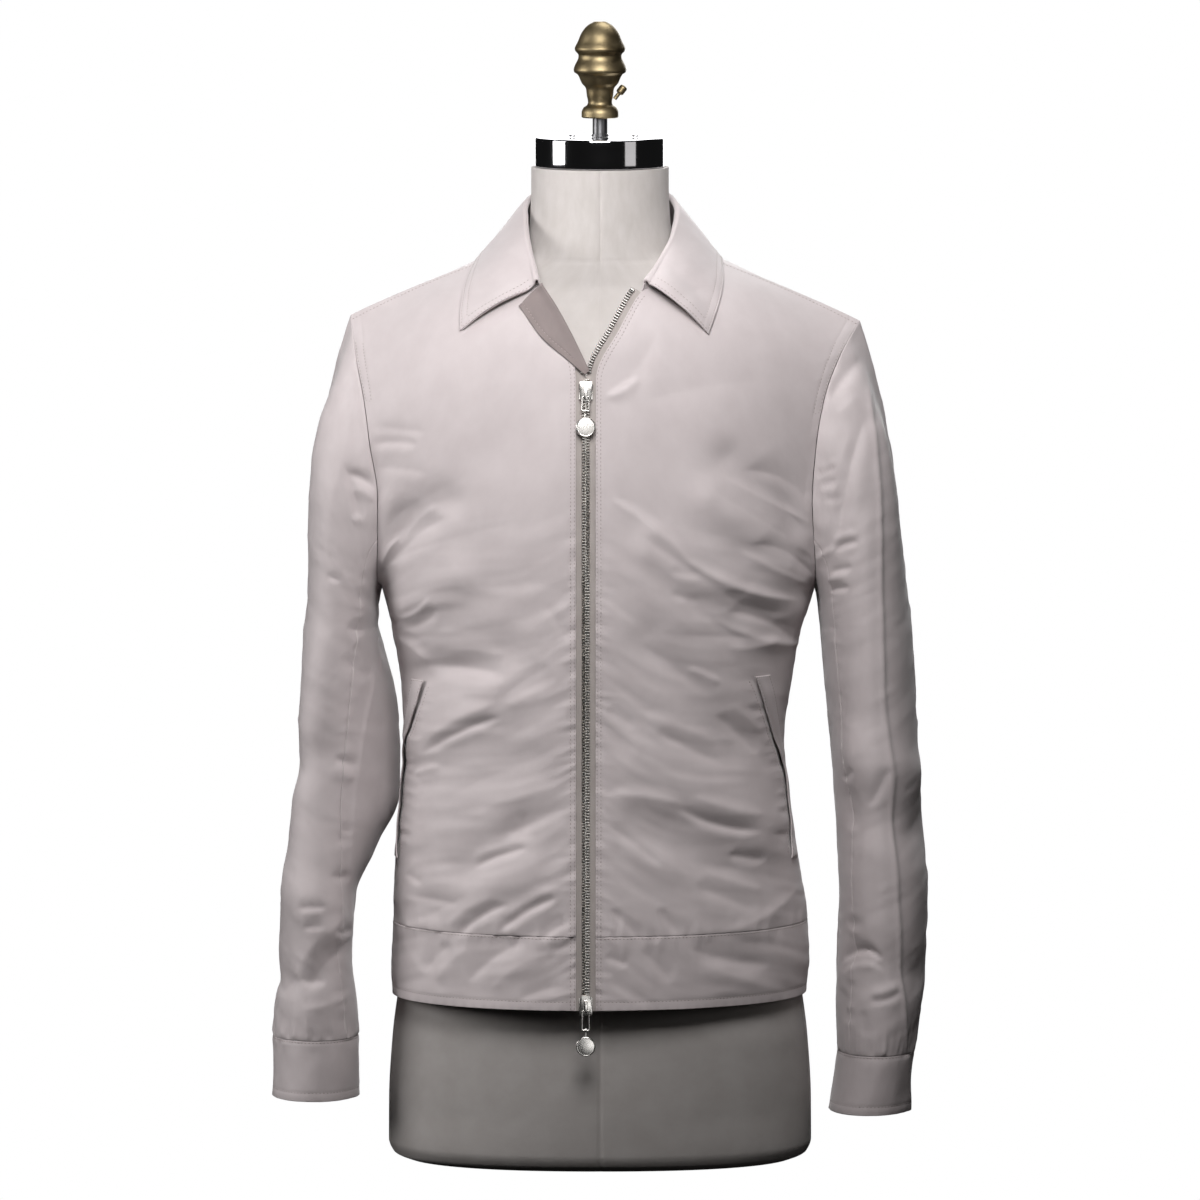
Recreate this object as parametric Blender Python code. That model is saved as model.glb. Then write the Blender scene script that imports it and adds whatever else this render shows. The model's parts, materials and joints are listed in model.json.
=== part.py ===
"""A zipped blouson jacket with a shirt collar, worn on a limbless tailor's dress form.

Metres, +Z up. The front faces -Y and the wearer's left is +X. The origin is the middle of the
form's flat base. Cloth is a closed wall: an outer surface worked out from the tables below, and an
inner one that lies one cloth thickness further in.
"""

import math

import bmesh
import bpy
import numpy as np
from mathutils import Matrix, Vector
from mathutils.bvhtree import BVHTree

# Cloth and seams
CLOTH = 0.0020
SEAM_GAP = 0.0003
MITRE_LIMIT = 0.62
TAPE = 0.0010
FACING = 0.0012
WELT = 0.0014

# Rows of the body: the hem edge, the band seam, the armpit, the gorge, the nape and the shoulder seam
HEM_ROW, BAND_ROW, ARMPIT_ROW, GORGE_ROW, NAPE_ROW, SHOULDER_ROW = -3, 0, 12, 18, 19, 24
ACROSS = 10
BAND_STEPS = 2
GORGE_PLACE = 2 * SHOULDER_ROW - NAPE_ROW - GORGE_ROW

# Sleeves
ROUND = 2 * (SHOULDER_ROW - ARMPIT_ROW)
UNDER_SEAM, BACK_SEAM = 3, 16
CAP_STEPS = 5
ARM_STEPS = 11
CUFF_STEPS = 2
SLIT_SHARE = 0.18
CAP_END_Z = 0.455
CAP_REACH, CAP_SLOPE = 0.34, 0.14

# Zip; its middle lies this far out from the edge of each front
ZIP_OFFSET = 0.00825
CHAIN_HALF = 0.0033
CHAIN_PROUD = 0.0006
TAPE_DEPTH = CLOTH + 0.0005
TAPE_SHARE = 0.35
CHAIN_TOP_ROW, OPEN_TEETH_ROW, LAST_TOOTH_ROW = 16, 16.45, 17.9
ZIP_ROWS = [HEM_ROW, HEM_ROW / 2, *range(BAND_ROW, GORGE_ROW + 1)]

# Sliders and pulls, in a frame on the chain: x across, -y outward, z up
SLIDER_ROW = {"top": 15.75, "bottom": -2.75}
SLIDER_OUTLINE = ((-0.0057, 0.0086), (0.0057, 0.0086), (0.0060, 0.0040),
                  (0.0042, -0.0086), (-0.0042, -0.0086), (-0.0060, 0.0040))
SLIDER_FACE = (0.0009, 0.0027)
LINK_LENGTH = {"top": 0.0120, "bottom": 0.0165}
BRIDGE_HALF = 0.0016
BRIDGE_TOP = 0.0064
BRIDGE_WALL = 0.0013
BRIDGE_SPAN = (-0.0070, 0.0045)
BAR_RADIUS, WIRE_SIDES = 0.0007, 8
BAR_SPOT = (0.0039, -0.0045)
LINK_HALF = 0.0030
EYE_RADIUS, EYE_HOLE, EYE_HALF = 0.0021, 0.0011, 0.0012
ARCH_SINK = 0.0004
DISC_RADIUS, DISC_HALF, DISC_DROP = 0.0083, 0.0010, 0.0137

# Collar; the fall leaves its fold by a share of its length down and out
FOLD_RADIUS = 0.0028
FOLD_STEPS = 4
FALL_STEPS = 5
STAND_STEPS = 2
REST = 0.0012
FALL_LEAD = (0.22, 0.08)
FRONT_FALL_LEAD = {"left": (0.02, 0.26), "right": (0.12, 0.12)}
FRONT_FALL_PLACE = 8
FALL_END_LEAD = 0.35
CLEARING_PASSES = 5

SIDES = {"left": 1, "right": -1}


class Table:
    """Rows of sizes under named columns, read between the rows along a smooth curve."""

    def __init__(self, names, *rows):
        self.rows = np.array(rows, dtype=float)
        if self.rows.shape[1] != len(names.split()):
            raise ValueError("a row does not fit the columns " + names)
        self.places = self.rows[:, 0]
        self.values = self.rows[:, 1:]
        rises = np.diff(self.values, axis=0) / np.diff(self.places)[:, None]
        same = rises[:-1] * rises[1:] > 0
        total = np.where(same, rises[:-1] + rises[1:], 1)
        inner = np.where(same, 2 * rises[:-1] * rises[1:] / total, 0)
        self.slopes = np.vstack([rises[:1], inner, rises[-1:]])

    def at(self, place):
        place = min(max(place, self.places[0]), self.places[-1])
        i = min(int(np.searchsorted(self.places, place, side="right")) - 1, len(self.places) - 2)
        step = self.places[i + 1] - self.places[i]
        t = (place - self.places[i]) / step
        start, end = self.values[i], self.values[i + 1]
        lead, trail = self.slopes[i] * step, self.slopes[i + 1] * step
        return (start * (2 * t**3 - 3 * t**2 + 1) + lead * (t**3 - 2 * t**2 + t)
                + end * (3 * t**2 - 2 * t**3) + trail * (t**3 - t**2))


# Front edge of each front: up the zip, along the opening to the gorge, then round the neck
FRONT_EDGE = {
    "left": Table(
        "row x y z",
        (-3, -0.0038, -0.1405, 0.1415),
        (0, -0.0038, -0.1380, 0.2040),
        (6, -0.0038, -0.1290, 0.3500),
        (12, -0.0038, -0.1335, 0.5000),
        (14, -0.0038, -0.1340, 0.5880),
        (16, -0.0035, -0.1245, 0.6760),
        (17, 0.0155, -0.1140, 0.7160),
        (18, 0.0355, -0.0985, 0.7480),
        (20, 0.0610, -0.0700, 0.7585),
        (22, 0.0765, -0.0320, 0.7670),
        (24, 0.0810, 0.0040, 0.7745),
    ),
    "right": Table(
        "row x y z",
        (-3, -0.0203, -0.1405, 0.1415),
        (0, -0.0203, -0.1380, 0.2040),
        (6, -0.0203, -0.1290, 0.3500),
        (12, -0.0203, -0.1335, 0.5000),
        (14, -0.0203, -0.1340, 0.5880),
        (16, -0.0203, -0.1245, 0.6760),
        (17, -0.0300, -0.1130, 0.7160),
        (18, -0.0485, -0.0950, 0.7490),
        (20, -0.0660, -0.0660, 0.7590),
        (22, -0.0775, -0.0310, 0.7670),
        (24, -0.0810, 0.0040, 0.7745),
    ),
}

# Middle of the back up to the nape, then round the neck; x is for the left half
BACK_EDGE = Table(
    "row x y z",
    (-3, 0.0000, 0.1310, 0.1415),
    (0, 0.0000, 0.1290, 0.2040),
    (6, 0.0000, 0.1100, 0.3500),
    (12, 0.0000, 0.1140, 0.5200),
    (15, 0.0000, 0.1200, 0.6400),
    (17, 0.0000, 0.1090, 0.7200),
    (19, 0.0000, 0.0715, 0.7880),
    (21, 0.0410, 0.0625, 0.7845),
    (22.5, 0.0640, 0.0400, 0.7800),
    (24, 0.0810, 0.0040, 0.7745),
)

SIDE_SEAM = {
    "left": Table(
        "row x y z",
        (-3, 0.1768, 0.004, 0.1415),
        (-1.5, 0.1785, 0.004, 0.1730),
        (0, 0.1775, 0.004, 0.2040),
        (2.5, 0.1690, 0.004, 0.2580),
        (5, 0.1605, 0.004, 0.3180),
        (6.7, 0.1570, 0.004, 0.3580),
        (8.5, 0.1630, 0.003, 0.4030),
        (10.4, 0.1705, 0.001, 0.4480),
        (12, 0.1835, 0.000, 0.4880),
    ),
    "right": Table(
        "row x y z",
        (-3, -0.1765, 0.004, 0.1415),
        (-1.5, -0.1770, 0.004, 0.1730),
        (0, -0.1755, 0.004, 0.2040),
        (2.5, -0.1735, 0.004, 0.2580),
        (5, -0.1690, 0.004, 0.3180),
        (6.7, -0.1665, 0.004, 0.3580),
        (8.5, -0.1690, 0.003, 0.4030),
        (10.4, -0.1760, 0.001, 0.4480),
        (12, -0.1860, 0.000, 0.4880),
    ),
}

ARMHOLE = {
    ("front", "left"): Table(
        "row x y z",
        (12, 0.1835, 0.000, 0.4880),
        (13.2, 0.1835, -0.034, 0.4970),
        (14.4, 0.1825, -0.056, 0.5200),
        (16.3, 0.1800, -0.068, 0.5670),
        (18.2, 0.1830, -0.068, 0.6130),
        (20.1, 0.1905, -0.058, 0.6550),
        (22, 0.2040, -0.036, 0.6890),
        (24, 0.2215, 0.000, 0.7165),
    ),
    ("front", "right"): Table(
        "row x y z",
        (12, -0.1860, 0.000, 0.4880),
        (13.2, -0.1895, -0.034, 0.4970),
        (14.4, -0.1890, -0.056, 0.5200),
        (16.3, -0.1885, -0.068, 0.5700),
        (18.2, -0.1950, -0.068, 0.6150),
        (20.1, -0.2000, -0.058, 0.6520),
        (22, -0.2070, -0.036, 0.6860),
        (24, -0.2125, 0.000, 0.7215),
    ),
    ("back", "left"): Table(
        "row x y z",
        (12, 0.1835, 0.000, 0.4880),
        (13.2, 0.1825, 0.034, 0.4990),
        (14.4, 0.1800, 0.056, 0.5230),
        (16.3, 0.1785, 0.067, 0.5700),
        (18.2, 0.1820, 0.067, 0.6160),
        (20.1, 0.1905, 0.058, 0.6570),
        (22, 0.2040, 0.036, 0.6910),
        (24, 0.2215, 0.000, 0.7165),
    ),
    ("back", "right"): Table(
        "row x y z",
        (12, -0.1860, 0.000, 0.4880),
        (13.2, -0.1880, 0.034, 0.4990),
        (14.4, -0.1865, 0.056, 0.5230),
        (16.3, -0.1860, 0.067, 0.5700),
        (18.2, -0.1900, 0.067, 0.6160),
        (20.1, -0.1965, 0.058, 0.6560),
        (22, -0.2050, 0.036, 0.6900),
        (24, -0.2125, 0.000, 0.7215),
    ),
}

# How each row swells out from the straight line between its two edges
SWELL = {
    "front": Table(
        "row lead_in swell_in lead_out swell_out tilt",
        (-3, 0.360, 0.0650, 0.200, 0.0640, 0),
        (0, 0.360, 0.0640, 0.200, 0.0630, 0),
        (6, 0.350, 0.0600, 0.220, 0.0600, 0),
        (12, 0.400, 0.0620, 0.190, 0.0520, 0),
        (14.4, 0.440, 0.0400, 0.200, 0.0400, 4),
        (18, 0.360, 0.0300, 0.300, 0.0290, 25),
        (21, 0.340, 0.0210, 0.320, 0.0190, 50),
        (24, 0.340, 0.0020, 0.320, 0.0030, 90),
    ),
    "back": Table(
        "row lead_in swell_in lead_out swell_out tilt",
        (-3, 0.360, 0.0620, 0.200, 0.0620, 0),
        (0, 0.360, 0.0610, 0.200, 0.0610, 0),
        (6, 0.380, 0.0500, 0.220, 0.0520, 0),
        (12, 0.400, 0.0560, 0.190, 0.0480, 0),
        (14.4, 0.440, 0.0340, 0.200, 0.0360, 0),
        (18, 0.360, 0.0380, 0.300, 0.0300, 10),
        (21, 0.340, 0.0290, 0.320, 0.0190, 45),
        (24, 0.340, 0.0020, 0.320, 0.0030, 90),
    ),
}

# Largest folds: both ends, breadth and height, in x and z on the body and in turn and z on a sleeve
FOLDS = {
    ("front", "left"): (
        ((0.172, 0.552), (0.110, 0.606), 0.016, -0.0051),
        ((0.160, 0.520), (0.095, 0.575), 0.017, 0.0042),
        ((0.165, 0.470), (0.045, 0.535), 0.018, 0.0039),
        ((0.040, 0.455), (0.110, 0.362), 0.018, -0.0039),
        ((0.030, 0.355), (0.140, 0.290), 0.019, 0.0042),
        ((0.030, 0.300), (0.145, 0.242), 0.016, -0.0036),
    ),
    ("front", "right"): (
        ((-0.172, 0.546), (-0.130, 0.570), 0.016, -0.0048),
        ((-0.165, 0.482), (-0.120, 0.505), 0.016, 0.0048),
        ((-0.150, 0.422), (-0.075, 0.446), 0.017, -0.0042),
        ((-0.155, 0.362), (-0.080, 0.410), 0.018, 0.0042),
        ((-0.125, 0.225), (-0.060, 0.260), 0.016, 0.0039),
        ((-0.115, 0.255), (-0.065, 0.295), 0.015, -0.0036),
    ),
    ("back", "left"): (
        ((0.060, 0.370), (0.140, 0.350), 0.020, -0.0045),
        ((0.040, 0.330), (0.150, 0.305), 0.018, 0.0039),
        ((0.150, 0.560), (0.120, 0.460), 0.018, 0.0045),
    ),
    ("back", "right"): (
        ((-0.050, 0.375), (-0.145, 0.345), 0.019, -0.0045),
        ((-0.030, 0.325), (-0.140, 0.300), 0.018, 0.0036),
        ((-0.150, 0.570), (-0.125, 0.470), 0.018, 0.0045),
    ),
    ("sleeve", "left"): (
        ((0.18, 0.350), (0.42, 0.335), 0.022, 0.0045),
        ((0.15, 0.300), (0.40, 0.285), 0.022, -0.0042),
        ((0.15, 0.180), (0.40, 0.160), 0.022, -0.0039),
    ),
    ("sleeve", "right"): (
        ((0.20, 0.350), (0.45, 0.330), 0.022, -0.0042),
        ((0.16, 0.215), (0.40, 0.235), 0.022, 0.0042),
        ((0.22, 0.160), (0.50, 0.150), 0.022, -0.0036),
    ),
}
SLEEVE_GIRTH = 0.34
FOLD_FADE = 0.22

# Direction in which the sleeve leaves the armhole, round from the armpit by way of the front
CAP_LEAD = Table(
    "turn out back down",
    (0.00, 0.28, 0.00, 0.96),
    (0.06, 0.45, -0.04, 0.89),
    (0.12, 0.60, -0.12, 0.80),
    (0.25, 0.85, -0.25, 0.50),
    (0.38, 0.80, -0.20, 0.55),
    (0.50, 0.34, 0.00, 0.90),
    (0.62, 0.80, 0.20, 0.55),
    (0.75, 0.85, 0.25, 0.50),
    (0.88, 0.60, 0.12, 0.80),
    (0.94, 0.45, 0.04, 0.89),
    (1.00, 0.28, 0.00, 0.96),
)

# Level sections of each sleeve down to the foot of its cuff, with x measured out from the body
SLEEVE = {
    "left": Table(
        "drop x y half_width half_depth twist",
        (-0.455, 0.2272, 0.000, 0.0393, 0.0740, 0),
        (-0.392, 0.2317, -0.001, 0.0387, 0.0715, 0),
        (-0.341, 0.2350, -0.003, 0.0370, 0.0690, 0),
        (-0.290, 0.2390, -0.006, 0.0372, 0.0660, 0),
        (-0.222, 0.2423, -0.010, 0.0383, 0.0610, 0),
        (-0.160, 0.2405, -0.014, 0.0380, 0.0570, 0),
        (-0.110, 0.2375, -0.017, 0.0350, 0.0540, 0),
        (-0.093, 0.2362, -0.018, 0.0334, 0.0520, 0),
        (-0.042, 0.2300, -0.019, 0.0345, 0.0500, 0),
    ),
    "right": Table(
        "drop x y half_width half_depth twist",
        (-0.455, 0.2208, 0.000, 0.0305, 0.0680, 8),
        (-0.375, 0.2147, 0.000, 0.0335, 0.0680, 26),
        (-0.307, 0.2176, -0.002, 0.0350, 0.0660, 31),
        (-0.260, 0.2300, -0.005, 0.0335, 0.0630, 16),
        (-0.226, 0.2397, -0.008, 0.0308, 0.0610, 4),
        (-0.171, 0.2436, -0.012, 0.0315, 0.0580, 0),
        (-0.120, 0.2430, -0.016, 0.0362, 0.0540, 0),
        (-0.106, 0.2432, -0.017, 0.0366, 0.0520, 0),
        (-0.054, 0.2430, -0.019, 0.0370, 0.0500, 0),
    ),
}
CUFF_SEAM_Z = {"left": 0.093, "right": 0.106}
CUFF_FOOT_Z = {"left": 0.042, "right": 0.054}

# Fold line of the collar, counted from the nape to the gorge
ROLL = {
    "left": Table(
        "place x y z",
        (0, 0.0000, 0.0655, 0.8290),
        (2, 0.0320, 0.0590, 0.8270),
        (4, 0.0565, 0.0350, 0.8200),
        (5, 0.0630, 0.0160, 0.8150),
        (6, 0.0655, -0.0050, 0.8085),
        (8, 0.0610, -0.0480, 0.7905),
        (10, 0.0470, -0.0835, 0.7665),
        (11, 0.0375, -0.1000, 0.7545),
    ),
    "right": Table(
        "place x y z",
        (0, 0.0000, 0.0655, 0.8290),
        (2, -0.0320, 0.0590, 0.8270),
        (4, -0.0550, 0.0350, 0.8200),
        (5, -0.0610, 0.0160, 0.8160),
        (6, -0.0635, -0.0050, 0.8090),
        (8, -0.0620, -0.0450, 0.7920),
        (10, -0.0560, -0.0790, 0.7690),
        (11, -0.0520, -0.0970, 0.7555),
    ),
}

# Where the collar's outer edge lies on the fronts and the back, counted in the same way
COLLAR_EDGE = {
    "left": Table(
        "place x y z",
        (0, 0.0000, 0.0970, 0.7720),
        (2, 0.0480, 0.0880, 0.7700),
        (4, 0.0860, 0.0520, 0.7680),
        (5, 0.0980, 0.0290, 0.7670),
        (6, 0.1035, 0.0000, 0.7640),
        (8, 0.1030, -0.0500, 0.7500),
        (10, 0.0985, -0.0920, 0.7300),
        (11, 0.0945, -0.1120, 0.7160),
    ),
    "right": Table(
        "place x y z",
        (0, 0.0000, 0.0970, 0.7720),
        (2, -0.0480, 0.0880, 0.7700),
        (4, -0.0860, 0.0520, 0.7680),
        (5, -0.0985, 0.0290, 0.7670),
        (6, -0.1050, 0.0000, 0.7630),
        (8, -0.1130, -0.0450, 0.7480),
        (10, -0.1210, -0.0860, 0.7300),
        (11, -0.1250, -0.1030, 0.7225),
    ),
}

# Turned-back part of the right front: its fold and its sewn edge, up from the foot of the opening
FACING_FOLD = Table(
    "share x z",
    (0.0, -0.0060, 0.6770),
    (0.4, -0.0195, 0.7050),
    (0.7, -0.0345, 0.7335),
    (1.0, -0.0478, 0.7485),
)
FACING_SEWN = Table(
    "share x z",
    (0.0, -0.0085, 0.6755),
    (0.4, -0.0290, 0.6925),
    (0.7, -0.0490, 0.7095),
    (1.0, -0.0675, 0.7330),
)

# Pocket welts: the outer edge of each, from its top to its foot
WELT_LINE = {
    "left": Table(
        "share row across",
        (0.0, 9.2, 0.660),
        (0.2, 7.9, 0.765),
        (0.4, 6.6, 0.880),
        (0.55, 5.6, 0.955),
        (0.75, 4.2, 0.960),
        (0.9, 3.2, 0.935),
        (1.0, 2.5, 0.890),
    ),
    "right": Table(
        "share row across",
        (0.0, 9.0, 0.720),
        (0.15, 8.1, 0.770),
        (0.3, 7.1, 0.850),
        (0.45, 6.2, 0.940),
        (0.65, 4.8, 0.955),
        (0.85, 3.5, 0.940),
        (1.0, 2.5, 0.890),
    ),
}
WELT_WIDTH, WELT_STEPS, WELT_LINES = 0.022, 14, 4
FACING_START, FACING_STEPS = 0.08, 5
AHEAD_Y, CHEST_Y = -0.30, -0.12

# Level sections of the form; the roundness is the power of its oval
FORM = Table(
    "z half_width front back roundness",
    (0.0000, 0.1665, 0.1075, 0.1095, 2.3),
    (0.0044, 0.1768, 0.1175, 0.1195, 2.3),
    (0.0150, 0.1810, 0.1215, 0.1235, 2.3),
    (0.0500, 0.1808, 0.1225, 0.1240, 2.2),
    (0.1030, 0.1777, 0.1205, 0.1225, 2.2),
    (0.1430, 0.1727, 0.1170, 0.1190, 2.1),
    (0.2040, 0.1640, 0.1110, 0.1130, 2.1),
    (0.2800, 0.1510, 0.1010, 0.0980, 2.1),
    (0.3400, 0.1445, 0.0970, 0.0890, 2.1),
    (0.4000, 0.1470, 0.1010, 0.0890, 2.1),
    (0.4700, 0.1555, 0.1100, 0.0950, 2.1),
    (0.5400, 0.1650, 0.1180, 0.1030, 2.1),
    (0.6000, 0.1725, 0.1180, 0.1060, 2.1),
    (0.6500, 0.1790, 0.1080, 0.1030, 2.1),
    (0.6900, 0.1830, 0.0900, 0.0920, 2.1),
    (0.7100, 0.1810, 0.0780, 0.0820, 2.0),
    (0.7245, 0.1740, 0.0700, 0.0740, 2.0),
    (0.7359, 0.1610, 0.0630, 0.0680, 2.0),
    (0.7513, 0.1250, 0.0580, 0.0630, 2.0),
    (0.7653, 0.0840, 0.0580, 0.0610, 2.0),
    (0.7740, 0.0695, 0.0580, 0.0600, 2.0),
    (0.7850, 0.0640, 0.0580, 0.0590, 2.0),
    (0.8000, 0.0600, 0.0580, 0.0580, 2.0),
    (0.8300, 0.0585, 0.0580, 0.0580, 2.0),
    (0.8470, 0.0585, 0.0580, 0.0580, 2.0),
)
FORM_SIDES = 32

# Turned pieces: radius and height of each point of the profile
CAP_PROFILE = ((0.0520, 0.8474), (0.0546, 0.8476), (0.0550, 0.8482), (0.0550, 0.8710),
               (0.0544, 0.8722), (0.0530, 0.8726), (0.0080, 0.8726))
ROD_PROFILE = ((0.0075, 0.8729), (0.0075, 0.8750), (0.0063, 0.8752), (0.0063, 0.8887))
FINIAL_PROFILE = ((0.0148, 0.8890), (0.0157, 0.8900), (0.0157, 0.8932), (0.0140, 0.8976),
                  (0.0109, 0.9000), (0.0102, 0.9022), (0.0112, 0.9078), (0.0120, 0.9138),
                  (0.0155, 0.9184), (0.0190, 0.9257), (0.0220, 0.9280), (0.0224, 0.9299),
                  (0.0216, 0.9330), (0.0183, 0.9410), (0.0184, 0.9425), (0.0212, 0.9462),
                  (0.0215, 0.9480), (0.0208, 0.9500), (0.0189, 0.9537), (0.0158, 0.9610),
                  (0.0105, 0.9675), (0.0050, 0.9707))
SCREW_PROFILE = ((0.0030, 0.0000), (0.0032, 0.0005), (0.0024, 0.0014), (0.0010, 0.0018))
THUMB_PROFILE = ((0.0017, 0.0000), (0.0017, 0.0058), (0.0030, 0.0064), (0.0034, 0.0080),
                 (0.0034, 0.0120), (0.0028, 0.0134), (0.0010, 0.0140))
THUMB_FOOT, THUMB_LEAN = (0.0124, -0.0020, 0.9050), 38
CAP_SCREW_X = {"left": 0.0298, "right": -0.0238}
CAP_TOP_Z = 0.8726


def unit(vectors):
    lengths = np.linalg.norm(vectors, axis=-1, keepdims=True)
    return vectors / np.maximum(lengths, 1e-12)


# ---------------------------------------------------------------- cloth surfaces

def panel_edges(face, side, row):
    """The two ends of one row of a front or of half the back."""
    if face == "front":
        inner = FRONT_EDGE[side].at(row)
    else:
        inner = BACK_EDGE.at(row) * (SIDES[side], 1, 1)
    outer = SIDE_SEAM[side].at(row) if row <= ARMPIT_ROW else ARMHOLE[face, side].at(row)
    return inner, outer


def fold_height(face, side, spot, scale=1.0):
    """How far the folds lift the cloth at a spot; the first coordinate is scaled to metres."""
    height = 0.0
    for start, end, breadth, rise in FOLDS[face, side]:
        start, end, here = (np.array((a * scale, b)) for a, b in (start, end, spot))
        share = min(max((here - start) @ (end - start) / ((end - start) @ (end - start)), 0), 1)
        away = np.linalg.norm(here - start - share * (end - start))
        height += rise * math.exp(-(away / breadth)**2)
    return height


def fade(distance):
    """Rise smoothly from 0 at an edge to 1 at the fade distance."""
    share = min(max(distance / FOLD_FADE, 0), 1)
    return share * share * (3 - 2 * share)


def panel_point(face, side, row, across):
    """A point of a front or of half the back with its folds, from its inner edge to its side."""
    spot = smooth_panel_point(face, side, row, across)
    middle = BAND_ROW + (SHOULDER_ROW - BAND_ROW) / 2
    room = fade(across) * fade(1 - across) * fade(1 - abs(row - middle) / middle)
    if room == 0:
        return spot
    beside = smooth_panel_point(face, side, row, across + 0.01) - spot
    above = smooth_panel_point(face, side, row + 0.1, across) - spot
    out = unit(np.cross(beside, above)) * SIDES[side] * (1 if face == "front" else -1)
    return spot + out * room * fold_height(face, side, (spot[0], spot[2]))


def smooth_panel_point(face, side, row, across):
    """The same point before the folds."""
    start, end = panel_edges(face, side, row)
    lead_in, swell_in, lead_out, swell_out, tilt = SWELL[face].at(row)
    chord = end - start
    level = unit(np.array((abs(chord[1]) * SIDES[side], -abs(chord[0]), 0.0)))
    if face == "back":
        level = level * (1, -1, 1)
    if (end[1] - start[1]) * (1 if face == "front" else -1) < 0:
        level = level * (-1, 1, 1)
    lean = math.radians(tilt)
    out = level * math.cos(lean) + np.array((0, 0, math.sin(lean)))
    first = start + chord * lead_in + out * swell_in
    second = end - chord * lead_out + out * swell_out
    rest = 1 - across
    return (start * rest**3 + first * 3 * rest**2 * across
            + second * 3 * rest * across**2 + end * across**3)


def armhole_point(side, turn):
    """A point of the armhole, round from the armpit (0) by way of the front and the shoulder."""
    half = SHOULDER_ROW - ARMPIT_ROW
    if turn <= 0.5:
        return ARMHOLE["front", side].at(ARMPIT_ROW + 2 * half * turn)
    return ARMHOLE["back", side].at(SHOULDER_ROW - 2 * half * (turn - 0.5))


def sleeve_section(side, z, turn):
    """A point of one level section of a sleeve."""
    x, y, half_width, half_depth, twist = SLEEVE[side].at(-z)
    angle = 2 * math.pi * turn
    wide, deep = -half_width * math.cos(angle), -half_depth * math.sin(angle)
    lean = math.radians(twist)
    out = x + wide * math.cos(lean) - deep * math.sin(lean)
    back = y + wide * math.sin(lean) + deep * math.cos(lean)
    return np.array((out * SIDES[side], back, z))


def sleeve_point(side, turn, down):
    """A point of a sleeve: down runs 0 to 1 over the sleeve head, then 1 to 2 to the cuff seam."""
    if down > 1:
        z = CAP_END_Z + (CUFF_SEAM_Z[side] - CAP_END_Z) * (down - 1)
        spot = sleeve_section(side, z, turn)
        out = unit(spot - sleeve_section(side, z, turn + 0.5)) * (1, 1, 0)
        lift = fold_height("sleeve", side, (turn, z), SLEEVE_GIRTH)
        return spot + out * lift * fade(down - 1) * fade(2 - down)
    start = armhole_point(side, turn)
    end = sleeve_section(side, CAP_END_Z, turn)
    out, back, drop = unit(CAP_LEAD.at(turn))
    reach = CAP_REACH * np.linalg.norm(end - start)
    first = start + np.array((out * SIDES[side], back, -drop)) * reach
    second = end + np.array((-CAP_SLOPE * SIDES[side], 0, 1)) * reach
    rest = 1 - down
    return (start * rest**3 + first * 3 * rest**2 * down
            + second * 3 * rest * down**2 + end * down**3)


def panel_grid(face, side, rows):
    return np.array([[panel_point(face, side, row, step / ACROSS) for step in range(ACROSS + 1)]
                     for row in rows])


def sleeve_grid(side, first, last):
    levels = [step / CAP_STEPS for step in range(CAP_STEPS)]
    levels += [1 + step / ARM_STEPS for step in range(ARM_STEPS + 1)]
    return np.array([[sleeve_point(side, (step % ROUND) / ROUND, level)
                      for step in range(first, last + 1)] for level in levels])


def cuff_grid(side):
    top, foot = CUFF_SEAM_Z[side], CUFF_FOOT_Z[side]
    heights = [top + (foot - top) * step / CUFF_STEPS for step in range(CUFF_STEPS + 1)]
    places = [BACK_SEAM + step for step in range(ROUND + 1)]
    places[0] += SLIT_SHARE
    places[-1] -= SLIT_SHARE
    return np.array([[sleeve_section(side, z, place / ROUND) for place in places] for z in heights])


def neck_point(side, place):
    """A point of the neckline, counted from the nape (0) past the shoulder seam to the gorge."""
    back_places = SHOULDER_ROW - NAPE_ROW
    if place <= back_places:
        return BACK_EDGE.at(NAPE_ROW + place) * (SIDES[side], 1, 1)
    return FRONT_EDGE[side].at(SHOULDER_ROW - (place - back_places))


def neck_places():
    """Side and place of every sample of the collar, from the right gorge round to the left one."""
    return ([("right", place) for place in range(GORGE_PLACE, 0, -1)]
            + [("left", place) for place in range(GORGE_PLACE + 1)])


def stand_grid():
    rows = []
    for step in range(STAND_STEPS + 1):
        share = step / STAND_STEPS
        rows.append([neck_point(*spot) * (1 - share) + ROLL[spot[0]].at(spot[1]) * share
                     for spot in neck_places()])
    return np.array(rows)


def fall_line(side, place, out, rest_on):
    """The collar's fall in section: over the fold in a small round, then down to its edge."""
    top = ROLL[side].at(place)
    rise = top - neck_point(side, place)
    up = unit(rise - out * (rise @ out))
    middle = top + out * (FOLD_RADIUS - CLOTH) + up * 1.5 * SEAM_GAP
    line = []
    for step in range(FOLD_STEPS):
        angle = math.pi * step / FOLD_STEPS
        line.append(middle + FOLD_RADIUS * (up * math.sin(angle) - out * math.cos(angle)))
    start = middle + out * FOLD_RADIUS
    end = rest_on(COLLAR_EDGE[side].at(place), CLOTH + REST)
    share = max(0, place - FRONT_FALL_PLACE) / (GORGE_PLACE - FRONT_FALL_PLACE)
    drop, lead = np.array(FALL_LEAD) * (1 - share) + np.array(FRONT_FALL_LEAD[side]) * share
    reach = np.linalg.norm(end - start)
    first = start - up * drop * reach + out * lead * reach
    second = end + (start - end) * FALL_END_LEAD
    for step in range(FALL_STEPS + 1):
        t = step / FALL_STEPS
        line.append(start * (1 - t)**3 + first * 3 * (1 - t)**2 * t
                    + second * 3 * (1 - t) * t**2 + end * t**3)
    return line, middle


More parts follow.
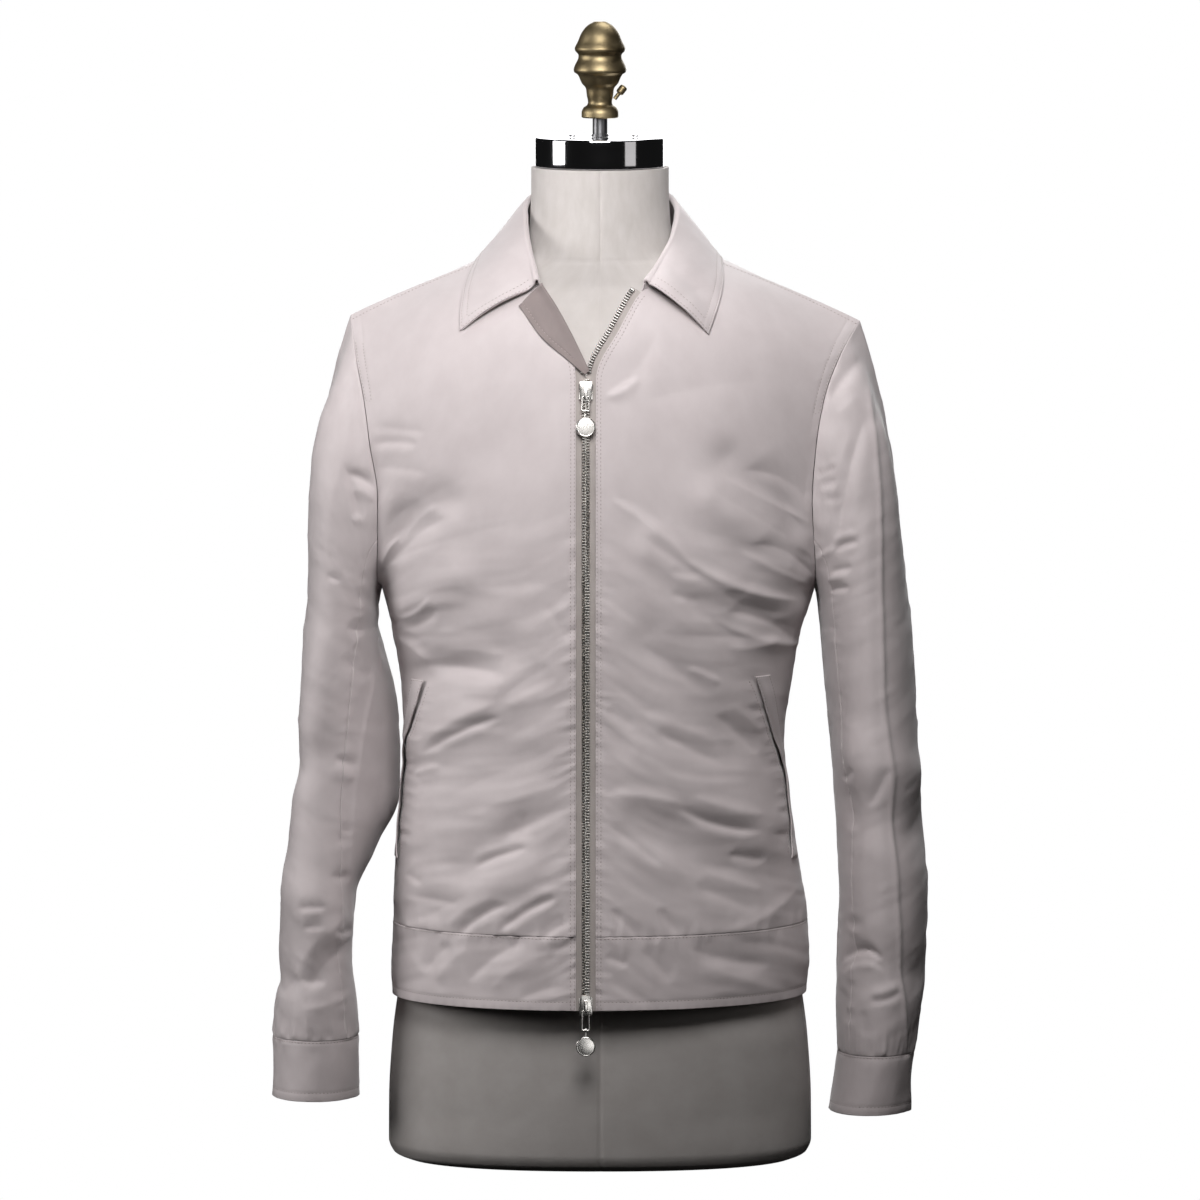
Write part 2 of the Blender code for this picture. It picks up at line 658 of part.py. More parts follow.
def fall_surface(stand_steps, rest_on):
    """The fall's points and their inward steps, kept clear of the fronts and the back."""
    lines, middles = [], []
    for side, place in neck_places():
        out = -unit(stand_steps[key_of(ROLL[side].at(place))])
        line, middle = fall_line(side, place, out, rest_on)
        lines.append(line)
        middles.append(middle)
    grid = np.array(lines).transpose(1, 0, 2)
    for _ in range(CLEARING_PASSES):
        steps = inward_steps([(grid, 1)])
        inner = np.array([[point + steps[key_of(point)] * CLOTH for point in line] for line in grid])
        for i in range(FOLD_STEPS + 1, grid.shape[0] - 1):
            for j, a, b in np.ndindex(grid.shape[1] - 1, 3, 3):
                down, along = a / 2, b / 2
                shares = ((1 - down) * (1 - along), down * (1 - along), (1 - down) * along, down * along)
                corners = ((i, j), (i + 1, j), (i, j + 1), (i + 1, j + 1))
                spot = sum(share * inner[corner] for share, corner in zip(shares, corners))
                push = rest_on(spot, REST, always=False) - spot
                for share, corner in zip(shares, corners):
                    grid[corner] += push * share
    steps = inward_steps([(grid, 1)])
    for i, j in np.ndindex(grid.shape[:2]):
        if i <= FOLD_STEPS:
            steps[key_of(grid[i, j])] = unit(middles[j] - grid[i, j])
    return grid, steps


# ---------------------------------------------------------------- walls

def face_normals(grid, outward):
    """Unit normals of a grid's cells, turned to the side that outward says."""
    down = grid[1:, :-1] - grid[:-1, 1:]
    over = grid[1:, 1:] - grid[:-1, :-1]
    return unit(np.cross(over, down)) * outward


def key_of(point):
    return tuple(int(round(value * 1e7)) for value in point)


def inward_steps(patches):
    """For every point, the step to the inner side; pieces that meet at a seam share it."""
    totals = {}
    for grid, outward in patches:
        normals = face_normals(grid, outward)
        for i, j in np.ndindex(normals.shape[:2]):
            for corner in (grid[i, j], grid[i + 1, j], grid[i, j + 1], grid[i + 1, j + 1]):
                total, count = totals.get(key_of(corner), (np.zeros(3), 0))
                totals[key_of(corner)] = (total + normals[i, j], count + 1)
    steps = {}
    for key, (total, count) in totals.items():
        length = np.linalg.norm(total)
        steps[key] = -total / length / max(length / count, MITRE_LIMIT)
    return steps


def welded(patches):
    """Points and cells of some grids as one surface, with the points that they share joined."""
    points, cells, index = [], [], {}
    for grid, outward in patches:
        numbers = np.empty(grid.shape[:2], dtype=int)
        for i, j in np.ndindex(numbers.shape):
            key = key_of(grid[i, j])
            if key not in index:
                index[key] = len(points)
                points.append(grid[i, j])
            numbers[i, j] = index[key]
        for i, j in np.ndindex(numbers.shape[0] - 1, numbers.shape[1] - 1):
            cell = (numbers[i, j], numbers[i, j + 1], numbers[i + 1, j + 1], numbers[i + 1, j])
            cells.append(cell if outward > 0 else cell[::-1])
    return np.array(points), cells


def split(points, cells):
    """Each cell as two triangles, on both sides of its shorter diagonal."""
    triangles = []
    for a, b, c, d in cells:
        if np.linalg.norm(points[a] - points[c]) < np.linalg.norm(points[b] - points[d]):
            triangles += [(a, b, c), (a, c, d)]
        else:
            triangles += [(b, c, d), (b, d, a)]
    return triangles


def rim_edges(triangles):
    """Edges that only one triangle has, each in its triangle's direction."""
    directed = {(triangle[k], triangle[(k + 1) % 3]) for triangle in triangles for k in range(3)}
    return [edge for edge in sorted(directed) if edge[::-1] not in directed]


def drawn_in(points, steps, rim, amount):
    """Draw a surface's rim in by a small amount, square to its edges and to the wall's depth."""
    square = {}
    for start, end in rim:
        for corner in (start, end):
            aside = unit(np.cross(-steps[corner], points[end] - points[start]))
            square.setdefault(corner, []).append(aside)
    moved = points.copy()
    for corner, sides in square.items():
        first, second = sides[0], sides[-1]
        moved[corner] += amount * (first + second) / max(1 + first @ second, 0.5)
    return moved


def wall(name, patches, steps, thickness, material, gap=SEAM_GAP):
    """A closed wall between a surface of outer points and the same points stepped inward."""
    points, cells = welded(patches)
    inward = np.array([steps[key_of(point)] for point in points]) * thickness
    triangles = split(points, cells)
    rim = rim_edges(triangles)
    outer = drawn_in(points, inward, rim, gap / 2)
    count = len(points)
    faces = triangles + [tuple(corner + count for corner in triangle[::-1]) for triangle in triangles]
    for start, end in rim:
        if key_of(points[start]) > key_of(points[end]):
            faces += [(end, start, end + count), (start, start + count, end + count)]
        else:
            faces += [(end, start, start + count), (end, start + count, end + count)]
    return solid(name, np.concatenate([outer, outer + inward]), faces, material)


def solid(name, points, faces, material, smooth=True):
    mesh = bpy.data.meshes.new(name)
    mesh.from_pydata([tuple(point) for point in points], [], faces)
    build = bmesh.new()
    build.from_mesh(mesh)
    bmesh.ops.recalc_face_normals(build, faces=build.faces)
    build.to_mesh(mesh)
    build.free()
    if smooth:
        mesh.shade_smooth()
        mesh.set_sharp_from_angle(angle=math.radians(40))
    mesh.materials.append(material)
    thing = bpy.data.objects.new(name, mesh)
    bpy.context.scene.collection.objects.link(thing)
    return thing


def tree_of(patches):
    """A search tree of some cloth surfaces, for whatever lies on them."""
    points, cells = welded(patches)
    return BVHTree.FromPolygons([Vector(point) for point in points], split(points, cells))


def resting(tree):
    """A function that sets a point at a given height over the cloth under it."""
    def rest_on(point, lift, always=True):
        spot, normal, _, _ = tree.find_nearest(Vector(point))
        height = (Vector(point) - spot).dot(normal)
        if always or height < lift:
            return np.array(spot + normal * lift)
        return point
    return rest_on


# ---------------------------------------------------------------- turned and swept pieces

def turned(name, profile, material, sides=24):
    """A piece turned about Z, closed at both ends of its profile."""
    points = [(radius * math.cos(2 * math.pi * k / sides), radius * math.sin(2 * math.pi * k / sides), z)
              for radius, z in profile for k in range(sides)]
    faces = [tuple(range(sides)), tuple(range(len(points) - 1, len(points) - sides - 1, -1))]
    for i in range(len(profile) - 1):
        for k in range(sides):
            a, b = i * sides + k, i * sides + (k + 1) % sides
            faces.append((a, b, b + sides, a + sides))
    return solid(name, points, faces, material)


def cylinder(name, radius, start, end, sides, material=None):
    """A plain cylinder between two points."""
    axis = Vector(end) - Vector(start)
    turn = axis.to_track_quat("Z", "Y").to_matrix()
    points = []
    for centre in (Vector(start), Vector(end)):
        for k in range(sides):
            angle = 2 * math.pi * (k + 0.5) / sides
            points.append(centre + turn @ Vector((radius * math.cos(angle), radius * math.sin(angle), 0)))
    faces = [tuple(range(sides)), tuple(range(sides, 2 * sides))]
    faces += [(k, (k + 1) % sides, (k + 1) % sides + sides, k + sides) for k in range(sides)]
    return solid(name, points, faces, material)


def block(name, low, high, material=None):
    """A plain box between two corners."""
    points = [(x, y, z) for x in (low[0], high[0]) for y in (low[1], high[1]) for z in (low[2], high[2])]
    faces = [(0, 1, 3, 2), (4, 6, 7, 5), (0, 4, 5, 1), (2, 3, 7, 6), (0, 2, 6, 4), (1, 5, 7, 3)]
    return solid(name, points, faces, material, smooth=False)


def combine(base, other, operation):
    """Join a shape to another, or cut it out, and drop the tool."""
    modifier = base.modifiers.new(operation, "BOOLEAN")
    modifier.operation = operation
    modifier.solver = "EXACT"
    modifier.object = other
    graph = bpy.context.evaluated_depsgraph_get()
    mesh = bpy.data.meshes.new_from_object(base.evaluated_get(graph))
    base.modifiers.clear()
    base.data = mesh
    bpy.data.objects.remove(other)


def place(thing, frame):
    """Set a piece modelled at the origin into a frame, about its own origin."""
    thing.matrix_world = frame
    return thing


# ---------------------------------------------------------------- materials

def material(name, colour, roughness, metallic=0.0):
    made = bpy.data.materials.new(name)
    made.use_nodes = True
    shader = made.node_tree.nodes["Principled BSDF"]
    shader.inputs["Base Color"].default_value = (*colour, 1)
    shader.inputs["Roughness"].default_value = roughness
    shader.inputs["Metallic"].default_value = metallic
    return made


# ---------------------------------------------------------------- the object

def make_body(shell):
    """Fronts, back, hem band, sleeves, cuffs and collar stand, which share their seams."""
    rows = range(BAND_ROW, SHOULDER_ROW + 1)
    band_rows = [HEM_ROW + (BAND_ROW - HEM_ROW) * step / BAND_STEPS for step in range(BAND_STEPS + 1)]
    pieces = {"back": [], "hem_back": [], "collar_stand": [(stand_grid(), -1)]}
    for side, sign in SIDES.items():
        pieces["front_" + side] = [(panel_grid("front", side, rows), sign)]
        pieces["hem_front_" + side] = [(panel_grid("front", side, band_rows), sign)]
        pieces["back"].append((panel_grid("back", side, rows), -sign))
        pieces["hem_back"].append((panel_grid("back", side, band_rows), -sign))
        pieces["sleeve_top_" + side] = [(sleeve_grid(side, UNDER_SEAM, BACK_SEAM), -sign)]
        pieces["sleeve_under_" + side] = [(sleeve_grid(side, BACK_SEAM, UNDER_SEAM + ROUND), -sign)]
        pieces["cuff_" + side] = [(cuff_grid(side), -sign)]
    steps = inward_steps([patch for patches in pieces.values() for patch in patches])
    for name, patches in pieces.items():
        wall(name, patches, steps, CLOTH, shell)
    return pieces, steps


def make_collar_fall(stand_steps, rest_on, shell):
    grid, steps = fall_surface(stand_steps, rest_on)
    wall("collar_fall", [(grid, 1)], steps, CLOTH, shell)


def make_facing(tree, reverse):
    """The reverse cloth of the right front, where its edge is turned back below the collar.

    Its points are looked for on the front from straight ahead.
    """
    lines = []
    for step in range(FACING_STEPS + 1):
        share = FACING_START + (1 - FACING_START) * step / FACING_STEPS
        fold, sewn = FACING_FOLD.at(share), FACING_SEWN.at(share)
        line = []
        for x, z in (fold, (fold + sewn) / 2, sewn):
            spot, normal, _, _ = tree.ray_cast(Vector((x, AHEAD_Y, z)), Vector((0, 1, 0)))
            if spot is None:
                spot, normal, _, _ = tree.find_nearest(Vector((x, CHEST_Y, z)))
            line.append(np.array((x, spot.y, z)) + np.array(normal) * (FACING + REST))
        lines.append(line)
    patch = (np.array(lines), -1)
    wall("facing_right", [patch], inward_steps([patch]), FACING, reverse)


def make_welt(side, rest_on, shell):
    """A slanted pocket welt, laid on its front."""
    lines = []
    for step in range(WELT_STEPS + 1):
        row, across = WELT_LINE[side].at(step / WELT_STEPS)
        start = panel_point("front", side, row, across)
        inner = unit(panel_point("front", side, row, across - 0.02) - start)
        lines.append([rest_on(start + inner * WELT_WIDTH * line / WELT_LINES, WELT + REST)
                      for line in range(WELT_LINES + 1)])
    patch = (np.array(lines), SIDES[side])
    wall("pocket_welt_" + side, [patch], inward_steps([patch]), WELT, shell)


def edge_at(side, row, steps):
    """A front's edge and the point beside it at a row, with their steps; straight between whole rows."""
    above = max(int(np.searchsorted(ZIP_ROWS, row)), 1)
    low, high = ZIP_ROWS[above - 1], ZIP_ROWS[above]
    share = (row - low) / (high - low)
    ends = []
    for whole in (low, high):
        spot = panel_point("front", side, whole, 0)
        beside = panel_point("front", side, whole, 1 / ACROSS)
        ends.append(np.array((spot, beside, steps[key_of(spot)], steps[key_of(beside)])))
    return ends[0] * (1 - share) + ends[1] * share


def chain_frame(row, steps):
    """Middle of the closed zip at a row, with its directions across, outward and up."""
    left, right = (edge_at(side, row, steps)[0] for side in SIDES)
    below, above = (sum(edge_at(side, row + rise, steps)[0] for side in SIDES) for rise in (-0.1, 0.1))
    across, up = unit(left - right), unit(above - below)
    return (left + right) / 2, across, unit(np.cross(across, up)), up


def make_tape(side, rows, body_steps, tape):
    """One zip tape: out to the middle of the chain, and in behind the edge of its front."""
    grid, steps = [], {}
    for row in rows:
        spot, beside, step, beside_step = edge_at(side, row, body_steps)
        inner = spot + step * TAPE_DEPTH
        under = inner + (beside + beside_step * TAPE_DEPTH - inner) * TAPE_SHARE
        if row > CHAIN_TOP_ROW:
            middle, out = inner - unit(beside - spot) * ZIP_OFFSET, -step
        else:
            across, out = chain_frame(row, body_steps)[1:3]
            middle = inner - across * SIDES[side] * (ZIP_OFFSET - SEAM_GAP / 2)
        line = [middle, inner, under]
        steps.update({key_of(inner): unit(step), key_of(under): unit(step), key_of(middle): -unit(out)})
        grid.append(line)
    wall("zip_tape_" + side, [(np.array(grid), SIDES[side])], steps, TAPE, tape)


def make_zip(body_steps, tape, metal):
    closed_rows = [row for row in ZIP_ROWS if row <= CHAIN_TOP_ROW]
    make_tape("left", ZIP_ROWS, body_steps, tape)
    make_tape("right", closed_rows, body_steps, tape)
    grid, steps = [], {}
    for row in closed_rows:
        middle, across, out, _ = chain_frame(row, body_steps)
        line = [middle + across * reach + out * CHAIN_PROUD for reach in (-CHAIN_HALF, CHAIN_HALF)]
        steps.update({key_of(point): -out for point in line})
        grid.append(line)
    wall("zip_chain", [(np.array(grid), 1)], steps, CHAIN_PROUD + CLOTH, metal)
    grid, steps = [], {}
    for row in (OPEN_TEETH_ROW, GORGE_ROW - 1, LAST_TOOTH_ROW):
        spot, beside, step, _ = edge_at("left", row, body_steps)
        out = -unit(step)
        line = [spot + unit(beside - spot) * reach + out * CHAIN_PROUD
                for reach in (-ZIP_OFFSET, CHAIN_HALF - ZIP_OFFSET)]
        steps.update({key_of(point): -out for point in line})
        grid.append(line)
    wall("zip_teeth_left", [(np.array(grid), 1)], steps, CHAIN_PROUD + CLOTH, metal)


def prism(name, outline, front, back, colour=None):
    """An outline in x and z, given depth along y."""
    points = [(x, y, z) for y in (front, back) for x, z in outline]
    count = len(outline)
    faces = [tuple(range(count)), tuple(range(count, 2 * count))]
    faces += [(k, (k + 1) % count, (k + 1) % count + count, k + count) for k in range(count)]
    return solid(name, points, faces, colour, smooth=False)


def link_mesh(name, length, metal):
    """A rectangular wire link that hangs from its upper bar, which lies on the x axis."""
    corners = ((-LINK_HALF, 0), (LINK_HALF, 0), (LINK_HALF, -length), (-LINK_HALF, -length))
    middle = (0, -length / 2)
    points = []
    for x, z in corners:
        aside = (math.copysign(1, x - middle[0]), math.copysign(1, z - middle[1]))
        for k in range(WIRE_SIDES):
            angle = 2 * math.pi * (k + 0.5) / WIRE_SIDES
            spread = BAR_RADIUS * math.cos(angle)
            points.append((x + aside[0] * spread, BAR_RADIUS * math.sin(angle), z + aside[1] * spread))
    faces = []
    for c in range(4):
        for k in range(WIRE_SIDES):
            a, b = c * WIRE_SIDES + k, c * WIRE_SIDES + (k + 1) % WIRE_SIDES
            d, e = (b + WIRE_SIDES) % (4 * WIRE_SIDES), (a + WIRE_SIDES) % (4 * WIRE_SIDES)
            faces.append((a, b, d, e))
    return solid(name, points, faces, metal)


def disc_mesh(name, metal):
    """A round flat pull with an eye on top, whose hole lies on the x axis."""
    disc = cylinder(name, DISC_RADIUS, (0, -DISC_HALF, -DISC_DROP), (0, DISC_HALF, -DISC_DROP), 28)
    neck = block("neck", (-EYE_HALF, -DISC_HALF, -DISC_DROP), (EYE_HALF, DISC_HALF, -EYE_HOLE * 1.2))
    eye = cylinder("eye", EYE_RADIUS, (-EYE_HALF, 0, 0), (EYE_HALF, 0, 0), 14)
    hole = cylinder("hole", EYE_HOLE, (-2 * EYE_HALF, 0, 0), (2 * EYE_HALF, 0, 0), 12)
    combine(disc, neck, "UNION")
    combine(disc, eye, "UNION")
    combine(disc, hole, "DIFFERENCE")
    disc.data.materials.clear()
    disc.data.materials.append(metal)
    return disc


def make_pull(end, steps, metal):
    """A slider with its link and its disc; each hangs from an origin on its own hinge axis."""
    spot, across, out, up = chain_frame(SLIDER_ROW[end], steps)
    frame = Matrix([[across[k], -out[k], up[k], spot[k]] for k in range(3)] + [[0, 0, 0, 1]])
    flip = 1 if end == "top" else -1
    outline = [(x, z * flip) for x, z in SLIDER_OUTLINE]
    slider = prism("slider_" + end, outline, -SLIDER_FACE[1], -SLIDER_FACE[0])
    low, high = BRIDGE_SPAN
    foot = -SLIDER_FACE[1] + ARCH_SINK
    arch = block("arch", (-BRIDGE_HALF, -BRIDGE_TOP, low), (BRIDGE_HALF, foot, high))
    window = block("window", (-2 * BRIDGE_HALF, -BRIDGE_TOP + BRIDGE_WALL, low + BRIDGE_WALL),
                   (2 * BRIDGE_HALF, -SLIDER_FACE[1], high - BRIDGE_WALL))
    combine(arch, window, "DIFFERENCE")
    combine(slider, arch, "UNION")
    slider.data.materials.clear()
    slider.data.materials.append(metal)
    place(slider, frame)
    hinge = frame @ Matrix.Translation((0, -BAR_SPOT[0], BAR_SPOT[1]))
    place(link_mesh("pull_link_" + end, LINK_LENGTH[end], metal), hinge)
    place(disc_mesh("pull_disc_" + end, metal), hinge @ Matrix.Translation((0, 0, -LINK_LENGTH[end])))


def make_form(canvas, chrome, brass, steel):
    rings = []
    for z, half_width, front, back, power in FORM.rows:
        for k in range(FORM_SIDES):
            angle = 2 * math.pi * k / FORM_SIDES
            wide, deep = math.cos(angle), math.sin(angle)
            x = half_width * math.copysign(abs(wide) ** (2 / power), wide)
            y = (back if deep > 0 else front) * math.copysign(abs(deep) ** (2 / power), deep)
            rings.append((x, y, z))
    count = len(FORM.rows)
    faces = [tuple(range(FORM_SIDES)), tuple(range((count - 1) * FORM_SIDES, count * FORM_SIDES))]
    for i in range(count - 1):
        for k in range(FORM_SIDES):
            a, b = i * FORM_SIDES + k, i * FORM_SIDES + (k + 1) % FORM_SIDES
            faces.append((a, b, b + FORM_SIDES, a + FORM_SIDES))
    solid("form_body", rings, faces, canvas)
    turned("neck_cap", CAP_PROFILE, chrome, 36)
    turned("rod", ROD_PROFILE, steel, 16)
    turned("finial", FINIAL_PROFILE, brass, 24)
    for side, x in CAP_SCREW_X.items():
        screw = turned("cap_screw_" + side, SCREW_PROFILE, chrome, 10)
        screw.location = (x, 0, CAP_TOP_Z + SEAM_GAP)
    thumb = turned("thumb_screw", THUMB_PROFILE, brass, 12)
    thumb.location = THUMB_FOOT
    thumb.rotation_euler = (0, math.radians(THUMB_LEAN), 0)


def main():
    for thing in list(bpy.data.objects):
        bpy.data.objects.remove(thing)
    shell = material("shell", (0.60, 0.545, 0.52), 0.62)
    reverse = material("reverse", (0.29, 0.235, 0.205), 0.70)
    canvas = material("canvas", (0.55, 0.50, 0.43), 0.85)
    chrome = material("chrome", (0.80, 0.80, 0.82), 0.06, 1.0)
    brass = material("brass", (0.42, 0.31, 0.13), 0.38, 1.0)
    steel = material("steel", (0.22, 0.22, 0.22), 0.35, 1.0)
    nickel = material("nickel", (0.62, 0.60, 0.58), 0.25, 1.0)
    tape = material("tape", (0.50, 0.45, 0.42), 0.80)
    pieces, steps = make_body(shell)
    tree = tree_of(pieces["front_left"] + pieces["front_right"] + pieces["back"])
    rest_on = resting(tree)
    make_collar_fall(steps, rest_on, shell)
    make_facing(tree_of(pieces["front_right"]), reverse)
    for side in SIDES:
        make_welt(side, rest_on, shell)
    make_zip(steps, tape, nickel)
    for end in SLIDER_ROW:
        make_pull(end, steps, nickel)
    make_form(canvas, chrome, brass, steel)
    bpy.context.view_layer.update()


main()
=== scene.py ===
"""Looks of a zipped blouson jacket on a limbless tailor's dress form, built around its solids.

Metres, +Z up. The front faces -Y and the wearer's left is +X. Each cloth piece is a thin closed
shell whose outer surface follows the same tables as its solid, with creases, gathers and rounded
edges worked into it. Stitches, teeth and pulls are pieces of their own. Creases are rows of sizes,
set one by one.
"""

import json
import math

import bmesh
import bpy
import numpy as np
from mathutils import Matrix, Vector
from mathutils.bvhtree import BVHTree

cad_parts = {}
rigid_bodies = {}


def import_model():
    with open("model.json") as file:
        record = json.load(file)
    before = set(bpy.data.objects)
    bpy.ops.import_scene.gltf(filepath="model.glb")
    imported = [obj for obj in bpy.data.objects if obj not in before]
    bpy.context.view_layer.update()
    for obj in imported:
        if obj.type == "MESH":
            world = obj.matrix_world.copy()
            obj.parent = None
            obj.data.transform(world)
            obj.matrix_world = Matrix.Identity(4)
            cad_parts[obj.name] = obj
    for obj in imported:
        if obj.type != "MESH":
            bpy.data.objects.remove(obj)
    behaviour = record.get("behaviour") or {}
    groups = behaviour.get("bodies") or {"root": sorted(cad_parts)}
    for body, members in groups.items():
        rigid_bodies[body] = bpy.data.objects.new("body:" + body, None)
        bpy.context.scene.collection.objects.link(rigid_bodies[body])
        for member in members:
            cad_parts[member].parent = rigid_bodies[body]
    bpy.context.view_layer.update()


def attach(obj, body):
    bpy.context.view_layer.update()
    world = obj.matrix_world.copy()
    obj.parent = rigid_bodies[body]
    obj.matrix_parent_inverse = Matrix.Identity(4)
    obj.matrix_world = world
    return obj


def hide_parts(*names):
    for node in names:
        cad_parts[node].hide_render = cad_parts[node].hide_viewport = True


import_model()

BODY = "garment_and_form"
SIDES = {"left": 1, "right": -1}

# Rows of the body: the hem edge, the band seam, the armpit, the gorge, the nape and the shoulder seam
HEM_ROW, BAND_ROW, ARMPIT_ROW, GORGE_ROW, NAPE_ROW, SHOULDER_ROW = -3, 0, 12, 18, 19, 24
GORGE_PLACE = 2 * SHOULDER_ROW - NAPE_ROW - GORGE_ROW
ROUND = 2 * (SHOULDER_ROW - ARMPIT_ROW)

# Sleeves: seams counted round from the armpit, half a cuff's slit, the sleeve head, and the girth
UNDER_SEAM, BACK_SEAM, SLIT_SHARE = 3, 16, 0.18
CAP_END_Z, CAP_REACH, CAP_SLOPE = 0.455, 0.34, 0.14
SLEEVE_GIRTH = 0.34

# Cloth: wall, half the gap at a seam, roundness at a seam and at a free edge, and mesh steps
WALL = 0.0013
SEAM_INSET = 0.00012
SEAM, FREE = 0.0009, 0.0006
BODY_STEP, BACK_STEP, SLEEVE_STEP = 0.0020, 0.0025, 0.0022
COLLAR_PLACE_STEP, STAND_LINES = 0.115, 25
LEAST_WALL, FORM_CLEARANCE = 0.0003, 0.0012

# Rows of stitches: how far each lies from its edge, and where the rows of an armhole start
ZIP_STITCHES, ARMHOLE_STITCHES, COLLAR_STITCHES = (0.0014, 0.0046), (0.0018, 0.0088), (0.0018, 0.0080)
HEM_STITCH, BAND_STITCH, SHOULDER_STITCH, CUFF_STITCH, VENT_STITCH = 0.0075, 0.0017, 0.0046, 0.0016, 0.0045
WELT_STITCH, FACING_STITCH, MOUTH_STITCH = 0.0020, 0.0040, 0.0068
ARMHOLE_BAR_Z = {"left": 0.641, "right": 0.651}
ZIP_STITCH_TOP_ROW, ARMHOLE_STITCH_TOP_Z, SHOULDER_STITCH_X, COLLAR_STITCH_START = 17.8, 0.70, 0.100, 0.012

# One stitch: pitch, share of the pitch, thickness, and the hollow that its row pulls into the cloth
STITCH_PITCH, STITCH_SHARE, STITCH_THICK, STITCH_TURN = 0.00327, 0.60, 0.00034, 0.035
STITCH_DIP, STITCH_DIP_BREADTH = 0.00028, 0.0009
STITCH_SIDES = 5
STITCH_RINGS = ((0.0, 0.35, -0.9), (0.24, 0.95, 0.1), (0.76, 0.95, 0.1), (1.0, 0.35, -0.9))

# First numbers of the random draws
SEEDS = {"front": 11, "back": 23, "sleeve": 61, "cuff": 91, "stand": 131, "fall": 141, "facing": 151,
         "welt": 171, "stitches": 5}
NET = (64, 64)

# Shape of a crease, of the folds' fading, and of the eased bend that starts at the armpit
GENTLE_FLANK, CREASE_SHARE = 0.35, 0.66
FOLD_FADE = 0.22
EASING = ((-3.0, 0.12), (-1.5, 0.24), (0, 0.28), (1.5, 0.24), (3.0, 0.12))

# Low waves: size and height. Drag lines: length, breadth and height
WAVES = {
    "body": (0.070, 0.0005),
    "sleeve": (0.060, 0.0005),
    "cuff": (0.040, 0.0008),
    "stand": (0.03, 0.0003),
    "fall": (0.040, 0.0005),
    "facing": (0.020, 0.0003),
}
DRAG = {"low": (0.050, 0.015, 0.00062), "high": (0.070, 0.030, 0.00030), "sleeve": (0.050, 0.016, 0.0004)}
DRAG_SLOPE = {"front": 0.42, "back": -0.25}

# Gathers: where they start and end along the seam (None: all along), pitch, reach, height and slant
GATHERS = {
    "band": (None, 0.0085, 0.013, -0.00085, 0.0),
    "zip": ((0.14, 0.62), 0.0066, 0.013, -0.00075, -0.35),
    "mouth": ((0.20, 0.44), 0.0075, 0.006, -0.0006, 0.0),
    "armhole": ((0.50, 0.70), 0.012, 0.010, -0.00055, 0.0),
    "side": ((0.14, 0.49), 0.011, 0.010, -0.00060, 0.0),
    "sleeve_foot": ((0, SLEEVE_GIRTH), 0.0085, 0.017, -0.0011, 0.0),
    "sleeve_head": ((0, SLEEVE_GIRTH), 0.0125, 0.011, -0.0008, 0.0),
    "sleeve_seam": ((0.09, 0.56), 0.010, 0.008, -0.0006, 0.0),
    "cuff_top": ((0, SLEEVE_GIRTH), 0.0095, 0.009, -0.0006, 0.0),
    "cuff_foot": ((0, SLEEVE_GIRTH), 0.009, 0.006, -0.0003, 0.6),
}

# Roping of the hem: slope, pitch and height of its ridges
ROPING_SLOPE, ROPING_PITCH, ROPING_HEIGHT = 0.55, 0.0082, 0.00034

# Distances over which relief fades out beside an edge: creases, soft waves, gathers and puckers
CREASE_FADE, ZIP_FADE, CALM_FADE, GATHER_FADE, PUCKER_FADE = 0.011, 0.009, 0.03, 0.01, 0.004

# Collar: the round of its fold and how the fall leaves it
FOLD_RADIUS, FOLD_INSET, FOLD_LIFT, FOLD_LINES = 0.0028, 0.0020, 0.00045, 9
FALL_WALL, FALL_REST, EDGE_REST = 0.0019, 0.0011, 0.0013
FALL_LEAD = (0.22, 0.08)
FRONT_FALL_LEAD = {"left": (0.02, 0.26), "right": (0.12, 0.12)}
FRONT_FALL_PLACE = 8
COLLAR_LIFT, COLLAR_LIFT_BREADTH = {"left": 0.0062, "right": 0.0036}, 0.030
FALL_SHARES = (*np.linspace(0, 0.84, 30), 0.862, 0.884, 0.90, 0.914, 0.928, 0.945, 0.963, 0.975, 0.985,
               0.996, 1.0)

# Zip: how far its middle lies beyond a front's edge, the rows of its teeth, one tooth, and the tape
ZIP_OFFSET = 0.00825
TOOTH_PITCH = 0.00242
CHAIN_FOOT_ROW, CHAIN_TOP_ROW, LAST_TOOTH_ROW = HEM_ROW + 0.12, 16, 17.9
OPEN_TEETH_LEAD, RIGHT_TEETH_ROWS, OPEN_TEETH_START = 0.03, 0.25, 0.0010
TAPE_DEPTH, TAPE_SINK, TAPE_WALL = 0.0024, 0.0014, 0.0007
TAPE_GAPS = (0.00015, 0.0006, 0.0013, 0.0022, 0.0033, 0.0045, 0.0057, 0.0070, ZIP_OFFSET, 0.0095,
             0.0108, 0.0121, 0.0134)
TOOTH_OUTLINE = ((-0.0033, 0.00051), (-0.0012, 0.00051), (-0.0005, 0.00041), (0.0002, 0.00054),
                 (0.0006, 0.00040), (0.0009, 0.00020))
TOOTH_LEVELS = ((-0.0025, 1.0, 0.0), (0.0002, 1.0, 0.0), (0.0006, 0.5, 0.00022))
STOP_SIZE = 2.2

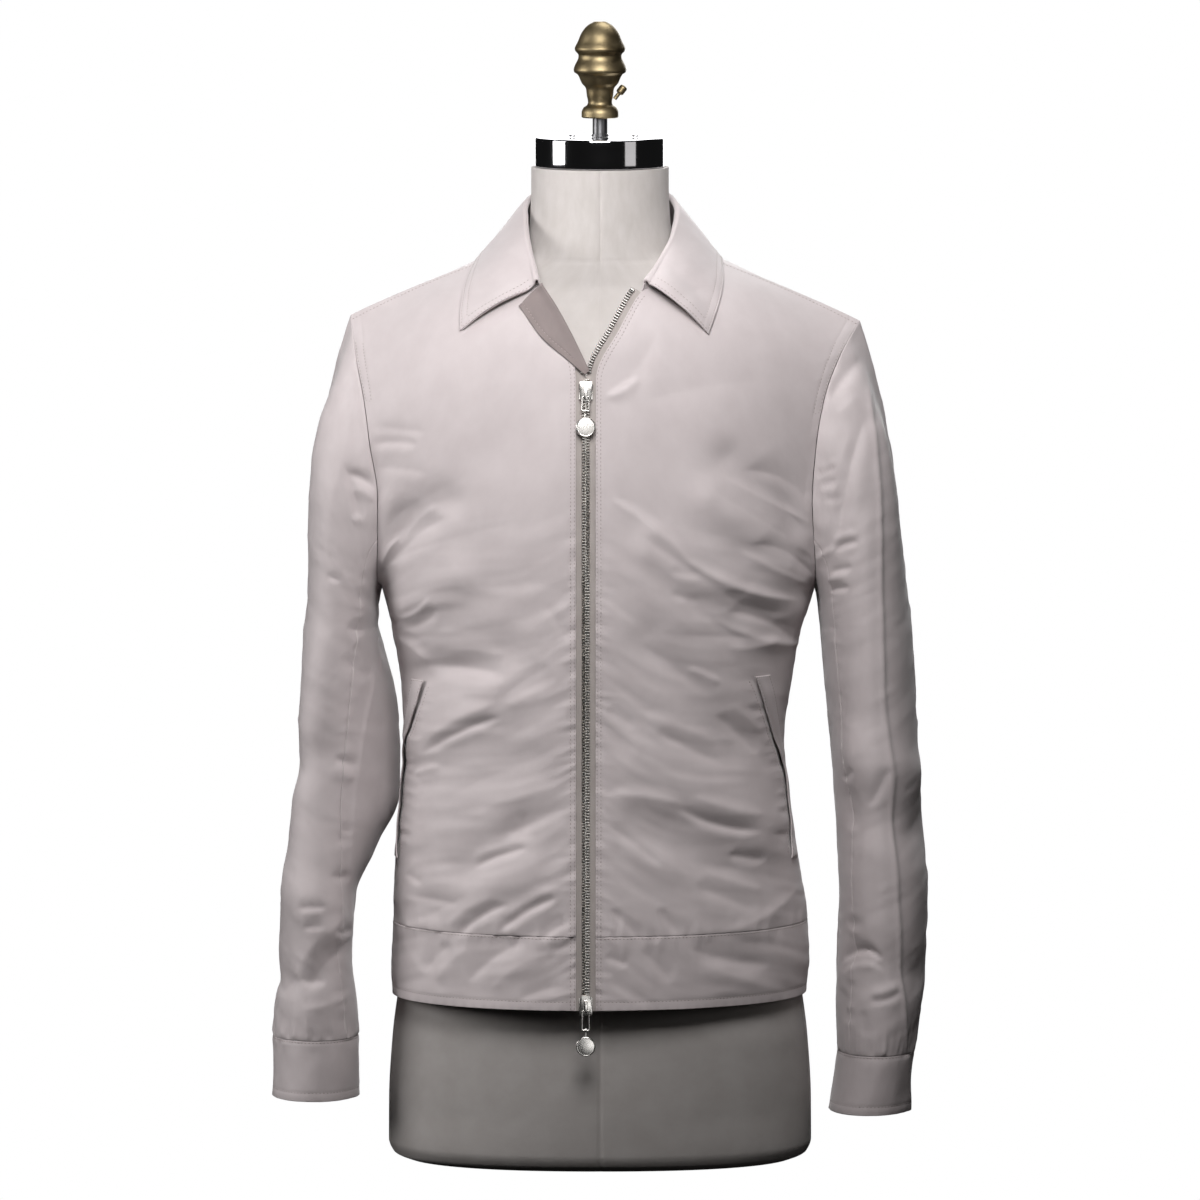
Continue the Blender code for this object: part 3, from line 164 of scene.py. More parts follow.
# Sliders and pulls, in each slider's own frame
ZIP_ROWS = [HEM_ROW, HEM_ROW / 2, *range(BAND_ROW, GORGE_ROW + 1)]
SLIDER_ROW = {"top": 15.75, "bottom": -2.75}
SLIDER_OUTLINE = ((-0.0057, 0.0086), (0.0057, 0.0086), (0.0060, 0.0040),
                  (0.0042, -0.0086), (-0.0042, -0.0086), (-0.0060, 0.0040))
SLIDER_LEVELS = ((-0.0009, 0.0002), (-0.0011, 0.0), (-0.0021, 0.0), (-0.0026, 0.0003), (-0.0028, 0.0010))
FLANGE_X, FLANGE_HALF, FLANGE_SPAN = 0.0049, 0.0007, (-0.0066, 0.0062)
FLANGE_LEVELS = ((-0.0010, 0.0), (0.0010, 0.0), (0.0014, 0.0003))
BRIDGE_HALF, BRIDGE_THICK_HALF, SLIDER_CORNER, SMALL_CORNER = 0.0016, 0.0006, 0.0016, 0.0004
BRIDGE_PATH = ((-0.0022, -0.0064), (-0.0048, -0.0064), (-0.0056, -0.0060), (-0.0058, -0.0050),
               (-0.0058, 0.0024), (-0.0056, 0.0034), (-0.0048, 0.0039), (-0.0022, 0.0039))
LINK_LENGTH = {"top": 0.0120, "bottom": 0.0165}
BAR_RADIUS, BAR_SPOT = 0.0007, (0.0039, -0.0045)
LINK_TOP_HALF, LINK_FOOT_HALF, LINK_CORNER = 0.0027, 0.0031, 0.0009
EYE_MIDDLE, EYE_WIRE, EYE_HALF = 0.0016, 0.0005, 0.0012
DISC_DROP, DISC_SIDES = 0.0137, 64
NECK_LINE, NECK_RADII = (0.0019, 0.0030, 0.0045, 0.0062), (0.0011, 0.0008)
DISC_PROFILE = ((0.0002, -0.0009), (0.0070, -0.0009), (0.0073, -0.00085), (0.0076, -0.0010),
                (0.0080, -0.0009), (0.0083, -0.0005), (0.0083, 0.0005), (0.0080, 0.0009),
                (0.0076, 0.0010), (0.0002, 0.0010))


class Table:
    """Rows of sizes under named columns, read between the rows along a smooth curve."""

    def __init__(self, names, *rows):
        self.rows = np.array(rows, dtype=float)
        if self.rows.shape[1] != len(names.split()):
            raise ValueError("a row doesn't fit the columns " + names)
        self.places = self.rows[:, 0]
        self.values = self.rows[:, 1:]
        rises = np.diff(self.values, axis=0) / np.diff(self.places)[:, None]
        same = rises[:-1] * rises[1:] > 0
        total = np.where(same, rises[:-1] + rises[1:], 1)
        inner = np.where(same, 2 * rises[:-1] * rises[1:] / total, 0)
        self.slopes = np.vstack([rises[:1], inner, rises[-1:]])

    def at(self, place):
        place = np.clip(np.asarray(place, dtype=float), self.places[0], self.places[-1])
        i = np.clip(np.searchsorted(self.places, place, side="right") - 1, 0, len(self.places) - 2)
        step = self.places[i + 1] - self.places[i]
        t = ((place - self.places[i]) / step)[..., None]
        step = step[..., None]
        start, end = self.values[i], self.values[i + 1]
        lead, trail = self.slopes[i] * step, self.slopes[i + 1] * step
        return (start * (2 * t**3 - 3 * t**2 + 1) + lead * (t**3 - 2 * t**2 + t)
                + end * (3 * t**2 - 2 * t**3) + trail * (t**3 - t**2))


# Front edge of each front: up the zip, along the opening to the gorge, then round the neck
FRONT_EDGE = {
    "left": Table(
        "row x y z",
        (-3, -0.0038, -0.1405, 0.1415),
        (0, -0.0038, -0.1380, 0.2040),
        (6, -0.0038, -0.1290, 0.3500),
        (12, -0.0038, -0.1335, 0.5000),
        (14, -0.0038, -0.1340, 0.5880),
        (16, -0.0035, -0.1245, 0.6760),
        (17, 0.0155, -0.1140, 0.7160),
        (18, 0.0355, -0.0985, 0.7480),
        (20, 0.0610, -0.0700, 0.7585),
        (22, 0.0765, -0.0320, 0.7670),
        (24, 0.0810, 0.0040, 0.7745),
    ),
    "right": Table(
        "row x y z",
        (-3, -0.0203, -0.1405, 0.1415),
        (0, -0.0203, -0.1380, 0.2040),
        (6, -0.0203, -0.1290, 0.3500),
        (12, -0.0203, -0.1335, 0.5000),
        (14, -0.0203, -0.1340, 0.5880),
        (16, -0.0203, -0.1245, 0.6760),
        (17, -0.0300, -0.1130, 0.7160),
        (18, -0.0485, -0.0950, 0.7490),
        (20, -0.0660, -0.0660, 0.7590),
        (22, -0.0775, -0.0310, 0.7670),
        (24, -0.0810, 0.0040, 0.7745),
    ),
}

# Middle of the back up to the nape, then round the neck; x is for the left half
BACK_EDGE = Table(
    "row x y z",
    (-3, 0.0000, 0.1310, 0.1415),
    (0, 0.0000, 0.1290, 0.2040),
    (6, 0.0000, 0.1100, 0.3500),
    (12, 0.0000, 0.1140, 0.5200),
    (15, 0.0000, 0.1200, 0.6400),
    (17, 0.0000, 0.1090, 0.7200),
    (19, 0.0000, 0.0715, 0.7880),
    (21, 0.0410, 0.0625, 0.7845),
    (22.5, 0.0640, 0.0400, 0.7800),
    (24, 0.0810, 0.0040, 0.7745),
)

SIDE_SEAM = {
    "left": Table(
        "row x y z",
        (-3, 0.1768, 0.004, 0.1415),
        (-1.5, 0.1785, 0.004, 0.1730),
        (0, 0.1775, 0.004, 0.2040),
        (2.5, 0.1690, 0.004, 0.2580),
        (5, 0.1605, 0.004, 0.3180),
        (6.7, 0.1570, 0.004, 0.3580),
        (8.5, 0.1630, 0.003, 0.4030),
        (10.4, 0.1705, 0.001, 0.4480),
        (12, 0.1835, 0.000, 0.4880),
    ),
    "right": Table(
        "row x y z",
        (-3, -0.1765, 0.004, 0.1415),
        (-1.5, -0.1770, 0.004, 0.1730),
        (0, -0.1755, 0.004, 0.2040),
        (2.5, -0.1735, 0.004, 0.2580),
        (5, -0.1690, 0.004, 0.3180),
        (6.7, -0.1665, 0.004, 0.3580),
        (8.5, -0.1690, 0.003, 0.4030),
        (10.4, -0.1760, 0.001, 0.4480),
        (12, -0.1860, 0.000, 0.4880),
    ),
}

ARMHOLE = {
    ("front", "left"): Table(
        "row x y z",
        (12, 0.1835, 0.000, 0.4880),
        (13.2, 0.1835, -0.034, 0.4970),
        (14.4, 0.1825, -0.056, 0.5200),
        (16.3, 0.1800, -0.068, 0.5670),
        (18.2, 0.1830, -0.068, 0.6130),
        (20.1, 0.1905, -0.058, 0.6550),
        (22, 0.2040, -0.036, 0.6890),
        (24, 0.2215, 0.000, 0.7165),
    ),
    ("front", "right"): Table(
        "row x y z",
        (12, -0.1860, 0.000, 0.4880),
        (13.2, -0.1895, -0.034, 0.4970),
        (14.4, -0.1890, -0.056, 0.5200),
        (16.3, -0.1885, -0.068, 0.5700),
        (18.2, -0.1950, -0.068, 0.6150),
        (20.1, -0.2000, -0.058, 0.6520),
        (22, -0.2070, -0.036, 0.6860),
        (24, -0.2125, 0.000, 0.7215),
    ),
    ("back", "left"): Table(
        "row x y z",
        (12, 0.1835, 0.000, 0.4880),
        (13.2, 0.1825, 0.034, 0.4990),
        (14.4, 0.1800, 0.056, 0.5230),
        (16.3, 0.1785, 0.067, 0.5700),
        (18.2, 0.1820, 0.067, 0.6160),
        (20.1, 0.1905, 0.058, 0.6570),
        (22, 0.2040, 0.036, 0.6910),
        (24, 0.2215, 0.000, 0.7165),
    ),
    ("back", "right"): Table(
        "row x y z",
        (12, -0.1860, 0.000, 0.4880),
        (13.2, -0.1880, 0.034, 0.4990),
        (14.4, -0.1865, 0.056, 0.5230),
        (16.3, -0.1860, 0.067, 0.5700),
        (18.2, -0.1900, 0.067, 0.6160),
        (20.1, -0.1965, 0.058, 0.6560),
        (22, -0.2050, 0.036, 0.6900),
        (24, -0.2125, 0.000, 0.7215),
    ),
}

# How each row swells out from the straight line between its two edges
SWELL = {
    "front": Table(
        "row lead_in swell_in lead_out swell_out tilt",
        (-3, 0.360, 0.0650, 0.200, 0.0640, 0),
        (0, 0.360, 0.0640, 0.200, 0.0630, 0),
        (6, 0.350, 0.0600, 0.220, 0.0600, 0),
        (12, 0.400, 0.0620, 0.190, 0.0520, 0),
        (14.4, 0.440, 0.0400, 0.200, 0.0400, 4),
        (18, 0.360, 0.0300, 0.300, 0.0290, 25),
        (21, 0.340, 0.0210, 0.320, 0.0190, 50),
        (24, 0.340, 0.0020, 0.320, 0.0030, 90),
    ),
    "back": Table(
        "row lead_in swell_in lead_out swell_out tilt",
        (-3, 0.360, 0.0620, 0.200, 0.0620, 0),
        (0, 0.360, 0.0610, 0.200, 0.0610, 0),
        (6, 0.380, 0.0500, 0.220, 0.0520, 0),
        (12, 0.400, 0.0560, 0.190, 0.0480, 0),
        (14.4, 0.440, 0.0340, 0.200, 0.0360, 0),
        (18, 0.360, 0.0380, 0.300, 0.0300, 10),
        (21, 0.340, 0.0290, 0.320, 0.0190, 45),
        (24, 0.340, 0.0020, 0.320, 0.0030, 90),
    ),
}

# Largest folds: both ends, breadth and height, in x and z on the body and in turn and z on a sleeve
FOLDS = {
    ("front", "left"): (
        ((0.172, 0.552), (0.110, 0.606), 0.016, -0.0051),
        ((0.160, 0.520), (0.095, 0.575), 0.017, 0.0042),
        ((0.165, 0.470), (0.045, 0.535), 0.018, 0.0039),
        ((0.040, 0.455), (0.110, 0.362), 0.018, -0.0039),
        ((0.030, 0.355), (0.140, 0.290), 0.019, 0.0042),
        ((0.030, 0.300), (0.145, 0.242), 0.016, -0.0036),
    ),
    ("front", "right"): (
        ((-0.172, 0.546), (-0.130, 0.570), 0.016, -0.0048),
        ((-0.165, 0.482), (-0.120, 0.505), 0.016, 0.0048),
        ((-0.150, 0.422), (-0.075, 0.446), 0.017, -0.0042),
        ((-0.155, 0.362), (-0.080, 0.410), 0.018, 0.0042),
        ((-0.125, 0.225), (-0.060, 0.260), 0.016, 0.0039),
        ((-0.115, 0.255), (-0.065, 0.295), 0.015, -0.0036),
    ),
    ("back", "left"): (
        ((0.060, 0.370), (0.140, 0.350), 0.020, -0.0045),
        ((0.040, 0.330), (0.150, 0.305), 0.018, 0.0039),
        ((0.150, 0.560), (0.120, 0.460), 0.018, 0.0045),
    ),
    ("back", "right"): (
        ((-0.050, 0.375), (-0.145, 0.345), 0.019, -0.0045),
        ((-0.030, 0.325), (-0.140, 0.300), 0.018, 0.0036),
        ((-0.150, 0.570), (-0.125, 0.470), 0.018, 0.0045),
    ),
    ("sleeve", "left"): (
        ((0.18, 0.350), (0.42, 0.335), 0.022, 0.0045),
        ((0.15, 0.300), (0.40, 0.285), 0.022, -0.0042),
        ((0.15, 0.180), (0.40, 0.160), 0.022, -0.0039),
    ),
    ("sleeve", "right"): (
        ((0.20, 0.350), (0.45, 0.330), 0.022, -0.0042),
        ((0.16, 0.215), (0.40, 0.235), 0.022, 0.0042),
        ((0.22, 0.160), (0.50, 0.150), 0.022, -0.0036),
    ),
}

# Direction in which the sleeve leaves the armhole, round from the armpit by way of the front
CAP_LEAD = Table(
    "turn out back down",
    (0.00, 0.28, 0.00, 0.96),
    (0.06, 0.45, -0.04, 0.89),
    (0.12, 0.60, -0.12, 0.80),
    (0.25, 0.85, -0.25, 0.50),
    (0.38, 0.80, -0.20, 0.55),
    (0.50, 0.34, 0.00, 0.90),
    (0.62, 0.80, 0.20, 0.55),
    (0.75, 0.85, 0.25, 0.50),
    (0.88, 0.60, 0.12, 0.80),
    (0.94, 0.45, 0.04, 0.89),
    (1.00, 0.28, 0.00, 0.96),
)

# Level sections of each sleeve down to the foot of its cuff, with x measured out from the body
SLEEVE = {
    "left": Table(
        "drop x y half_width half_depth twist",
        (-0.455, 0.2272, 0.000, 0.0393, 0.0740, 0),
        (-0.392, 0.2317, -0.001, 0.0387, 0.0715, 0),
        (-0.341, 0.2350, -0.003, 0.0370, 0.0690, 0),
        (-0.290, 0.2390, -0.006, 0.0372, 0.0660, 0),
        (-0.222, 0.2423, -0.010, 0.0383, 0.0610, 0),
        (-0.160, 0.2405, -0.014, 0.0380, 0.0570, 0),
        (-0.110, 0.2375, -0.017, 0.0350, 0.0540, 0),
        (-0.093, 0.2362, -0.018, 0.0334, 0.0520, 0),
        (-0.042, 0.2300, -0.019, 0.0345, 0.0500, 0),
    ),
    "right": Table(
        "drop x y half_width half_depth twist",
        (-0.455, 0.2208, 0.000, 0.0305, 0.0680, 8),
        (-0.375, 0.2147, 0.000, 0.0335, 0.0680, 26),
        (-0.307, 0.2176, -0.002, 0.0350, 0.0660, 31),
        (-0.260, 0.2300, -0.005, 0.0335, 0.0630, 16),
        (-0.226, 0.2397, -0.008, 0.0308, 0.0610, 4),
        (-0.171, 0.2436, -0.012, 0.0315, 0.0580, 0),
        (-0.120, 0.2430, -0.016, 0.0362, 0.0540, 0),
        (-0.106, 0.2432, -0.017, 0.0366, 0.0520, 0),
        (-0.054, 0.2430, -0.019, 0.0370, 0.0500, 0),
    ),
}
CUFF_SEAM_Z = {"left": 0.093, "right": 0.106}
CUFF_FOOT_Z = {"left": 0.042, "right": 0.054}

# Fold line of the collar, counted from the nape to the gorge
ROLL = {
    "left": Table(
        "place x y z",
        (0, 0.0000, 0.0655, 0.8290),
        (2, 0.0320, 0.0590, 0.8270),
        (4, 0.0565, 0.0350, 0.8200),
        (5, 0.0630, 0.0160, 0.8150),
        (6, 0.0655, -0.0050, 0.8085),
        (8, 0.0610, -0.0480, 0.7905),
        (10, 0.0470, -0.0835, 0.7665),
        (11, 0.0375, -0.1000, 0.7545),
    ),
    "right": Table(
        "place x y z",
        (0, 0.0000, 0.0655, 0.8290),
        (2, -0.0320, 0.0590, 0.8270),
        (4, -0.0550, 0.0350, 0.8200),
        (5, -0.0610, 0.0160, 0.8160),
        (6, -0.0635, -0.0050, 0.8090),
        (8, -0.0620, -0.0450, 0.7920),
        (10, -0.0560, -0.0790, 0.7690),
        (11, -0.0520, -0.0970, 0.7555),
    ),
}

# Where the collar's outer edge lies on the fronts and the back, counted in the same way
COLLAR_EDGE = {
    "left": Table(
        "place x y z",
        (0, 0.0000, 0.0970, 0.7720),
        (2, 0.0480, 0.0880, 0.7700),
        (4, 0.0860, 0.0520, 0.7680),
        (5, 0.0980, 0.0290, 0.7670),
        (6, 0.1035, 0.0000, 0.7640),
        (8, 0.1030, -0.0500, 0.7500),
        (10, 0.0985, -0.0920, 0.7300),
        (11, 0.0945, -0.1120, 0.7160),
    ),
    "right": Table(
        "place x y z",
        (0, 0.0000, 0.0970, 0.7720),
        (2, -0.0480, 0.0880, 0.7700),
        (4, -0.0860, 0.0520, 0.7680),
        (5, -0.0985, 0.0290, 0.7670),
        (6, -0.1050, 0.0000, 0.7630),
        (8, -0.1130, -0.0450, 0.7480),
        (10, -0.1210, -0.0860, 0.7300),
        (11, -0.1250, -0.1030, 0.7225),
    ),
}

# Turned-back part of the right front: its fold and its sewn edge, up from the foot of the opening
FACING_FOLD = Table(
    "share x z",
    (0.0, -0.0060, 0.6770),
    (0.4, -0.0195, 0.7050),
    (0.7, -0.0345, 0.7335),
    (1.0, -0.0476, 0.7540),
)
FACING_SEWN = Table(
    "share x z",
    (0.0, -0.0085, 0.6755),
    (0.4, -0.0290, 0.6925),
    (0.7, -0.0490, 0.7095),
    (1.0, -0.0678, 0.7345),
)

# Pocket welts, by how far across the front they start and end
WELT_LINE = {
    "left": Table(
        "share row across",
        (0.0, 9.2, 0.660),
        (0.2, 7.9, 0.765),
        (0.4, 6.6, 0.880),
        (0.55, 5.6, 0.955),
        (0.75, 4.2, 0.960),
        (0.9, 3.2, 0.935),
        (1.0, 2.5, 0.890),
    ),
    "right": Table(
        "share row across",
        (0.0, 9.0, 0.720),
        (0.15, 8.1, 0.770),
        (0.3, 7.1, 0.850),
        (0.45, 6.2, 0.940),
        (0.65, 4.8, 0.955),
        (0.85, 3.5, 0.940),
        (1.0, 2.5, 0.890),
    ),
}
WELT_WIDTH, WELT_WALL, WELT_ROWS = 0.022, 0.0010, 111
WELT_SEWN, WELT_MOUTH, WELT_GAPE = 0.0013, 0.0023, 0.0016
MOUTH_DEPTH, MOUTH_BREADTH = 0.0016, 0.0017

# Facing: start, wall, lift and the round of its fold; lines along it and across it
FACING_START, FACING_WALL, FACING_LIFT, FACING_ROUND = 0.08, 0.0009, 0.0022, 0.0011
FACING_SHARES = (FACING_START, FACING_START + 0.004, *np.linspace(FACING_START + 0.02, 0.985, 46),
                 0.996, 1.0, 1.003)
FACING_FROM_FOLD = np.array((0, 0.0004, 0.0012, *np.linspace(0.0026, 0.0132, 12))) / 0.0176
FACING_FROM_SEWN = (0.0044, 0.0040, 0.0036, 0.0026, 0.0012, 0.0004, 0)
FACING_LEAST_REACH, PROBE_Y, NEAR_Y = 0.0105, -0.3, -0.12

# Pressed line down each sleeve's front: x at each height, then its rise and breadth
PRESSED = {
    "left": ((0.048, 0.2645), (0.092, 0.2620), (0.142, 0.2590), (0.226, 0.2530), (0.316, 0.2480),
             (0.402, 0.2406), (0.498, 0.2380), (0.574, 0.2372), (0.631, 0.2322), (0.690, 0.2250)),
    "right": ((0.054, -0.2070), (0.100, -0.2080), (0.221, -0.2130), (0.281, -0.2110), (0.319, -0.2074),
              (0.362, -0.2015), (0.401, -0.1940), (0.440, -0.1880)),
}
PRESSED_RISE = {"left": 0.0021, "right": 0.0010}
PRESSED_BREADTH, PRESSED_STEP = 0.0024, 0.0012

# Level sections of the form; the roundness is the power of its oval
FORM = Table(
    "z half_width front back roundness",
    (0.0000, 0.1665, 0.1075, 0.1095, 2.3),
    (0.0044, 0.1768, 0.1175, 0.1195, 2.3),
    (0.0150, 0.1810, 0.1215, 0.1235, 2.3),
    (0.0500, 0.1808, 0.1225, 0.1240, 2.2),
    (0.1030, 0.1777, 0.1205, 0.1225, 2.2),
    (0.1430, 0.1727, 0.1170, 0.1190, 2.1),
    (0.2040, 0.1640, 0.1110, 0.1130, 2.1),
    (0.2800, 0.1510, 0.1010, 0.0980, 2.1),
    (0.3400, 0.1445, 0.0970, 0.0890, 2.1),
    (0.4000, 0.1470, 0.1010, 0.0890, 2.1),
    (0.4700, 0.1555, 0.1100, 0.0950, 2.1),
    (0.5400, 0.1650, 0.1180, 0.1030, 2.1),
    (0.6000, 0.1725, 0.1180, 0.1060, 2.1),
    (0.6500, 0.1790, 0.1080, 0.1030, 2.1),
    (0.6900, 0.1830, 0.0900, 0.0920, 2.1),
    (0.7100, 0.1810, 0.0780, 0.0820, 2.0),
    (0.7245, 0.1740, 0.0700, 0.0740, 2.0),
    (0.7359, 0.1610, 0.0630, 0.0680, 2.0),
    (0.7513, 0.1250, 0.0580, 0.0630, 2.0),
    (0.7653, 0.0840, 0.0580, 0.0610, 2.0),
    (0.7740, 0.0695, 0.0580, 0.0600, 2.0),
    (0.7850, 0.0640, 0.0580, 0.0590, 2.0),
    (0.8000, 0.0600, 0.0580, 0.0580, 2.0),
    (0.8300, 0.0585, 0.0580, 0.0580, 2.0),
    (0.8470, 0.0585, 0.0580, 0.0580, 2.0),
)

# Turned pieces: radius and height of each point of the profile
CAP_PROFILE = ((0.0520, 0.8474), (0.0546, 0.8476), (0.0550, 0.8482), (0.0550, 0.8710),
               (0.0544, 0.8722), (0.0530, 0.8726), (0.0080, 0.8726))
ROD_PROFILE = ((0.0075, 0.8729), (0.0075, 0.8750), (0.0063, 0.8752), (0.0063, 0.8887))
FINIAL_PROFILE = ((0.0148, 0.8890), (0.0157, 0.8900), (0.0157, 0.8932), (0.0140, 0.8976),
                  (0.0109, 0.9000), (0.0102, 0.9022), (0.0112, 0.9078), (0.0120, 0.9138),
                  (0.0155, 0.9184), (0.0190, 0.9257), (0.0220, 0.9280), (0.0224, 0.9299),
                  (0.0216, 0.9330), (0.0183, 0.9410), (0.0184, 0.9425), (0.0212, 0.9462),
                  (0.0215, 0.9480), (0.0208, 0.9500), (0.0189, 0.9537), (0.0158, 0.9610),
                  (0.0105, 0.9675), (0.0050, 0.9707))
SCREW_PROFILE = ((0.0030, 0.0000), (0.0032, 0.0005), (0.0024, 0.0014), (0.0010, 0.0018))
THUMB_PROFILE = ((0.0017, 0.0000), (0.0017, 0.0058), (0.0030, 0.0064), (0.0034, 0.0080),
                 (0.0034, 0.0120), (0.0028, 0.0134), (0.0010, 0.0140))
THUMB_FOOT, THUMB_LEAN = (0.0124, -0.0020, 0.9050), 38
CAP_SCREW_X, CAP_SCREW_Z = {"left": 0.0298, "right": -0.0238}, 0.8729

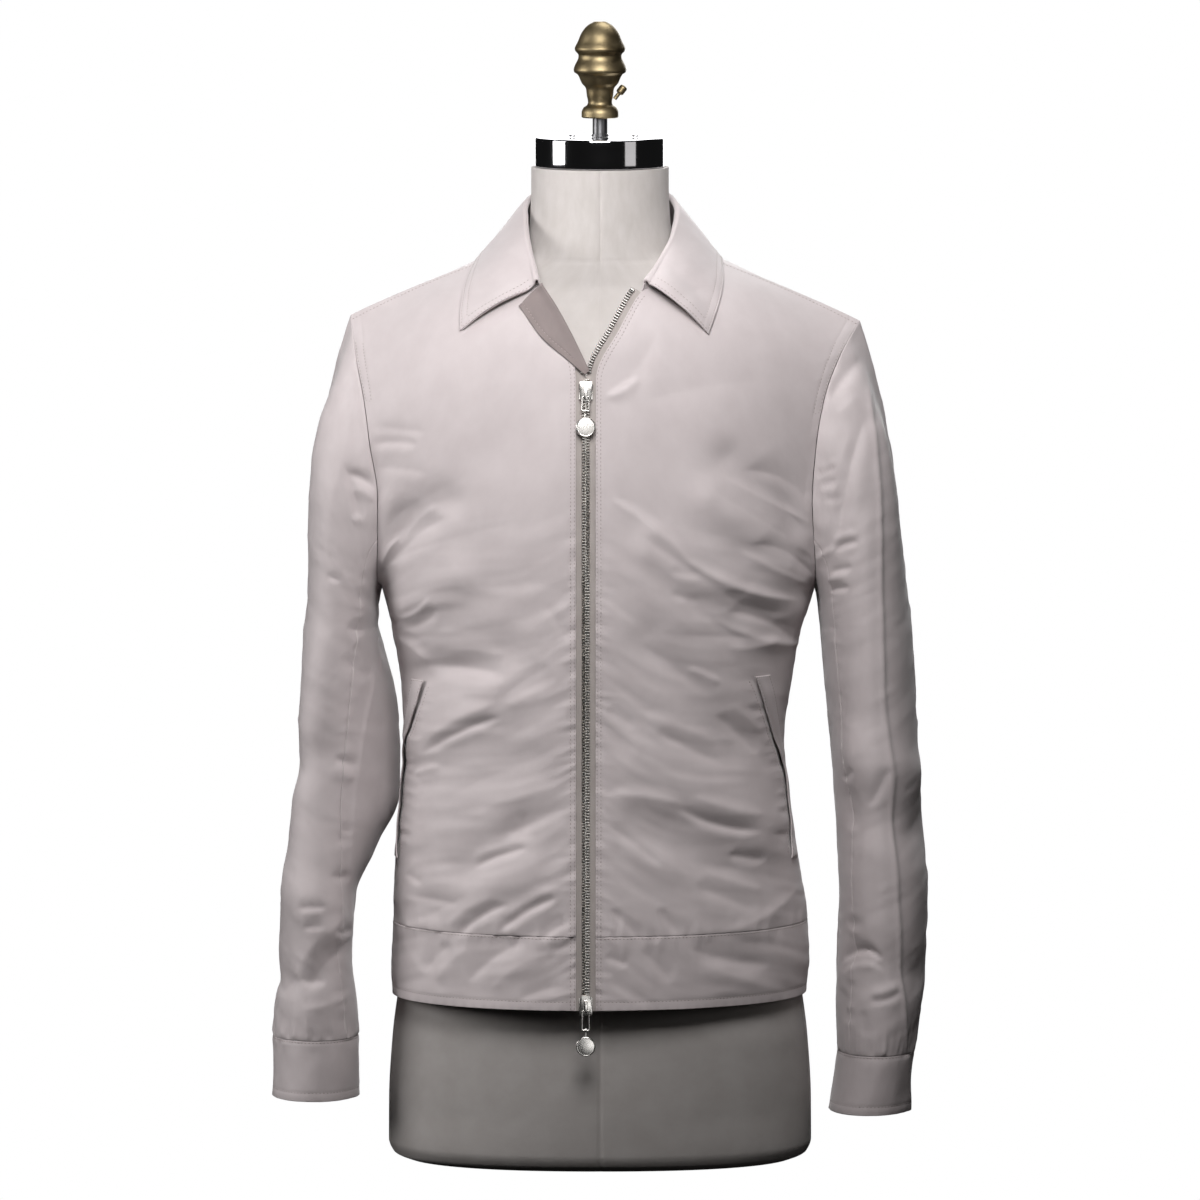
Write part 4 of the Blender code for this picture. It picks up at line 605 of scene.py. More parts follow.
# Creases: both ends in x and z, how far the line bows up, breadth and height (a ridge is above 0);
# the rows of an elbow are in girth round the sleeve and z
CREASES = {
    ("front", "right"): (
        (-0.197, 0.630, -0.146, 0.628, 0.001, 0.0045, -0.0014),
        (-0.192, 0.616, -0.153, 0.618, 0.002, 0.0050, -0.0022),
        (-0.189, 0.597, -0.144, 0.594, 0.001, 0.0060, -0.0012),
        (-0.178, 0.511, -0.129, 0.557, 0.007, 0.0100, -0.0042),
        (-0.186, 0.506, -0.170, 0.538, 0.003, 0.0030, 0.0022),
        (-0.173, 0.523, -0.136, 0.568, 0.006, 0.0060, 0.0016),
        (-0.173, 0.467, -0.141, 0.489, -0.005, 0.0030, 0.0024),
        (-0.168, 0.458, -0.136, 0.480, -0.004, 0.0060, -0.0022),
        (-0.173, 0.451, -0.146, 0.430, 0.001, 0.0055, 0.0022),
        (-0.152, 0.427, -0.076, 0.422, 0.004, 0.0075, -0.0034),
        (-0.136, 0.441, -0.081, 0.441, 0.003, 0.0090, 0.0018),
        (-0.085, 0.403, -0.041, 0.433, 0.003, 0.0080, -0.0022),
        (-0.047, 0.487, -0.024, 0.453, 0.000, 0.0050, -0.0012),
        (-0.150, 0.352, -0.082, 0.389, 0.004, 0.0042, -0.0034),
        (-0.146, 0.363, -0.085, 0.401, 0.004, 0.0070, 0.0022),
        (-0.159, 0.333, -0.134, 0.344, 0.001, 0.0035, 0.0020),
        (-0.095, 0.393, -0.034, 0.426, 0.002, 0.0080, -0.0022),
        (-0.128, 0.319, -0.034, 0.359, 0.004, 0.0110, -0.0022),
        (-0.110, 0.302, -0.027, 0.334, 0.003, 0.0100, 0.0020),
        (-0.109, 0.259, -0.059, 0.279, 0.002, 0.0036, -0.0034),
        (-0.110, 0.267, -0.055, 0.287, 0.002, 0.0060, 0.0022),
        (-0.085, 0.284, -0.025, 0.314, 0.002, 0.0070, -0.0018),
        (-0.122, 0.200, -0.076, 0.231, 0.004, 0.0048, -0.0040),
        (-0.129, 0.208, -0.085, 0.237, 0.004, 0.0070, 0.0024),
        (-0.087, 0.206, -0.034, 0.238, 0.003, 0.0044, -0.0044),
        (-0.085, 0.216, -0.030, 0.248, 0.003, 0.0060, 0.0026),
        (-0.051, 0.201, -0.024, 0.218, 0.001, 0.0040, -0.0020),
        (-0.166, 0.249, -0.150, 0.242, 0.000, 0.0035, -0.0016),
        (-0.167, 0.231, -0.119, 0.228, 0.001, 0.0045, -0.0016),
        (-0.153, 0.210, -0.110, 0.235, 0.003, 0.0090, -0.0018),
        (-0.151, 0.166, -0.126, 0.195, 0.003, 0.0090, -0.0034),
        (-0.139, 0.159, -0.110, 0.193, 0.003, 0.0080, 0.0022),
        (-0.114, 0.161, -0.061, 0.201, 0.005, 0.0085, -0.0042),
        (-0.093, 0.156, -0.044, 0.191, 0.004, 0.0090, 0.0026),
        (-0.070, 0.151, -0.029, 0.163, 0.001, 0.0050, -0.0018),
        (-0.042, 0.191, -0.024, 0.198, 0.000, 0.0030, -0.0016),
    ),
    ("front", "left"): (
        (0.006, 0.664, 0.048, 0.716, -0.006, 0.0120, -0.0019),
        (0.003, 0.660, 0.034, 0.677, -0.002, 0.0035, 0.0026),
        (0.034, 0.655, 0.144, 0.672, 0.006, 0.0140, -0.0014),
        (0.121, 0.597, 0.184, 0.557, 0.012, 0.0095, -0.0032),
        (0.099, 0.594, 0.180, 0.548, 0.000, 0.0060, 0.0026),
        (0.085, 0.589, 0.177, 0.528, 0.000, 0.0110, -0.0022),
        (0.126, 0.535, 0.183, 0.499, 0.009, 0.0085, -0.0042),
        (0.115, 0.531, 0.180, 0.494, -0.002, 0.0055, 0.0028),
        (0.007, 0.577, 0.076, 0.521, 0.003, 0.0050, 0.0030),
        (0.065, 0.528, 0.170, 0.482, -0.007, 0.0055, 0.0042),
        (0.034, 0.545, 0.104, 0.495, 0.000, 0.0080, -0.0036),
        (0.102, 0.494, 0.162, 0.472, -0.004, 0.0080, -0.0030),
        (0.105, 0.477, 0.167, 0.445, 0.008, 0.0085, -0.0054),
        (0.095, 0.472, 0.175, 0.440, -0.004, 0.0050, 0.0028),
        (0.106, 0.447, 0.155, 0.453, -0.005, 0.0060, 0.0026),
        (0.068, 0.487, 0.123, 0.449, 0.002, 0.0090, -0.0024),
        (0.058, 0.514, 0.085, 0.509, 0.000, 0.0040, -0.0014),
        (0.059, 0.494, 0.085, 0.485, 0.000, 0.0040, -0.0014),
        (0.005, 0.521, 0.085, 0.453, 0.004, 0.0110, 0.0016),
        (0.074, 0.431, 0.104, 0.416, 0.000, 0.0035, 0.0022),
        (0.034, 0.453, 0.099, 0.403, 0.000, 0.0090, -0.0022),
        (0.005, 0.398, 0.031, 0.379, 0.000, 0.0045, -0.0018),
        (0.046, 0.379, 0.107, 0.347, -0.002, 0.0065, -0.0032),
        (0.034, 0.393, 0.102, 0.363, 0.002, 0.0070, 0.0020),
        (0.099, 0.389, 0.136, 0.351, 0.002, 0.0065, -0.0032),
        (0.110, 0.398, 0.144, 0.361, 0.002, 0.0060, 0.0020),
        (0.065, 0.312, 0.136, 0.287, -0.004, 0.0046, -0.0042),
        (0.005, 0.324, 0.071, 0.314, 0.003, 0.0075, 0.0030),
        (0.076, 0.322, 0.138, 0.300, -0.002, 0.0060, 0.0022),
        (0.109, 0.270, 0.143, 0.262, 0.000, 0.0046, -0.0030),
        (0.005, 0.300, 0.053, 0.263, 0.001, 0.0045, -0.0024),
        (0.017, 0.287, 0.076, 0.252, 0.002, 0.0070, 0.0018),
        (0.080, 0.247, 0.136, 0.220, 0.000, 0.0085, -0.0034),
        (0.085, 0.258, 0.143, 0.235, 0.000, 0.0060, 0.0020),
        (0.008, 0.228, 0.036, 0.200, 0.001, 0.0042, -0.0030),
        (0.048, 0.228, 0.068, 0.201, 0.001, 0.0046, -0.0028),
        (0.105, 0.206, 0.170, 0.235, -0.006, 0.0060, 0.0024),
        (0.034, 0.195, 0.061, 0.163, 0.001, 0.0065, -0.0026),
        (0.070, 0.196, 0.146, 0.173, -0.003, 0.0095, -0.0044),
        (0.085, 0.178, 0.162, 0.147, 0.000, 0.0090, 0.0026),
        (0.003, 0.188, 0.025, 0.179, 0.000, 0.0035, -0.0020),
        (0.005, 0.168, 0.042, 0.147, 0.000, 0.0060, -0.0016),
    ),
    ("arm", "right"): (
        (-0.212, 0.681, -0.207, 0.606, 0.003, 0.0065, -0.0026),
        (-0.224, 0.665, -0.217, 0.597, 0.002, 0.0080, 0.0016),
        (-0.215, 0.591, -0.190, 0.579, 0.002, 0.0030, -0.0044),
        (-0.212, 0.580, -0.190, 0.568, 0.002, 0.0045, 0.0030),
        (-0.218, 0.601, -0.204, 0.550, 0.003, 0.0055, -0.0032),
        (-0.211, 0.551, -0.201, 0.555, 0.000, 0.0030, 0.0018),
        (-0.233, 0.504, -0.219, 0.499, 0.000, 0.0035, -0.0018),
        (-0.216, 0.459, -0.199, 0.453, 0.000, 0.0045, -0.0018),
        (-0.221, 0.436, -0.194, 0.411, 0.000, 0.0080, -0.0020),
        (-0.225, 0.347, -0.206, 0.338, 0.000, 0.0035, -0.0028),
        (-0.229, 0.339, -0.207, 0.329, 0.000, 0.0045, 0.0018),
        (-0.221, 0.287, -0.211, 0.282, 0.000, 0.0035, -0.0018),
        (-0.229, 0.247, -0.212, 0.242, 0.000, 0.0040, -0.0022),
        (-0.255, 0.219, -0.233, 0.221, 0.001, 0.0035, -0.0026),
        (-0.252, 0.203, -0.235, 0.204, 0.001, 0.0035, -0.0020),
        (-0.262, 0.153, -0.216, 0.215, 0.006, 0.0100, 0.0034),
        (-0.250, 0.147, -0.211, 0.191, 0.003, 0.0110, -0.0036),
        (-0.229, 0.200, -0.211, 0.195, 0.000, 0.0035, -0.0022),
        (-0.258, 0.158, -0.229, 0.159, -0.002, 0.0040, -0.0022),
        (-0.275, 0.142, -0.258, 0.163, 0.000, 0.0070, -0.0020),
        (-0.255, 0.134, -0.212, 0.146, -0.003, 0.0050, 0.0016),
    ),
    ("arm", "left"): (
        (0.194, 0.652, 0.224, 0.687, 0.002, 0.0065, -0.0038),
        (0.201, 0.640, 0.219, 0.657, 0.000, 0.0060, 0.0020),
        (0.226, 0.640, 0.201, 0.533, 0.004, 0.0070, -0.0038),
        (0.214, 0.631, 0.194, 0.538, 0.003, 0.0070, 0.0018),
        (0.180, 0.589, 0.202, 0.597, 0.000, 0.0030, -0.0026),
        (0.182, 0.594, 0.204, 0.602, 0.000, 0.0035, 0.0020),
        (0.184, 0.580, 0.202, 0.584, 0.000, 0.0030, -0.0022),
        (0.189, 0.568, 0.206, 0.570, 0.000, 0.0028, -0.0020),
        (0.199, 0.526, 0.221, 0.533, 0.002, 0.0032, -0.0032),
        (0.197, 0.533, 0.219, 0.540, 0.002, 0.0040, 0.0022),
        (0.182, 0.514, 0.201, 0.528, 0.002, 0.0030, 0.0024),
        (0.195, 0.506, 0.215, 0.511, 0.001, 0.0032, -0.0028),
        (0.194, 0.489, 0.212, 0.494, 0.001, 0.0032, -0.0026),
        (0.192, 0.499, 0.212, 0.504, 0.001, 0.0040, 0.0018),
        (0.226, 0.305, 0.245, 0.344, -0.002, 0.0055, -0.0028),
        (0.207, 0.327, 0.218, 0.339, 0.000, 0.0035, -0.0018),
        (0.204, 0.169, 0.243, 0.174, 0.012, 0.0036, -0.0042),
        (0.206, 0.159, 0.243, 0.163, 0.010, 0.0060, 0.0034),
        (0.229, 0.140, 0.258, 0.148, -0.002, 0.0036, -0.0028),
        (0.228, 0.147, 0.257, 0.156, -0.002, 0.0050, 0.0024),
        (0.206, 0.151, 0.212, 0.117, 0.000, 0.0050, -0.0018),
        (0.223, 0.134, 0.226, 0.109, 0.000, 0.0050, -0.0016),
        (0.221, 0.453, 0.219, 0.369, 0.002, 0.0080, -0.0014),
        (0.229, 0.268, 0.231, 0.201, 0.001, 0.0080, -0.0014),
    ),
    ("back", "left"): (
        (0.022, 0.700, 0.120, 0.690, 0.006, 0.0120, -0.0016),
        (0.150, 0.640, 0.110, 0.560, 0.006, 0.0080, -0.0034),
        (0.165, 0.600, 0.130, 0.545, 0.004, 0.0060, 0.0026),
        (0.176, 0.520, 0.120, 0.500, -0.005, 0.0060, -0.0036),
        (0.178, 0.500, 0.128, 0.478, -0.004, 0.0055, 0.0028),
        (0.172, 0.458, 0.088, 0.470, -0.006, 0.0075, -0.0030),
        (0.160, 0.405, 0.050, 0.428, -0.006, 0.0085, -0.0034),
        (0.158, 0.388, 0.066, 0.404, -0.005, 0.0065, 0.0028),
        (0.152, 0.350, 0.094, 0.372, -0.003, 0.0050, -0.0036),
        (0.150, 0.330, 0.040, 0.352, 0.006, 0.0080, 0.0030),
        (0.154, 0.300, 0.070, 0.330, 0.004, 0.0065, -0.0034),
        (0.160, 0.258, 0.076, 0.282, 0.004, 0.0070, -0.0028),
        (0.140, 0.236, 0.100, 0.210, 0.000, 0.0050, -0.0032),
        (0.092, 0.240, 0.058, 0.208, 0.002, 0.0055, -0.0028),
        (0.034, 0.238, 0.018, 0.206, 0.000, 0.0045, -0.0024),
        (0.150, 0.192, 0.118, 0.160, 0.002, 0.0060, -0.0030),
        (0.078, 0.196, 0.052, 0.156, 0.003, 0.0070, -0.0034),
        (0.066, 0.196, 0.036, 0.162, 0.003, 0.0060, 0.0022),
        (0.012, 0.450, 0.020, 0.560, 0.004, 0.0120, 0.0014),
        (0.060, 0.520, 0.090, 0.430, -0.006, 0.0110, -0.0016),
    ),
    ("back", "right"): (
        (-0.030, 0.708, -0.110, 0.694, 0.005, 0.0130, -0.0014),
        (-0.158, 0.652, -0.122, 0.570, 0.005, 0.0085, -0.0032),
        (-0.172, 0.586, -0.136, 0.532, 0.003, 0.0055, 0.0028),
        (-0.180, 0.536, -0.116, 0.512, -0.005, 0.0065, -0.0034),
        (-0.180, 0.480, -0.132, 0.462, -0.004, 0.0055, -0.0030),
        (-0.168, 0.446, -0.070, 0.452, -0.007, 0.0080, 0.0026),
        (-0.166, 0.418, -0.062, 0.420, -0.006, 0.0075, -0.0036),
        (-0.162, 0.372, -0.048, 0.396, -0.007, 0.0090, -0.0028),
        (-0.156, 0.356, -0.084, 0.368, -0.003, 0.0050, 0.0030),
        (-0.156, 0.324, -0.060, 0.344, 0.005, 0.0065, -0.0034),
        (-0.152, 0.296, -0.050, 0.306, 0.004, 0.0080, 0.0026),
        (-0.160, 0.262, -0.090, 0.286, 0.003, 0.0060, -0.0032),
        (-0.146, 0.240, -0.128, 0.208, 0.002, 0.0045, -0.0028),
        (-0.108, 0.244, -0.070, 0.210, 0.003, 0.0060, -0.0032),
        (-0.044, 0.236, -0.026, 0.208, 0.001, 0.0045, -0.0022),
        (-0.140, 0.194, -0.104, 0.158, 0.003, 0.0075, -0.0032),
        (-0.126, 0.196, -0.092, 0.162, 0.003, 0.0060, 0.0022),
        (-0.064, 0.190, -0.040, 0.160, 0.002, 0.0060, -0.0026),
        (-0.070, 0.540, -0.044, 0.450, 0.006, 0.0120, -0.0015),
    ),
    ("elbow", "left"): (
        (0.150, 0.610, 0.175, 0.500, 0.004, 0.0080, -0.0026),
        (0.190, 0.560, 0.255, 0.536, 0.006, 0.0060, -0.0032),
        (0.200, 0.520, 0.270, 0.512, -0.004, 0.0055, -0.0030),
        (0.160, 0.470, 0.230, 0.450, 0.005, 0.0070, 0.0026),
        (0.120, 0.400, 0.190, 0.368, 0.006, 0.0065, -0.0034),
        (0.150, 0.372, 0.250, 0.360, 0.005, 0.0070, 0.0030),
        (0.140, 0.340, 0.240, 0.322, -0.005, 0.0055, -0.0036),
        (0.190, 0.300, 0.290, 0.282, 0.005, 0.0060, -0.0030),
        (0.120, 0.262, 0.200, 0.240, 0.004, 0.0060, -0.0028),
        (0.200, 0.230, 0.300, 0.206, 0.006, 0.0070, 0.0026),
        (0.140, 0.196, 0.230, 0.168, 0.005, 0.0055, -0.0036),
        (0.210, 0.160, 0.300, 0.140, 0.004, 0.0060, -0.0032),
        (0.120, 0.150, 0.180, 0.122, 0.002, 0.0050, -0.0026),
    ),
    ("elbow", "right"): (
        (0.160, 0.620, 0.190, 0.520, 0.004, 0.0080, -0.0024),
        (0.180, 0.570, 0.260, 0.556, 0.005, 0.0060, -0.0034),
        (0.190, 0.530, 0.270, 0.500, -0.004, 0.0060, 0.0026),
        (0.130, 0.480, 0.210, 0.462, 0.005, 0.0065, -0.0030),
        (0.140, 0.420, 0.240, 0.398, 0.006, 0.0070, -0.0034),
        (0.120, 0.380, 0.200, 0.352, 0.004, 0.0060, 0.0030),
        (0.170, 0.352, 0.270, 0.336, -0.004, 0.0055, -0.0036),
        (0.140, 0.302, 0.240, 0.290, 0.005, 0.0070, -0.0028),
        (0.190, 0.268, 0.290, 0.236, 0.006, 0.0070, 0.0028),
        (0.120, 0.240, 0.210, 0.222, 0.003, 0.0055, -0.0034),
        (0.170, 0.200, 0.280, 0.180, 0.005, 0.0060, -0.0034),
        (0.130, 0.158, 0.220, 0.136, 0.003, 0.0060, -0.0028),
    ),
}

# Seams of the form: at these angles round it, then all as depth and breadth, with the level ones' heights
FORM_SEAMS = (math.radians(-90), math.radians(-10), math.radians(-170), math.radians(90))
UPRIGHT_GROOVE = (0.00055, 0.0008)
NECK_SEAMS = ((0.770, 0.0005, 0.0010), (0.0032, 0.0006, 0.0008))
FORM_LEVELS = ((0, 0.016, 14), (0.016, 0.132, 44), (0.132, 0.70, 90), (0.70, 0.847, 70))
FORM_SIDES, GIRTH_LEVEL = 168, 60

# Creases of the collar, in x and z of its front
COLLAR_CREASES = (
    (-0.108, 0.741, -0.060, 0.760, 0.004, 0.0080, -0.0007),
    (-0.094, 0.755, -0.068, 0.785, 0.003, 0.0090, 0.0006),
    (0.060, 0.735, 0.094, 0.752, 0.003, 0.0080, -0.0008),
    (0.068, 0.752, 0.088, 0.790, 0.003, 0.0090, 0.0007),
)

# Lights: place, power, width and height, and colour; the second list lights the zip's metal only
LIGHT_AIM = (0, 0, 0.55)
LIGHTS = (
    ("side", (-2.5, -0.5, 1.2), 37, (1.2, 1.2), (1.0, 0.985, 0.985)),
    ("front", (0, -0.95, 1.3), 14.5, (0.6, 0.6), (1.0, 0.985, 0.985)),
    ("top", (0.3, 0.5, 2.1), 12, (0.8, 0.8), (1.0, 1.0, 1.0)),
    ("right", (2.2, -1.5, 1.0), 2.6, (1.0, 1.0), (1.0, 0.97, 0.95)),
    ("behind", (0.4, 2.8, 1.3), 30, (1.8, 1.8), (1.0, 1.0, 1.0)),
)
ZIP_LIGHTS = (
    ("zip_card", (0, -5.0, 1.42), 8, (2.0, 1.0), (1.0, 1.0, 1.0)),
    ("zip_top", (0, -3.0, 2.6), 3, (1.4, 1.4), (1.0, 1.0, 1.0)),
    ("zip_foot", (0.8, -4.0, 0.1), 9, (1.6, 0.8), (1.0, 1.0, 1.0)),
)
WORLD_GLOW = 0.01
# Canvas darkened toward the form's foot, partly soiling and partly painted shade under the jacket: the heights
# where it starts and ends, and the colour kept at each
FOOT_SOIL_AND_SHADE = (0.13, 0.30, 0.62, 1.0)

# Camera and floor
CAMERA_SPOT, CAMERA_AIM = (0, -10, 1.43), (0, 0, 0.477)
CAMERA_LENS, CAMERA_SENSOR, CAMERA_REACH = 353, 36, 100
FLOOR_HALF = 30.0


def unit(vectors):
    lengths = np.linalg.norm(vectors, axis=-1, keepdims=True)
    return vectors / np.maximum(lengths, 1e-12)


def smooth(share):
    """Rise smoothly from 0 to 1."""
    share = np.clip(share, 0, 1)
    return share * share * (3 - 2 * share)


def bent(start, first, second, end, share):
    """Points of a curve between two ends, drawn toward two guide points."""
    rest = 1 - share
    return (start * rest**3 + first * 3 * rest**2 * share
            + second * 3 * rest * share**2 + end * share**3)


def evened(values):
    """A grid of values, each averaged with the four beside it."""
    wide = np.pad(values, ((1, 1), (1, 1)) + ((0, 0),) * (values.ndim - 2), mode="edge")
    return (wide[1:-1, 1:-1] * 2 + wide[:-2, 1:-1] + wide[2:, 1:-1]
            + wide[1:-1, :-2] + wide[1:-1, 2:]) / 6


# ---------------------------------------------------------------- the smooth surfaces

def panel_edges(face, side, row):
    """The two ends of rows of a front or of half the back."""
    if face == "front":
        inner = FRONT_EDGE[side].at(row)
    else:
        inner = BACK_EDGE.at(row) * (SIDES[side], 1, 1)
    below = (row <= ARMPIT_ROW)[..., None]
    return inner, np.where(below, SIDE_SEAM[side].at(row), ARMHOLE[face, side].at(row))


def panel_point(face, side, row, across):
    """Points of a front or of half the back before its folds, from its inner edge to its side."""
    start, end = panel_edges(face, side, row)
    values = SWELL[face].at(row)
    lead_in, swell_in, lead_out, swell_out, tilt = (values[..., k, None] for k in range(5))
    chord = end - start
    level = unit(np.stack([np.abs(chord[..., 1]) * SIDES[side], -np.abs(chord[..., 0]),
                           np.zeros_like(row)], axis=-1))
    if face == "back":
        level = level * (1, -1, 1)
    turned_back = (chord[..., 1] * (1 if face == "front" else -1) < 0)[..., None]
    level = np.where(turned_back, level * (-1, 1, 1), level)
    lean = np.radians(tilt)
    out = level * np.cos(lean) + np.array((0, 0, 1)) * np.sin(lean)
    first = start + chord * lead_in + out * swell_in
    second = end - chord * lead_out + out * swell_out
    return bent(start, first, second, end, across[..., None])


def armhole_point(side, turn):
    """Points of the armhole, round from the armpit (0) by way of the front and the shoulder."""
    half = SHOULDER_ROW - ARMPIT_ROW
    front = ARMHOLE["front", side].at(ARMPIT_ROW + 2 * half * turn)
    back = ARMHOLE["back", side].at(SHOULDER_ROW - 2 * half * (turn - 0.5))
    return np.where((turn <= 0.5)[..., None], front, back)


def sleeve_section(side, z, turn):
    """Points of level sections of a sleeve."""
    values = SLEEVE[side].at(-z)
    x, y, half_width, half_depth, twist = (values[..., k] for k in range(5))
    angle = 2 * math.pi * turn
    wide, deep = -half_width * np.cos(angle), -half_depth * np.sin(angle)
    lean = np.radians(twist)
    out = x + wide * np.cos(lean) - deep * np.sin(lean)
    back = y + wide * np.sin(lean) + deep * np.cos(lean)
    return np.stack([out * SIDES[side], back, z + 0 * out], axis=-1)


def sleeve_point(side, turn, down):
    """Points of a sleeve: down runs 0 to 1 over the sleeve head, then 1 to 2 to the cuff seam."""
    turn = turn % 1.0
    start = armhole_point(side, turn)
    end = sleeve_section(side, np.full_like(turn, CAP_END_Z), turn)
    out, back, drop = (unit(CAP_LEAD.at(turn))[..., k] for k in range(3))
    reach = CAP_REACH * np.linalg.norm(end - start, axis=-1)[..., None]
    first = start + np.stack([out * SIDES[side], back, -drop], axis=-1) * reach
    second = end + np.array((-CAP_SLOPE * SIDES[side], 0, 1)) * reach
    cap = bent(start, first, second, end, np.clip(down, 0, 1)[..., None])
    z = CAP_END_Z + (CUFF_SEAM_Z[side] - CAP_END_Z) * (np.clip(down, 1, 2) - 1)
    return np.where((down <= 1)[..., None], cap, sleeve_section(side, z, turn))


def neck_point(side, place):
    """Points of the neckline, counted from the nape (0) past the shoulder seam to the gorge."""
    back_places = SHOULDER_ROW - NAPE_ROW
    back = BACK_EDGE.at(NAPE_ROW + place) * (SIDES[side], 1, 1)
    front = FRONT_EDGE[side].at(SHOULDER_ROW - (place - back_places))
    return np.where((place <= back_places)[..., None], back, front)


# ---------------------------------------------------------------- creases

def fold_height(rows, spot, scale=1.0):
    """How far the largest folds lift the cloth; the first coordinate is scaled to metres."""
    height = 0.0
    for start, end, breadth, rise in rows:
        here = spot * (scale, 1)
        start, end = (np.array(point) * (scale, 1) for point in (start, end))
        span = end - start
        share = np.clip((here - start) @ span / (span @ span), 0, 1)
        away = np.linalg.norm(here - start - share[..., None] * span, axis=-1)
        height = height + rise * np.exp(-(away / breadth)**2)
    return height


def crease_height(rows, across, up):
    """Height of some creases: pointed in section, with one flank gentler than the other."""
    height = np.zeros_like(across)
    for x0, z0, x1, z1, bow, breadth, rise in rows:
        run, climb = x1 - x0, z1 - z0
        length = math.hypot(run, climb)
        share = ((across - x0) * run + (up - z0) * climb) / length**2
        away = ((up - z0) * run - (across - x0) * climb) / length * math.copysign(1, run)
        away = away - bow * 4 * share * (1 - share)
        lasting = smooth(1.1 * (1 - np.abs(2 * share - 1)**2.2))
        lean = GENTLE_FLANK if rise < 0 else -GENTLE_FLANK
        broad = breadth * (1 + lean * np.sign(away)) * (0.45 + 0.55 * lasting)
        near = np.exp(-(np.abs(away) / broad)**1.5)
        beside = np.exp(-((np.abs(away) - 2.3 * broad) / (1.2 * broad))**2)
        height += CREASE_SHARE * rise * lasting * (near - 0.16 * beside)
    return height


def waves(kind, across, up, seed):
    """Low uneven waves over a surface, from smoothed random values at the corners of a net."""
    size, height = WAVES[kind]
    draw = np.random.default_rng(seed)
    total = np.zeros_like(across)
    for octave in range(3):
        values = draw.uniform(-1, 1, NET)
        turn = draw.uniform(0, math.pi)
        cell = size / 2**octave
        x = (across * math.cos(turn) + up * math.sin(turn)) / cell + 31.7
        y = (up * math.cos(turn) - across * math.sin(turn)) / cell + 17.3
        total += net_value(values, x, y) * 0.5**octave
    return total * height


def net_value(values, x, y):
    """Values between the corners of a net that repeats."""
    i, j = np.floor(x).astype(int), np.floor(y).astype(int)
    fx, fy = smooth(x - i), smooth(y - j)
    rows, columns = values.shape
    low = values[i % rows, j % columns] * (1 - fx) + values[(i + 1) % rows, j % columns] * fx
    high = values[i % rows, (j + 1) % columns] * (1 - fx) + values[(i + 1) % rows, (j + 1) % columns] * fx
    return low * (1 - fy) + high * fy


def uneven_along(draw, along, size, x, y):
    """Smoothed random values along a line, started at a place of the net."""
    return net_value(draw.uniform(-1, 1, NET), along / size + x, 0 * along + y)


def drag_lines(kind, along, across, seed):
    """Long low wrinkles that run along one direction."""
    long, broad, height = DRAG[kind]
    draw = np.random.default_rng(seed)
    total = np.zeros_like(along)
    for octave in range(3):
        values = draw.uniform(-1, 1, NET)
        total += net_value(values, along / long * 1.5**octave + 9.1,
                           across / broad * 1.7**octave + 13.7) * 0.6**octave
    return total * height


def gathers(kind, along, away, seed):
    """Short gathers across a seam, uneven in place, length and height."""
    span, pitch, reach, height, slant = GATHERS[kind]
    place, last = span or (along.min(), along.max())
    draw = np.random.default_rng(seed)
    total = np.zeros_like(along)
    while place < last:
        place += pitch * draw.uniform(0.6, 1.5)
        broad = pitch * draw.uniform(0.26, 0.42)
        lasts = reach * draw.uniform(0.45, 1.35)
        rise = height * draw.uniform(0.3, 1.25) * draw.choice((-1.0, 1.0), p=(0.72, 0.28))
        lean = slant + draw.uniform(-0.25, 0.25)
        total += rise * np.exp(-((along - place - lean * away) / broad)**2 - (away / lasts)**2)
    return total


def roping(along, above_edge, seed):
    """Slanted ridges where a turned hem has twisted, between its edge and its stitches."""
    draw = np.random.default_rng(seed)
    place = along + ROPING_SLOPE * above_edge
    uneven = uneven_along(draw, along, 0.021, 11.3, 3.4)
    ridges = np.cos(2 * math.pi * place / ROPING_PITCH + 2.2 * uneven)
    strength = 0.65 + 0.35 * uneven_along(draw, along, 0.045, 5.2, 8.1)
    inside = smooth(above_edge / 0.0015) * smooth((HEM_STITCH - 0.0006 - above_edge) / 0.0022)
    return ROPING_HEIGHT * ridges * strength * inside


# ---------------------------------------------------------------- grids and shells

def lengths_along(points, axis):
    """Running length along one axis of a grid of points."""
    steps = np.linalg.norm(np.diff(points, axis=axis), axis=-1)
    start = np.zeros_like(np.take(steps, [0], axis=axis))
    return np.cumsum(np.concatenate([start, steps], axis=axis), axis=axis)


def marks(roundness, dips=()):
    """Places beside an edge that its round and its stitch rows need."""
    places = [0, 0.12 * roundness, 0.42 * roundness, roundness]
    for dip in dips:
        places += [dip - STITCH_DIP_BREADTH, dip, dip + STITCH_DIP_BREADTH]
    return np.array(sorted(set(places)))


def spread(totals, step, first, last):
    """For each total length, the same number of places: marks at both ends, even steps between."""
    totals = np.atleast_1d(totals)[:, None]
    count = max(int(round((np.mean(totals) - first[-1] - last[-1]) / step)), 2)
    count += (len(first) + len(last) + count) % 2
    share = np.linspace(0, 1, count + 1)[None, 1:-1]
    middle = first[-1] + (totals - first[-1] - last[-1]) * share
    return np.concatenate([np.tile(first, (len(totals), 1)), middle, totals - last[::-1]], axis=1)


def resampled(totals, shares, places):
    """The shares at which running lengths reach the places, row by row."""
    return np.array([np.interp(place, total, shares) for place, total in zip(places, totals)])


def grid_normals(grid, outward):
    """Directions square to a grid of points."""
    down = np.gradient(grid, axis=0)
    over = np.gradient(grid, axis=1)
    return unit(np.cross(over, down)) * outward


def edge_drop(distance, roundness):
    """How far a rounded edge falls away, as a quarter circle."""
    inside = roundness - np.clip(distance, 0, roundness)
    return roundness - np.sqrt(np.maximum(roundness**2 - inside**2, 0))


